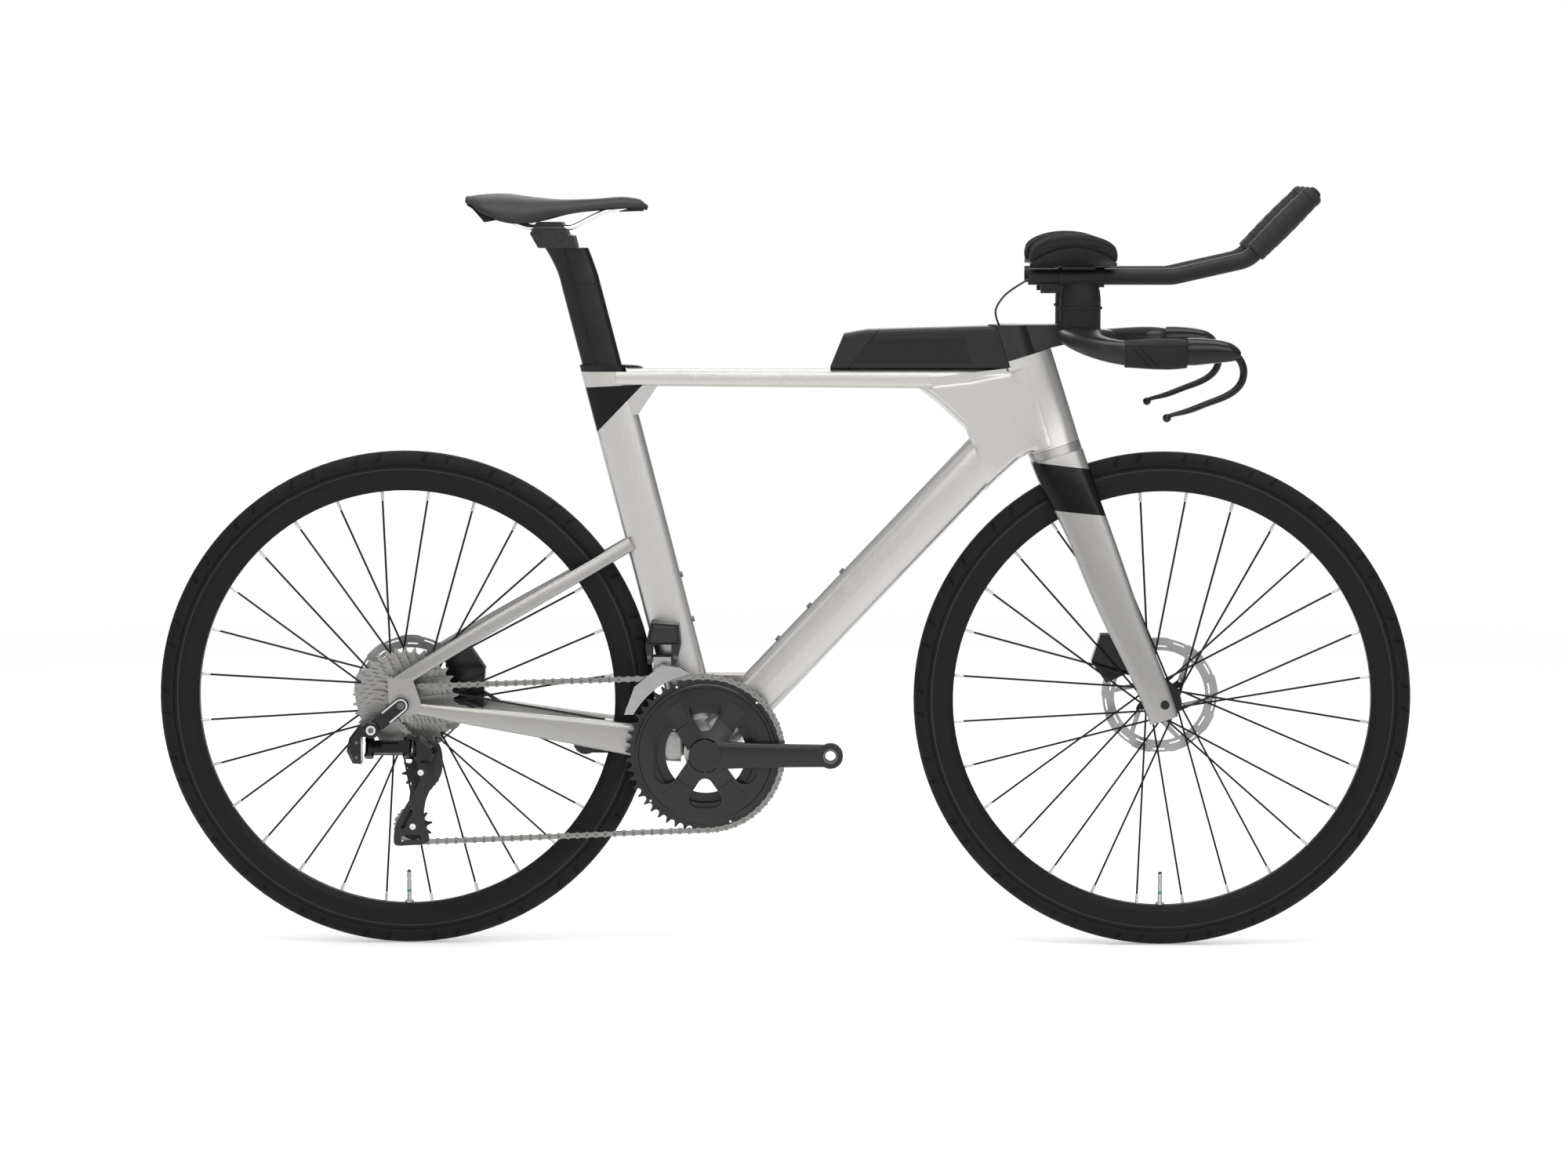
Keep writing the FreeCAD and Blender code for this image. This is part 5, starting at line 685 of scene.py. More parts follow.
def ride(made, body):
    """Let a piece ride on a body."""
    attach(made, body)


def piece(name, mesh_maker, finish, body, stands_for=()):
    """New mesh piece that rides on a body."""
    made = built(name, mesh_maker)
    made.data.materials.append(finish)
    for face in made.data.polygons:
        face.use_smooth = True
    ride(made, body)
    if stands_for:
        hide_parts(*stands_for)
    return made


def keep_result(made, modifier):
    """Make what a modifier shows the object's own plain mesh."""
    plain = bpy.data.meshes.new_from_object(made.evaluated_get(bpy.context.evaluated_depsgraph_get()))
    made.modifiers.remove(modifier)
    made.data = plain


def round_axle(axle, reach, turn, y):
    """Point at a reach and a turn round a line across the bike."""
    return Vector((axle.x + reach * math.cos(turn), y, axle.z + reach * math.sin(turn)))


def turns(count):
    """Angles of a whole turn in equal steps."""
    return [2 * math.pi * index / count for index in range(count)]


def bridge(sheet, one, two):
    """Quads between two closed loops of corners."""
    for index in range(len(one)):
        after = (index + 1) % len(one)
        sheet.faces.new((one[index], one[after], two[after], two[index]))


def skin(sheet, rings, uvs=None, closed_ends=True):
    """Quads between rings of points; the ends are closed by fans. UVs are (along, across) for each point."""
    layer = sheet.loops.layers.uv.verify()
    grid = [[sheet.verts.new(point) for point in ring] for ring in rings]
    count = len(grid[0])
    for i in range(len(grid) - 1):
        for k in range(count):
            after = (k + 1) % count
            face = sheet.faces.new((grid[i][k], grid[i][after], grid[i + 1][after], grid[i + 1][k]))
            if uvs:
                across = [(i, k), (i, k + 1), (i + 1, k + 1), (i + 1, k)]
                for loop, (ring_at, place_at) in zip(face.loops, across):
                    loop[layer].uv = uvs(ring_at, place_at)
    if closed_ends:
        for ring in (grid[0], grid[-1]):
            middle = sheet.verts.new(sum((vertex.co for vertex in ring), Vector()) / count)
            for k in range(count):
                sheet.faces.new((ring[k], ring[(k + 1) % count], middle))


def smooth_between(stations, share):
    """Values at a share of the way through stations (share, value, ...), on a Catmull-Rom curve."""
    index = max(i for i, station in enumerate(stations[:-1]) if station[0] <= share or i == 0)
    before = stations[max(index - 1, 0)]
    first, second = stations[index], stations[index + 1]
    after = stations[min(index + 2, len(stations) - 1)]
    t = (share - first[0]) / (second[0] - first[0])
    values = []
    for a, b, c, d in zip(before[1:], first[1:], second[1:], after[1:]):
        values.append(b + 0.5 * t * (c - a + t * (2 * a - 5 * b + 4 * c - d + t * (3 * (b - c) + d - a))))
    return values


# Shifter wire: from the extension's rear end down to the storage box

WIRE_ROUTE = [(0.331, -0.062, 0.914), (0.303, -0.058, 0.899), (0.286, -0.042, 0.877), (0.285, -0.026, 0.862),
              (0.291, -0.016, 0.8495)]
WIRE_DIAMETER = 0.0028


def add_shifter_wire():
    """Short stiff wire along its route, held at both ends."""
    curve = bpy.data.curves.new("shifter_wire_line", "CURVE")
    curve.dimensions = "3D"
    curve.bevel_depth = WIRE_DIAMETER / 2
    curve.bevel_resolution = 4
    curve.resolution_u = 16
    curve.use_fill_caps = True
    spline = curve.splines.new("NURBS")
    spline.points.add(len(WIRE_ROUTE) - 1)
    for point, place in zip(spline.points, WIRE_ROUTE):
        point.co = (*place, 1.0)
    spline.order_u = 3
    spline.use_endpoint_u = True
    curve.materials.append(WIRE_BLACK)
    wire = placed("shifter_wire_cord", curve)
    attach(wire, "steering")
    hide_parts("shifter_wire")


add_shifter_wire()


# Saddle cover

SADDLE_TAIL = -0.4292
SADDLE_LENGTH = 0.245
SADDLE_TOP = 1.027
SADDLE_HALF = 0.070
# Share of the length, half width share, top and edge below the saddle's height.
SADDLE_STATIONS = [(0.0, 0.40, 0.004, 0.012), (0.09, 0.90, 0.001, 0.024), (0.22, 1.0, 0.000, 0.036),
                   (0.36, 0.86, 0.004, 0.038), (0.52, 0.52, 0.007, 0.029), (0.70, 0.33, 0.006, 0.022),
                   (0.86, 0.27, 0.004, 0.019), (0.96, 0.20, 0.008, 0.019), (1.0, 0.09, 0.016, 0.0205)]
SADDLE_RINGS = 64
SADDLE_OVER = 40
SADDLE_BELOW = 12
SADDLE_LIP = 0.0030
SADDLE_CHANNEL = 0.0022
SADDLE_CHANNEL_HALF = 0.008


def saddle_cover_mesh(sheet):
    """Crowned cover with a rolled lower edge and a shallow channel along the middle."""
    rings = []
    for i in range(SADDLE_RINGS + 1):
        share = i / SADDLE_RINGS
        half_share, top_drop, edge_drop = smooth_between(SADDLE_STATIONS, share)
        half = SADDLE_HALF * half_share
        top = SADDLE_TOP - top_drop
        edge = SADDLE_TOP - edge_drop
        x = SADDLE_TAIL + SADDLE_LENGTH * share
        lip = min(SADDLE_LIP, 0.3 * (top - edge))
        channel = SADDLE_CHANNEL * max(0.0, math.sin(math.pi * min(share / 0.95, 1.0)))
        ring = []
        for k in range(SADDLE_OVER + 1):
            angle = math.pi * (k / SADDLE_OVER - 0.5)
            across = half * math.sin(angle)
            height = edge + (top - edge) * math.cos(angle) ** 0.9 if abs(angle) < 1.5 else edge
            dip = channel * math.exp(-(across / SADDLE_CHANNEL_HALF) ** 2)
            ring.append(Vector((x, across, height - dip)))
        for k in range(SADDLE_BELOW + 1):
            angle = math.pi * (0.5 - k / SADDLE_BELOW)
            across = (half - lip) * math.sin(angle)
            height = edge - lip * 0.4 + (top - lip * 2.2 - edge) * 0.8 * max(math.cos(angle), 0.0)
            ring.append(Vector((x, across, height)))
        rings.append(ring)
    skin(sheet, rings)


saddle_cover = piece("saddle_cover", saddle_cover_mesh, saddle_hide("saddle_hide"), "seat_post",
                     ["saddle_padding"])


# Arm pads

PAD_MIDDLE = Vector((0.3867, 0.088, 0.931))
PAD_LENGTH = 0.115
PAD_RADIUS = 0.0452
PAD_THICKNESS = 0.009
CUP_RADIUS = 0.048
PAD_RINGS = 48
PAD_ROUND = 48
PAD_RISE = (0.011, 0.029)
PAD_ACROSS = 0.10


def arm_pads_mesh(sheet):
    """Two troughs of foam: crowned across, thinning to a soft rounded edge."""
    for side in (-1, 1):
        rings = []
        for i in range(PAD_RINGS + 1):
            share = 2 * i / PAD_RINGS - 1
            rise = PAD_RISE[0] + PAD_RISE[1] * math.sqrt(max(0.0, 1 - share * share))
            reach = math.acos(max(-1.0, 1 - rise / PAD_RADIUS))
            fade = math.sqrt(max(0.0, 1 - abs(share) ** 14))
            ring = []
            for angle in turns(PAD_ROUND):
                along_arc = math.cos(angle)
                lens = math.sin(angle)
                thick = PAD_THICKNESS / 2 * (abs(lens) ** 0.55) * (1 if lens > 0 else -1) * (0.25 + 0.75 * fade)
                middle_radius = PAD_RADIUS - PAD_THICKNESS / 2
                swing = reach * along_arc * (0.93 + 0.07 * fade)
                radius = middle_radius - thick
                ring.append(Vector((PAD_MIDDLE.x + share * PAD_LENGTH / 2,
                                    side * PAD_MIDDLE.y + radius * math.sin(swing),
                                    PAD_MIDDLE.z + CUP_RADIUS - radius * math.cos(swing))))
            rings.append(ring)
        skin(sheet, rings, uvs=lambda i, k: (PAD_LENGTH * i / PAD_RINGS,
                                             PAD_ACROSS * math.cos(2 * math.pi * k / PAD_ROUND)))


arm_pads = piece("arm_pad_foam", arm_pads_mesh, pad_fabric("pad_fabric"), "steering", ["arm_pads"])


# Taped grips on the extensions

EXTENSION_BEND = Vector((0.6214, 0.062, 0.9391))
EXTENSION_TIP = Vector((0.6947, 0.062, 1.0135))
TAPE_WAY = (EXTENSION_TIP - EXTENSION_BEND).normalized()
TAPE_START = EXTENSION_BEND + TAPE_WAY * 0.013
TAPE_LENGTH = 0.112
TAPE_RADIUS = 0.015
TAPE_TURNS = 6
TAPE_BORE = 0.0111
TAPE_STEP = 0.0005
TAPE_LAP = 0.22
TAPE_ROUND = 40
TAPE_RINGS = 96
TAPE_FOOT = 0.0066
TAPE_ENDS = 0.018
TAPE_SWELL = 0.0012
TAPE_UNDER = 0.0011
# Rings (along, radius) of the collar from the start, and of the cap from the end.
GRIP_COLLAR = ((0.0, TAPE_BORE + 0.0003), (0.0, 0.0134), (0.0012, 0.0142), (0.0058, 0.0143), (0.0062, 0.0138))
GRIP_CAP = ((-0.0108, 0.0136), (-0.0104, 0.0147), (-0.0085, 0.0150), (-0.0035, 0.0144), (-0.0008, 0.0125),
            (0.0, 0.0112), (0.0, 0.0094), (-0.0078, 0.0093))


def tape_radius(along, turn):
    """Radius of the wound tape at a length and a share of a turn."""
    run = TAPE_LENGTH - TAPE_ENDS
    phase = (along / run * TAPE_TURNS + turn) % 1.0
    swell = TAPE_SWELL * math.sin(math.pi * min(1.0, max(0.0, (along - TAPE_FOOT) / run)))
    rise = phase / TAPE_LAP if phase < TAPE_LAP else (1 - phase) / (1 - TAPE_LAP)
    return TAPE_RADIUS - TAPE_UNDER + TAPE_STEP * rise + swell


def taped_grips_mesh(sheet):
    """Tape wound in overlapping turns, between a collar and an end cap with a button pocket."""
    side_way = TAPE_WAY.cross(LEFT).normalized()
    stations = [(along, [radius] * TAPE_ROUND) for along, radius in GRIP_COLLAR]
    for i in range(TAPE_RINGS + 1):
        along = TAPE_FOOT + (TAPE_LENGTH - TAPE_ENDS) * i / TAPE_RINGS
        stations.append((along, [tape_radius(along, k / TAPE_ROUND) for k in range(TAPE_ROUND)]))
    stations += [(TAPE_LENGTH + along, [radius] * TAPE_ROUND) for along, radius in GRIP_CAP]
    for side in (-1, 1):
        rings = []
        for along, radii in stations:
            ring = []
            for angle, radius in zip(turns(TAPE_ROUND), radii):
                offset = side_way * (radius * math.cos(angle)) + LEFT * (radius * math.sin(angle))
                point = TAPE_START + TAPE_WAY * along + offset
                ring.append(Vector((point.x, side * point.y, point.z)))
            rings.append(ring)
        skin(sheet, rings, uvs=lambda i, k: (stations[i][0], 2 * math.pi * TAPE_RADIUS * k / TAPE_ROUND))


piece("taped_grips", taped_grips_mesh, tape_weave("tape_weave"), "steering", ["extension_grips"])


# Geometry nodes for what repeats

def geometry_tree(name, taken, sizes, given):
    """Empty geometry tree with named sockets: its desk and what it takes."""
    tree = bpy.data.node_groups.new(name, "GeometryNodeTree")
    tree.interface.new_socket(taken, in_out="INPUT", socket_type="NodeSocketGeometry")
    for label, value in sizes.items():
        tree.interface.new_socket(label, in_out="INPUT", socket_type="NodeSocketFloat").default_value = value
    tree.interface.new_socket("Finish", in_out="INPUT", socket_type="NodeSocketMaterial")
    tree.interface.new_socket(given, in_out="OUTPUT", socket_type="NodeSocketGeometry")
    desk = Desk(tree)
    return desk, desk.node("NodeGroupInput").outputs


def end_tree(desk, entry, shape):
    """Make a shape plain, give it its finish and hand it out: the whole tree."""
    plain = desk.node("GeometryNodeRealizeInstances")
    desk.feed(plain.inputs["Geometry"], shape)
    coloured = desk.node("GeometryNodeSetMaterial")
    desk.feed(coloured.inputs["Geometry"], plain.outputs["Geometry"])
    desk.feed(coloured.inputs["Material"], entry["Finish"])
    desk.feed(desk.node("NodeGroupOutput").inputs[0], coloured.outputs["Geometry"])
    return desk.tree


def run_tree(made, tree, values):
    """Let a geometry tree work on an object, and keep the result as its plain mesh."""
    modifier = made.modifiers.new("nodes", "NODES")
    modifier.node_group = tree
    for socket in tree.interface.items_tree:
        label = socket.name.replace(" ", "_")
        if socket.in_out == "INPUT" and label in values:
            modifier[socket.identifier] = values[label]
    keep_result(made, modifier)
    made.data.name = made.name


# Small fasteners: round heads with a socket

HEAD_SIDES = 16
SOCKET_DEPTH = -0.7


def make_fastener_tree():
    """Geometry nodes: a round head with a socket on every point, turned to the point's facing."""
    sizes = {"Head radius": 0.003, "Head height": 0.002, "Socket radius": 0.0015, "Sunk": 0.0004}
    desk, entry = geometry_tree("fastener heads", "Places", sizes, "Heads")
    barrel = desk.node("GeometryNodeMeshCylinder", fill_type="NGON")
    barrel.inputs["Vertices"].default_value = HEAD_SIDES
    desk.feed(barrel.inputs["Radius"], entry["Head radius"])
    desk.feed(barrel.inputs["Depth"], entry["Head height"])
    rim = desk.node("GeometryNodeExtrudeMesh", mode="FACES")
    desk.feed(rim.inputs["Mesh"], barrel.outputs["Mesh"])
    desk.feed(rim.inputs["Selection"], barrel.outputs["Top"])
    rim.inputs["Offset Scale"].default_value = 0.0
    narrow = desk.node("GeometryNodeScaleElements", domain="FACE")
    desk.feed(narrow.inputs["Geometry"], rim.outputs["Mesh"])
    desk.feed(narrow.inputs["Selection"], rim.outputs["Top"])
    desk.feed(narrow.inputs["Scale"], desk.math("DIVIDE", entry["Socket radius"], entry["Head radius"]))
    socket = desk.node("GeometryNodeExtrudeMesh", mode="FACES")
    desk.feed(socket.inputs["Mesh"], narrow.outputs["Geometry"])
    desk.feed(socket.inputs["Selection"], rim.outputs["Top"])
    desk.feed(socket.inputs["Offset Scale"], desk.math("MULTIPLY", entry["Head height"], SOCKET_DEPTH))
    lift = desk.math("SUBTRACT", desk.math("MULTIPLY", entry["Head height"], 0.5), entry["Sunk"])
    seated = desk.node("GeometryNodeTransform")
    desk.feed(seated.inputs["Geometry"], socket.outputs["Mesh"])
    desk.feed(seated.inputs["Translation"], desk.joined(0.0, 0.0, lift))
    facing = desk.node("GeometryNodeInputNamedAttribute", data_type="FLOAT_VECTOR")
    facing.inputs["Name"].default_value = "facing"
    turn = desk.node("FunctionNodeAlignRotationToVector", axis="Z")
    desk.feed(turn.inputs["Vector"], facing.outputs["Attribute"])
    heads = desk.node("GeometryNodeInstanceOnPoints")
    desk.feed(heads.inputs["Points"], entry["Places"])
    desk.feed(heads.inputs["Instance"], seated.outputs["Geometry"])
    desk.feed(heads.inputs["Rotation"], turn.outputs["Rotation"])
    return end_tree(desk, entry, heads.outputs["Instances"])


FASTENER_HEADS = make_fastener_tree()


def add_heads(name, body, slot, finish, places, **sizes):
    """One mesh of fastener heads for a body, from (place, facing) pairs."""
    mesh = bpy.data.meshes.new(name)
    mesh.from_pydata([place for place, _ in places], [], [])
    facings = mesh.attributes.new("facing", "FLOAT_VECTOR", "POINT")
    for entry, (_, facing) in zip(facings.data, places):
        entry.vector = facing
    made = placed(name, mesh)
    run_tree(made, FASTENER_HEADS, dict(sizes, Finish=finish))
    ride(made, body)


# Spoke wires: a thicker wire over each spoke, up to its nipple

WIRE_RADIUS = 0.0014
WIRE_SIDES = 12
WIRE_FOOT = 0.0005
NIPPLE_ROOM = 0.0135


def make_wire_tree():
    """Geometry nodes: a round wire along every line."""
    desk, entry = geometry_tree("spoke wires", "Lines", {"Wire radius": WIRE_RADIUS}, "Wires")
    lines = desk.node("GeometryNodeMeshToCurve")
    desk.feed(lines.inputs["Mesh"], entry["Lines"])
    ring = desk.node("GeometryNodeCurvePrimitiveCircle", mode="RADIUS")
    ring.inputs["Resolution"].default_value = WIRE_SIDES
    desk.feed(ring.inputs["Radius"], entry["Wire radius"])
    wires = desk.node("GeometryNodeCurveToMesh")
    desk.feed(wires.inputs["Curve"], lines.outputs["Curve"])
    desk.feed(wires.inputs["Profile Curve"], ring.outputs["Curve"])
    wires.inputs["Fill Caps"].default_value = True
    return end_tree(desk, entry, wires.outputs["Mesh"])


def solid_points(node):
    """Corner points of each solid of a CAD node."""
    sheet = bmesh.new()
    sheet.from_mesh(nodes[node].data)
    bmesh.ops.remove_doubles(sheet, verts=sheet.verts, dist=1e-6)
    groups = []
    seen = set()
    for start in sheet.verts:
        if start in seen:
            continue
        island = [start]
        seen.add(start)
        for vertex in island:
            for edge in vertex.link_edges:
                other = edge.other_vert(vertex)
                if other not in seen:
                    seen.add(other)
                    island.append(other)
        groups.append([vertex.co.copy() for vertex in island])
    sheet.free()
    return groups


def spoke_line(points, axle):
    """Ends of a spoke's wire, the hub's first."""
    def reach(point):
        return math.hypot(point.x - axle.x, point.z - axle.z)

    inner, outer = min(map(reach, points)), max(map(reach, points))
    middle = (inner + outer) / 2
    near = [point for point in points if reach(point) < middle]
    far = [point for point in points if reach(point) >= middle]
    foot = sum(near, Vector()) / len(near)
    way = (sum(far, Vector()) / len(far) - foot).normalized()
    shares = [(point - foot).dot(way) for point in points]
    return foot + way * (min(shares) + WIRE_FOOT), foot + way * (max(shares) - NIPPLE_ROOM)


SPOKE_WIRES = make_wire_tree()
for wheel_name, axle in WHEELS:
    ends = [end for points in solid_points(f"{wheel_name}_spokes") for end in spoke_line(points, axle)]
    mesh = bpy.data.meshes.new(f"{wheel_name}_spoke_wires")
    mesh.from_pydata(ends, [(index, index + 1) for index in range(0, len(ends), 2)], [])
    wires = placed(mesh.name, mesh)
    run_tree(wires, SPOKE_WIRES, {"Wire_radius": WIRE_RADIUS, "Finish": NODE_FINISHES[f"{wheel_name}_spokes"]})
    ride(wires, f"{wheel_name}_wheel")


# Drawing in the side view, and cutting openings

def from_point(origin, marks):
    """Side-view marks in millimetres, forward and up from a point, as (x, z) in metres."""
    return [(origin.x + forward / 1000, origin.z + up / 1000) for forward, up in marks]


def facing_out(origin, y, marks=((0, 0),)):
    """Places at one depth on the drive side, each with its facing, from side-view marks."""
    return [(Vector((x, y, z)), -LEFT) for x, z in from_point(origin, marks)]


def rounded_hull(origin, discs, steps=20):
    """Outline round several discs (forward, up, radius), all in millimetres from a point."""
    points = []
    for forward, up, radius in discs:
        for turn in turns(steps):
            points.append((forward + radius * math.cos(turn), up + radius * math.sin(turn)))
    return from_point(origin, [points[index] for index in convex_hull_2d(points)])


def smooth_outline(marks, steps=6):
    """Closed Catmull-Rom curve through marks of the side view."""
    count = len(marks)
    line = []
    for index in range(count):
        stations = [(place, *marks[(index + place) % count]) for place in (-1, 0, 1, 2)]
        for step in range(steps):
            line.append(tuple(smooth_between(stations, step / steps)))
    return line


def add_plate(sheet, outline, levels):
    """Solid of one side-view outline through levels (y, share): the share draws it in to its middle."""
    middle_x = sum(x for x, _ in outline) / len(outline)
    middle_z = sum(z for _, z in outline) / len(outline)
    rings = []
    for y, share in levels:
        corners = [(middle_x + (x - middle_x) * share, y, middle_z + (z - middle_z) * share) for x, z in outline]
        rings.append([sheet.verts.new(corner) for corner in corners])
    for one, two in zip(rings, rings[1:]):
        bridge(sheet, one, two)
    sheet.faces.new(rings[0])
    sheet.faces.new(rings[-1])


def add_turned(sheet, axle, profile, count=96):
    """Solid turned about a line across the bike: a closed profile of (radius, y)."""
    rings = [[round_axle(axle, radius, turn, y) for turn in turns(count)] for radius, y in profile + profile[:1]]
    skin(sheet, rings, closed_ends=False)
    bmesh.ops.remove_doubles(sheet, verts=sheet.verts, dist=1e-7)


def add_rod(sheet, start, end, radius, count=24):
    """Round rod between two points."""
    way = (end - start).normalized()
    aside = way.orthogonal().normalized()
    other = way.cross(aside)
    rings = []
    for place in (start, end):
        rings.append([place + (aside * math.cos(turn) + other * math.sin(turn)) * radius for turn in turns(count)])
    skin(sheet, rings)


def crease(made, degrees=32):
    """Smooth faces that meet in crisp edges."""
    made.data.set_sharp_from_angle(angle=math.radians(degrees))


def cut_openings(made, opening_maker):
    """Take openings out of a piece and keep the result as its plain mesh."""
    cutter = built("openings", opening_maker)
    modifier = made.modifiers.new("openings", "BOOLEAN")
    modifier.operation = "DIFFERENCE"
    modifier.solver = "EXACT"
    modifier.object = cutter
    keep_result(made, modifier)
    bpy.data.objects.remove(cutter)


# Head fairing: one smooth side over the head tube, the top tube's root and the down tube's end

HEAD_CORNER = [(0.1760, 0.7680), (0.2080, 0.7440), (0.2475, 0.7070)]
HEAD_REAR = HEAD_CORNER + [(0.2740, 0.6240)]
HEAD_UNDER = [(0.2740, 0.6240), (0.2920, 0.6420), (0.3227, 0.6697), (0.3340, 0.6745), (0.3660, 0.6850)]
HEAD_FRONT = [(0.3300, 0.8000), (0.3480, 0.7425), (0.3660, 0.6850)]
HEAD_OVER = [(0.1760, 0.7680), (0.2500, 0.7760), (0.2900, 0.7840), (0.3300, 0.8000)]
# Free edges, and the depth over which each rolls in; the other edges lie just inside the frame's side.
HEAD_ROLLS = ((HEAD_CORNER, 0.012), (HEAD_UNDER, 0.010))
HEAD_LAID = ([HEAD_CORNER[-1], HEAD_UNDER[0]], HEAD_FRONT, HEAD_OVER)
HEAD_COLUMNS = 60
HEAD_ROWS = 56
HEAD_SWEEPS = 240
HEAD_LIFT = 0.0005
HEAD_TUCK = 0.0008
HEAD_FADE = 0.006
HEAD_ROLL_POWER = 4
EDGE_NEAR = 1e-5
RAY_START = -0.2


def along_line(line, share):
    """Point at a share of the way along a side-view line."""
    lengths = [math.dist(one, two) for one, two in zip(line, line[1:])]
    left = share * sum(lengths)
    for one, two, length in zip(line, line[1:], lengths):
        if left <= length or two is line[-1]:
            break
        left -= length
    part = min(left / length, 1.0)
    return Vector((one[0] + (two[0] - one[0]) * part, one[1] + (two[1] - one[1]) * part))


def line_distance(line, point):
    """Distance from a side-view line."""
    nearest = 1.0
    for one, two in zip(line, line[1:]):
        start, run = Vector(one), Vector(two) - Vector(one)
        share = min(max((point - start).dot(run) / run.length_squared, 0.0), 1.0)
        nearest = min(nearest, (point - start - run * share).length)
    return nearest


def head_grid():
    """Side-view points of the fairing between its four edges."""
    grid = []
    for row in range(HEAD_ROWS + 1):
        down = row / HEAD_ROWS
        rear, front = along_line(HEAD_REAR, down), along_line(HEAD_FRONT, down)
        line = []
        for column in range(HEAD_COLUMNS + 1):
            ahead = column / HEAD_COLUMNS
            over, under = along_line(HEAD_OVER, ahead), along_line(HEAD_UNDER, ahead)
            corners = ((Vector(HEAD_OVER[0]) * (1 - ahead) + Vector(HEAD_OVER[-1]) * ahead) * (1 - down)
                       + (Vector(HEAD_UNDER[0]) * (1 - ahead) + Vector(HEAD_UNDER[-1]) * ahead) * down)
            line.append(rear * (1 - ahead) + front * ahead + over * (1 - down) + under * down - corners)
        grid.append(line)
    return grid


def stretched_over(grid):
    """Half widths of a skin stretched over the frame's side, and of the frame itself."""
    floor = []
    held = set()
    for row, line in enumerate(grid):
        depths = []
        for column, point in enumerate(line):
            laid = min(laid_distance(point) / HEAD_FADE, 1.0)
            depths.append(max(side_depth(point) + laid * HEAD_LIFT - (1 - laid) * HEAD_TUCK, 0.0))
            if on_laid_edge(point):
                held.add((row, column))
        floor.append(depths)
    height = [line[:] for line in floor]
    for _ in range(HEAD_SWEEPS):
        for row in range(HEAD_ROWS + 1):
            for column in range(HEAD_COLUMNS + 1):
                if (row, column) in held:
                    continue
                near = []
                for r, c in ((row - 1, column), (row + 1, column), (row, column - 1), (row, column + 1)):
                    if 0 <= r <= HEAD_ROWS and 0 <= c <= HEAD_COLUMNS:
                        near.append(height[r][c])
                height[row][column] = max(floor[row][column], sum(near) / len(near))
    return height, floor


def on_laid_edge(point):
    """Whether a side-view point is on an edge that lies on the frame."""
    return laid_distance(point) < EDGE_NEAR


def laid_distance(point):
    """Distance from the edges that lie on the frame."""
    return min(line_distance(rim, point) for rim in HEAD_LAID)


def node_surface(node):
    """Search tree of a CAD node's faces."""
    mesh = nodes[node].data
    return BVHTree.FromPolygons([vertex.co for vertex in mesh.vertices], [face.vertices for face in mesh.polygons])


FRAME_SURFACE = node_surface("main_frame")


def side_depth(point):
    """Half width of the frame at a side-view point, nought where there is none."""
    place = FRAME_SURFACE.ray_cast(Vector((point.x, RAY_START, point.y)), LEFT)[0]
    return max(0.0, -place.y) if place else 0.0


def rim_of(lines):
    """Corners round the four edges of a grid, from its first corner back to it."""
    return lines[0] + [line[-1] for line in lines[1:]] + lines[-1][-2::-1] + [line[0] for line in lines[-2::-1]]


def head_fairing_mesh(sheet):
    """Both sides of the fairing, joined round its edges."""
    grid = head_grid()
    height, floor = stretched_over(grid)
    sides = []
    for side in (-1, 1):
        lines = []
        for row, line in enumerate(grid):
            corners = []
            for column, point in enumerate(line):
                width = height[row][column]
                for rim, roll in HEAD_ROLLS:
                    share = min(line_distance(rim, point) / roll, 1.0)
                    width *= 1 - (1 - share) ** HEAD_ROLL_POWER
                on_rim = row in (0, HEAD_ROWS) or column in (0, HEAD_COLUMNS)
                if not on_rim or on_laid_edge(point):
                    width = max(width, floor[row][column])
                corners.append(sheet.verts.new((point.x, side * width, point.y)))
            lines.append(corners)
        for one, two in zip(lines, lines[1:]):
            for index in range(HEAD_COLUMNS):
                sheet.faces.new((one[index], one[index + 1], two[index + 1], two[index]))
        sides.append(lines)
    near, far = map(rim_of, sides)
    for index in range(len(near) - 1):
        sheet.faces.new((near[index], near[index + 1], far[index + 1], far[index]))
    bmesh.ops.remove_doubles(sheet, verts=sheet.verts, dist=1e-6)


piece("head_fairing", head_fairing_mesh, MAIN_SILVER, "frame")


# Crank: dished cover between the arms, pedal eye ring and ring pins

CRANK_LENGTH = 0.170
COVER_PROFILE = [(0.0960, -0.0492), (0.0960, -0.0522), (0.0945, -0.0536), (0.0915, -0.0536), (0.0902, -0.0524),
                 (0.0760, -0.0534), (0.0505, -0.0548), (0.0496, -0.0556), (0.0490, -0.0568), (0.0360, -0.0630),
                 (0.0235, -0.0682), (0.0235, -0.0660), (0.0360, -0.0608), (0.0480, -0.0553), (0.0505, -0.0530),
                 (0.0760, -0.0512), (0.0902, -0.0492)]
COVER_OPENINGS = [[(0, 42, 10), (10, 62, 12), (-10, 62, 12)], [(0, -42, 10), (10, -62, 12), (-10, -62, 12)],
                  [(33, 0, 12), (54, 25, 16), (54, -25, 16)], [(-33, 0, 12), (-54, 25, 16), (-54, -25, 16)]]
OPENING_DEPTHS = [(-0.090, 1.0), (-0.040, 1.0)]
# Pedal eye ring: (radius, height over the arm's face).
EYE_PROFILE = ((0.0078, -0.0010), (0.0078, 0.0006), (0.0100, 0.0006), (0.0108, -0.0010))
RING_PIN_REACH = 0.0990
RING_PINS = (113, 45, -70, -139)


def crank_cover_mesh(sheet):
    """Dished ring between the spider and the chainring."""
    add_turned(sheet, CRANK_AXLE, COVER_PROFILE)


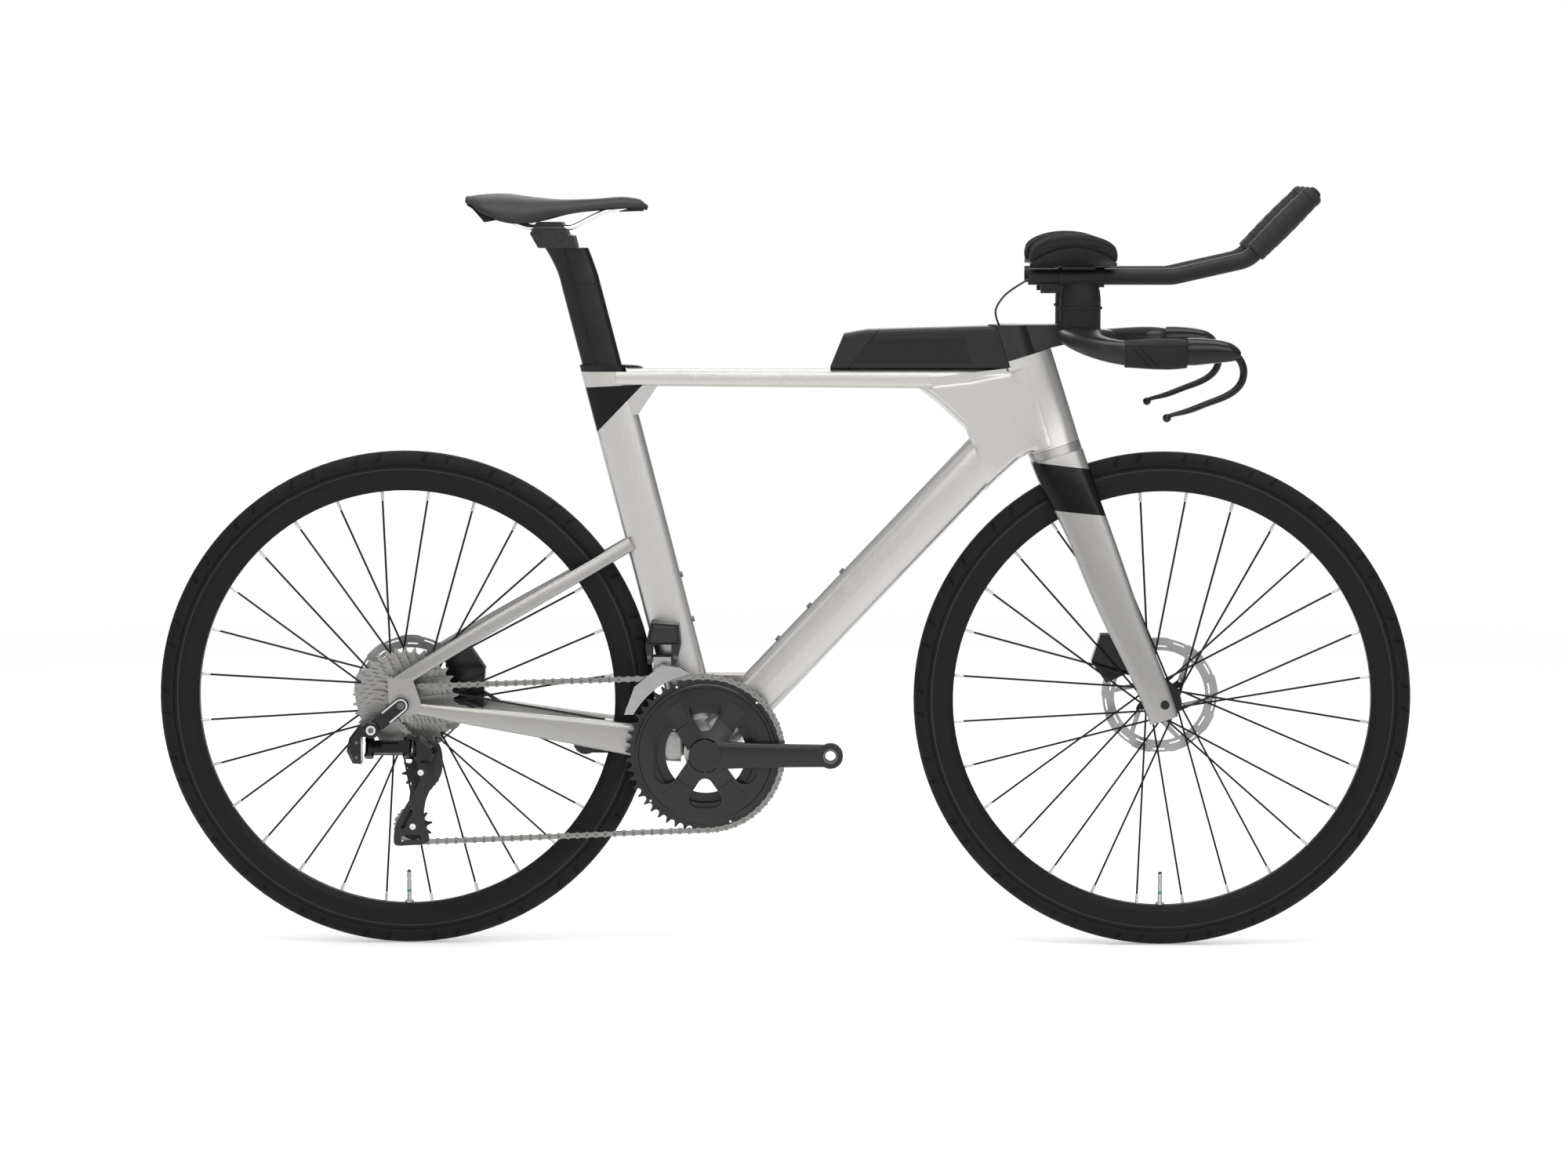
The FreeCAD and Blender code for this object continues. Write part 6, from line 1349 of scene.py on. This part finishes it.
def crank_openings(sheet):
    """Openings between the arms."""
    for discs in COVER_OPENINGS:
        add_plate(sheet, rounded_hull(CRANK_AXLE, discs), OPENING_DEPTHS)


crank_cover = piece("crank_cover", crank_cover_mesh, CRANK_BLACK, "crank")
cut_openings(crank_cover, crank_openings)
crease(crank_cover, 28)


def pedal_eyes_mesh(sheet):
    """Raised ring round each pedal thread."""
    for side in (-1, 1):
        eye = CRANK_AXLE - AHEAD * (side * CRANK_LENGTH)
        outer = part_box("right_crank_arm" if side < 0 else "left_crank_arm")[0 if side < 0 else 1][1]
        profile = [(radius, outer + side * height) for radius, height in EYE_PROFILE]
        add_turned(sheet, eye, profile, 40)


crease(piece("pedal_eye_rings", pedal_eyes_mesh, BOLT_STEEL, "crank"))
ring_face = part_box("outer_chainring")[0][1]
pins = [(round_axle(CRANK_AXLE, RING_PIN_REACH, math.radians(degrees), ring_face), -LEFT) for degrees in RING_PINS]
add_heads("chainring_pins", "crank", "steel", POLISHED, pins, Head_radius=0.0017, Head_height=0.0009,
          Socket_radius=0.0007, Sunk=0.0001)


# Rear derailleur: housing on the axle strap, knuckle body and curved cage

LINK_REAR = joint_place("derailleur_shift")
LINK_AXIS = joint_axis("derailleur_shift")
CAGE_PIVOT = joint_place("derailleur_cage_swing")
GUIDE = joint_place("guide_pulley_spin")
TENSION = joint_place("tension_pulley_spin")
HOUSING_MARKS = [(-54, -80), (-54, -41), (-35, -41), (-31, -31), (-38, -20), (-54, -23), (-70, -44), (-74, -62),
                 (-66, -79)]
HOUSING_SCREWS = ((-60, -50), (-60, -70))
STRAP_BOLT = LINK_REAR + Vector((0.004, 0, 0.026))
HOUSING_IN = LINK_REAR.y + 0.010
HOUSING_OUT = LINK_REAR.y - 0.015
STRAP_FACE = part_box("rear_derailleur_bracket")[0][1] + 0.0026
BARREL_FACE = HOUSING_OUT - 0.0022
# Profile (radius, y) of the housing's bolt barrel.
BARREL = [(0.0, HOUSING_IN), (0.0112, HOUSING_IN), (0.0112, HOUSING_OUT - 0.001), (0.0100, BARREL_FACE),
          (0.0, BARREL_FACE)]
EAR_RADIUS = 0.0065
EAR_REACH = (0.0094, 0.0139)
EAR_PIN_RADIUS = 0.0025
EAR_PIN_REACH = 0.012
STRIP_RADIUS = 0.0082
STRIP_LEGS = (0.026, 0.013)
STRIP_STEPS = 12
# Section of the strip: across it, and out from the strap's face.
STRIP_SECTION = ((-0.0010, 0.0004), (-0.0010, -0.0012), (0.0010, -0.0012), (0.0010, 0.0004))


def apart(start, end):
    """Side-view step from one point to another, in millimetres."""
    return 1000 * (end.x - start.x), 1000 * (end.z - start.z)


def derailleur_body_mesh(sheet):
    """Motor housing with bevelled sides, its bolt barrel, the strap from the axle and the ears of the link."""
    add_plate(sheet, from_point(REAR_AXLE, HOUSING_MARKS),
              [(HOUSING_IN, 1.0), (HOUSING_OUT + 0.005, 1.0), (HOUSING_OUT, 0.80)])
    add_turned(sheet, STRAP_BOLT, BARREL, 40)
    strap_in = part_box("derailleur_hanger")[0][1]
    strap = rounded_hull(REAR_AXLE, [(0, 0, 11), (*apart(REAR_AXLE, STRAP_BOLT), 9)])
    add_plate(sheet, strap, [(strap_in, 1.0), (STRAP_FACE + 0.001, 1.0), (STRAP_FACE, 0.97)])
    for side in (-1, 1):
        add_rod(sheet, *(LINK_REAR + LINK_AXIS * (side * reach) for reach in EAR_REACH), EAR_RADIUS)
    add_rod(sheet, LINK_REAR - LINK_AXIS * EAR_PIN_REACH, LINK_REAR + LINK_AXIS * EAR_PIN_REACH, EAR_PIN_RADIUS)


crease(piece("derailleur_rear_body", derailleur_body_mesh, GLOSS_BLACK, "frame",
             ["rear_derailleur_bracket"]))


def axle_strip_mesh(sheet):
    """Bright strip bent round the axle bolt, its two legs along the strap."""
    way = STRAP_BOLT - REAR_AXLE
    way.y = 0
    way = way.normalized()
    aside = way.cross(LEFT)
    line = [(way * reach + aside * STRIP_RADIUS, aside) for reach in STRIP_LEGS]
    for index in range(STRIP_STEPS + 1):
        turn = math.pi * index / STRIP_STEPS
        out = aside * math.cos(turn) - way * math.sin(turn)
        line.append((out * STRIP_RADIUS, out))
    line += [(way * reach - aside * STRIP_RADIUS, -aside) for reach in reversed(STRIP_LEGS)]
    rings = []
    for place, out in line:
        middle = Vector((REAR_AXLE.x, 0, REAR_AXLE.z)) + place
        ring = []
        for across, depth in STRIP_SECTION:
            spot = middle + out * across
            ring.append(Vector((spot.x, STRAP_FACE + depth, spot.z)))
        rings.append(ring)
    skin(sheet, rings)


crease(piece("axle_strip", axle_strip_mesh, POLISHED, "frame"))
add_heads("strap_bolt_ring", "frame", "steel", POLISHED, facing_out(STRAP_BOLT, BARREL_FACE),
          Head_radius=0.0066, Head_height=0.0012, Socket_radius=0.0048, Sunk=0.0001)
add_heads("strap_bolt", "frame", "steel", BOLT_STEEL, facing_out(STRAP_BOLT, HOUSING_OUT - 0.0030),
          Head_radius=0.0038, Head_height=0.0014, Socket_radius=0.0022, Sunk=0.0004)
add_heads("housing_screws", "frame", "steel", BOLT_STEEL, facing_out(REAR_AXLE, HOUSING_OUT, HOUSING_SCREWS),
          Head_radius=0.0022, Head_height=0.0010, Socket_radius=0.0011, Sunk=0.0002)
add_heads("axle_bolt_socket", "frame", "steel", BOLT_STEEL, facing_out(REAR_AXLE, STRAP_FACE),
          Head_radius=0.0052, Head_height=0.0016, Socket_radius=0.0030, Sunk=0.0001)

CAGE_MARKS = [(19, -52), (29, -47), (40, -48), (50, -56), (54, -72), (53, -93), (47, -106), (36, -120),
              (28.5, -142), (30, -165), (35, -184), (29, -192), (8, -194), (-9, -194.5), (-13.5, -188), (-11, -168),
              (-1, -147), (14.5, -121), (23, -102), (20, -84), (15, -67)]
CAGE_WINDOWS = [[(11, -142), (3, -156), (-4, -171), (2, -170), (6, -159), (13, -150)],
                [(-6, -184), (4, -179), (22, -180), (24, -185), (-2, -189)]]
CAGE_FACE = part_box("rear_derailleur_knuckle")[1][1] + 0.0006
CAGE_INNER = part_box("rear_derailleur_cage")[1][1]
PULLEY_BOLT_RADIUS = 0.0028
PIVOT_PIN_RADIUS = 0.005
PIVOT_PIN_REACH = 0.010


def cage_plate_mesh(sheet):
    """Curved outer plate of the cage."""
    outline = smooth_outline(from_point(REAR_AXLE, CAGE_MARKS))
    add_plate(sheet, outline, [(CAGE_FACE + 0.0022, 1.0), (CAGE_FACE + 0.0006, 1.0), (CAGE_FACE, 0.985)])


def cage_windows(sheet):
    """Openings of the outer plate."""
    for marks in CAGE_WINDOWS:
        add_plate(sheet, from_point(REAR_AXLE, marks), [(CAGE_FACE - 0.01, 1.0), (CAGE_FACE + 0.01, 1.0)])


def cage_inner_mesh(sheet):
    """Inner plate, pulley bolts and the pivot pin."""
    plate = rounded_hull(GUIDE, [(0, 0, 12), (*apart(GUIDE, TENSION), 11)])
    add_plate(sheet, plate, [(CAGE_INNER - 0.0006, 1.0), (CAGE_INNER - 0.0022, 1.0)])
    rods = [(GUIDE, CAGE_INNER, PULLEY_BOLT_RADIUS), (TENSION, CAGE_INNER, PULLEY_BOLT_RADIUS),
            (CAGE_PIVOT, CAGE_FACE - PIVOT_PIN_REACH, PIVOT_PIN_RADIUS)]
    for axle, end, radius in rods:
        add_rod(sheet, Vector((axle.x, CAGE_FACE + 0.001, axle.z)), Vector((axle.x, end, axle.z)), radius)


cage_plate = piece("cage_outer_plate", cage_plate_mesh, CRANK_BLACK, "rear_derailleur_cage",
                   ["rear_derailleur_cage"])
cut_openings(cage_plate, cage_windows)
crease(cage_plate)
crease(piece("cage_inner_plate", cage_inner_mesh, CRANK_BLACK, "rear_derailleur_cage"))
add_heads("cage_bolts", "rear_derailleur_cage", "steel", POLISHED,
          facing_out(TENSION, CAGE_FACE) + facing_out(GUIDE, CAGE_FACE),
          Head_radius=0.0042, Head_height=0.0014, Socket_radius=0.0016, Sunk=0.0002)

KNUCKLE_MARKS = [(17, -46), (24, -42), (45, -56), (47, -66), (40, -77), (25, -79), (17, -73)]
KNUCKLE_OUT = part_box("rear_derailleur_knuckle")[0][1] - 0.0014


def knuckle_body_mesh(sheet):
    """Bevelled body of the front knuckle, over the cage pivot."""
    add_plate(sheet, from_point(REAR_AXLE, KNUCKLE_MARKS),
              [(CAGE_FACE - 0.0004, 1.0), (KNUCKLE_OUT + 0.005, 1.0), (KNUCKLE_OUT, 0.72)])


crease(piece("knuckle_body", knuckle_body_mesh, GLOSS_BLACK, "rear_derailleur_knuckle"))


# Front derailleur: bevelled cap on the motor housing, and its screws

CAP_MARKS = [(-79, 150), (-73, 177), (-37, 174.5), (-34.5, 150)]
CAP_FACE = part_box("front_derailleur_body")[0][1]
MOTOR_SCREWS = ((-76, 132), (-40, 132))


def motor_cap_mesh(sheet):
    """Cap that narrows towards its outer face."""
    add_plate(sheet, from_point(CRANK_AXLE, CAP_MARKS),
              [(CAP_FACE + 0.002, 1.0), (CAP_FACE - 0.0006, 1.0), (CAP_FACE - 0.0050, 0.80)])


crease(piece("motor_cap", motor_cap_mesh, SATIN_BLACK, "frame"))
add_heads("motor_screws", "frame", "steel", BOLT_STEEL, facing_out(CRANK_AXLE, CAP_FACE, MOTOR_SCREWS),
          Head_radius=0.0028, Head_height=0.0016, Socket_radius=0.0014, Sunk=0.0002)


# Chain pins: a riveted end on both sides of every outer link; the pin ends are real, their dark steel is partly
# painted shade between the links

HALF_PITCH = 0.00635
OUTER_LINK = 0.0045
CAGE_ROOM = 0.004


def chain_pin_places():
    """Pin ends of the outer links, from the chain's own solids; none inside the front derailleur's cage."""
    box = [Vector(corner) for corner in nodes["front_derailleur_cage"].bound_box]
    low = [min(corner[axis] for corner in box) - CAGE_ROOM for axis in range(3)]
    high = [max(corner[axis] for corner in box) + CAGE_ROOM for axis in range(3)]
    places = [place for points in solid_points("chain") for place in link_pins(points)]
    return [place for place in places if not all(low[axis] < place[0][axis] < high[axis] for axis in range(3))]


def link_pins(points):
    """Both ends of both pins of an outer link; none for an inner link."""
    middle = sum(points, Vector()) / len(points)
    width = max(point.y for point in points) - min(point.y for point in points)
    if width < OUTER_LINK:
        return []
    spread_x = sum((point.x - middle.x) ** 2 for point in points)
    spread_z = sum((point.z - middle.z) ** 2 for point in points)
    mixed = sum((point.x - middle.x) * (point.z - middle.z) for point in points)
    turn = 0.5 * math.atan2(2 * mixed, spread_x - spread_z)
    along = Vector((math.cos(turn), 0, math.sin(turn)))
    places = []
    for step in (-1, 1):
        for side in (-1, 1):
            places.append((middle + along * (step * HALF_PITCH) + LEFT * (side * width / 2), LEFT * side))
    return places


add_heads("chain_pin_ends", "frame", "steel", BOLT_STEEL, chain_pin_places(), Head_radius=0.0020, Head_height=0.0003,
          Socket_radius=0.0010, Sunk=0.0001)


# Rotor carriers: black star plates that the braking discs are riveted to

CARRIER_ARMS = 6
CARRIER_REACH = 0.0345
CARRIER_HUB = 0.0235
CARRIER_TURN = math.radians(30)


CARRIER_BORE = 0.0182
CARRIER_STEPS = 20
CARRIER_PROUD = 0.0006
CARRIER_TIP = 0.004
ARM_SHARE = 0.36
ARM_SWEEP = 0.10


def carrier_mesh(axle, y_low, y_high):
    """Maker of a star plate with a bore, between two depths."""
    def make(sheet):
        bore, outline = [], []
        for turn in turns(CARRIER_ARMS * CARRIER_STEPS):
            arm = (turn * CARRIER_ARMS / (2 * math.pi)) % 1.0
            away = abs(arm - 0.5) * 2
            bulge = max(0.0, 1 - ((1 - away) / ARM_SHARE) ** 2)
            reach = CARRIER_HUB + (CARRIER_REACH + CARRIER_TIP - CARRIER_HUB) * math.sqrt(bulge)
            outline.append((reach, turn + CARRIER_TURN + ARM_SWEEP * bulge))
            bore.append((CARRIER_BORE, turn + CARRIER_TURN))
        loops = []
        for line, y in ((bore, y_low), (outline, y_low), (outline, y_high), (bore, y_high)):
            loops.append([sheet.verts.new(round_axle(axle, reach, turn, y)) for reach, turn in line])
        for one, two in zip(loops, loops[1:] + loops[:1]):
            bridge(sheet, one, two)
    return make


# Rotors: slotted braking rings on six swept arms

ROTOR_SLOTS = 18
ROTOR_CELLS = 8
ROTOR_EDGES = (0.0625, 0.0672, 0.0692, 0.0734, 0.0754, 0.0800)
ROTOR_STEP = 0.0013
ROTOR_ARMS = 6
SLOT_CELLS = (1, 5)
SLOT_ROWS = (1, 3)
SLOT_LEAN = 4.0
SLOT_MIDDLE = 0.07
# Arms of the rotor, in millimetres: reach and radius of the root and of the tip, and the turn between them.
ARM_ROOT = (34.5, 3.6)
ARM_TIP = (64.0, 3.2)
ARM_LEAN = 0.32


def rotor_cell(column, row):
    """Whether the ring has metal here: each part of it has one long slot, near its rim or its hub in turn."""
    if not 0 <= row < len(ROTOR_EDGES) - 1:
        return False
    part, place = divmod(column % (ROTOR_SLOTS * ROTOR_CELLS), ROTOR_CELLS)
    return row != SLOT_ROWS[part % 2] or not SLOT_CELLS[0] <= place <= SLOT_CELLS[1]


def rotor_corners(sheet, axle, y):
    """Corners of the ring at one depth, by column and line; every second part is a step narrower."""
    corners = {}
    for column, turn in enumerate(turns(ROTOR_SLOTS * ROTOR_CELLS)):
        for line, reach in enumerate(ROTOR_EDGES):
            if line == len(ROTOR_EDGES) - 1 and column % (2 * ROTOR_CELLS) >= ROTOR_CELLS:
                reach -= ROTOR_STEP
            place = round_axle(axle, reach, turn + SLOT_LEAN * (reach - SLOT_MIDDLE), y)
            corners[column, line] = sheet.verts.new(place)
    return corners


def rotor_mesh(axle, y_low, y_high):
    """Maker of a slotted ring with its arms, between two depths."""
    def make(sheet):
        count = ROTOR_SLOTS * ROTOR_CELLS
        low, high = rotor_corners(sheet, axle, y_low), rotor_corners(sheet, axle, y_high)
        for column in range(count):
            after = (column + 1) % count
            for row in range(len(ROTOR_EDGES) - 1):
                if not rotor_cell(column, row):
                    continue
                ring = ((column, row), (after, row), (after, row + 1), (column, row + 1))
                for corners in (low, high):
                    sheet.faces.new([corners[spot] for spot in ring])
                beside = ((column, row - 1), (column + 1, row), (column, row + 1), (column - 1, row))
                for one, two, cell in zip(ring, ring[1:] + ring[:1], beside):
                    if not rotor_cell(*cell):
                        sheet.faces.new((low[one], low[two], high[two], high[one]))
        loose = [vertex for vertex in sheet.verts if not vertex.link_faces]
        bmesh.ops.delete(sheet, geom=loose, context="VERTS")
        for turn in turns(ROTOR_ARMS):
            discs = []
            for (reach, radius), lean in ((ARM_ROOT, 0.0), (ARM_TIP, ARM_LEAN)):
                way = turn + CARRIER_TURN + ARM_SWEEP + lean
                discs.append((reach * math.cos(way), reach * math.sin(way), radius))
            add_plate(sheet, rounded_hull(axle, discs, 12), [(y_low + 0.0001, 1.0), (y_high - 0.0001, 1.0)])
    return make


for wheel_name, axle in WHEELS:
    wheel = f"{wheel_name}_wheel"
    low, high = [corner[1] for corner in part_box(f"{wheel_name}_rotor")]
    crease(piece(f"{wheel_name}_rotor_ring", rotor_mesh(axle, low, high), NODE_FINISHES[f"{wheel_name}_rotor"], wheel,
                 [f"{wheel_name}_rotor"]))
    low, high = low - CARRIER_PROUD, high + CARRIER_PROUD
    carrier = piece(f"{wheel_name}_rotor_carrier", carrier_mesh(axle, low, high), MATTE_BLACK, wheel)
    for face in carrier.data.polygons:
        face.use_smooth = False
    rivets = []
    for y, facing in ((low, -LEFT), (high, LEFT)):
        for turn in turns(CARRIER_ARMS):
            rivets.append((round_axle(axle, CARRIER_REACH, turn + CARRIER_TURN + ARM_SWEEP, y), facing))
    add_heads(f"{wheel_name}_rotor_rivets", wheel, "steel", POLISHED, rivets, Head_radius=0.0024, Head_height=0.0008,
              Socket_radius=0.0011, Sunk=0.0001)


# Floor, light and background

FLOOR_SIZE = 30.0
FLOOR_GLOW = 0.34
FLOOR_FADE = (1.6, 4.5)
# Lamps: name, place, aim, width, height and power in watts.
LAMPS = (("overhead", (0.0, -0.6, 3.4), (0.0, 0.0, 0.5), 3.4, 2.2, 70),
         ("front_box", (0.6, -3.4, 1.95), (0.1, 0.0, 0.75), 3.2, 1.4, 32),
         ("side_rear", (-2.4, -2.4, 1.6), (-0.1, 0.0, 0.5), 1.4, 1.4, 7),
         ("behind", (0.2, 2.8, 2.2), (0.0, 0.0, 0.6), 2.2, 1.4, 30))


def add_floor():
    """Pale floor that keeps the shadow and shows white to the camera."""
    mesh = bpy.data.meshes.new("floor")
    sheet = bmesh.new()
    bmesh.ops.create_grid(sheet, x_segments=1, y_segments=1, size=FLOOR_SIZE)
    sheet.to_mesh(mesh)
    sheet.free()
    floor = placed("floor", mesh)
    material = bpy.data.materials.new("floor_white")
    material.use_nodes = True
    desk = Desk(material.node_tree)
    shader = material.node_tree.nodes["Principled BSDF"]
    place = desk.place()
    far = desk.span(desk.vector("LENGTH", place), *FLOOR_FADE, smooth=True)
    near_colour = desk.tint(desk.noise(place, 0.8), (0.80, 0.80, 0.80), (0.82, 0.82, 0.82))
    desk.feed(shader.inputs["Base Color"], desk.tint(far, near_colour, (0.0, 0.0, 0.0)))
    shader.inputs["Roughness"].default_value = 0.9
    shader.inputs["Specular IOR Level"].default_value = 0.0
    rays = desk.node("ShaderNodeLightPath").outputs
    seen = widest(desk, [rays[f"Is {kind} Ray"] for kind in ("Glossy", "Transmission", "Camera")])
    glow = desk.span(far, 0.0, 1.0, FLOOR_GLOW, 1.0)
    shader.inputs["Emission Color"].default_value = (1, 1, 1, 1)
    desk.feed(shader.inputs["Emission Strength"], desk.math("MULTIPLY", seen, glow))
    mesh.materials.append(material)


def add_lamp(name, place, aim, width, height, watts):
    """Area lamp turned to its aim."""
    lamp = bpy.data.lights.new(name, "AREA")
    lamp.shape = "RECTANGLE"
    lamp.size = width
    lamp.size_y = height
    lamp.energy = watts
    holder = placed(name, lamp)
    holder.location = place
    holder.rotation_euler = (Vector(aim) - Vector(place)).to_track_quat("-Z", "Y").to_euler()


def add_light():
    """Pale surroundings, white to the camera and brighter on the near side, and the lamps."""
    world = bpy.data.worlds.new("studio")
    bpy.context.scene.world = world
    world.use_nodes = True
    desk = Desk(world.node_tree)
    background = world.node_tree.nodes["Background"]
    rays = desk.node("ShaderNodeLightPath").outputs
    background.inputs["Color"].default_value = (1, 1, 1, 1)
    ahead, left, height = desk.parts(desk.node("ShaderNodeTexCoord").outputs["Generated"])
    sky = desk.span(height, 0.0, 0.9, 0.08, 0.62, smooth=True)
    near_side = desk.span(left, -1.0, 0.1, 0.35, 0.0, smooth=True)
    near_side = desk.math("MULTIPLY", near_side, desk.span(ahead, -0.45, 0.35, smooth=True))
    sky = desk.math("ADD", sky, near_side)
    mirrored_light = desk.math("MAXIMUM", rays["Is Glossy Ray"], rays["Is Transmission Ray"])
    ambient = desk.math("MULTIPLY_ADD", mirrored_light, 0.08, sky)
    strength = desk.math("MAXIMUM", rays["Is Camera Ray"], ambient)
    desk.feed(background.inputs["Strength"], strength)
    for lamp in LAMPS:
        add_lamp(*lamp)


add_floor()
add_light()
bpy.context.scene.view_settings.view_transform = "Standard"
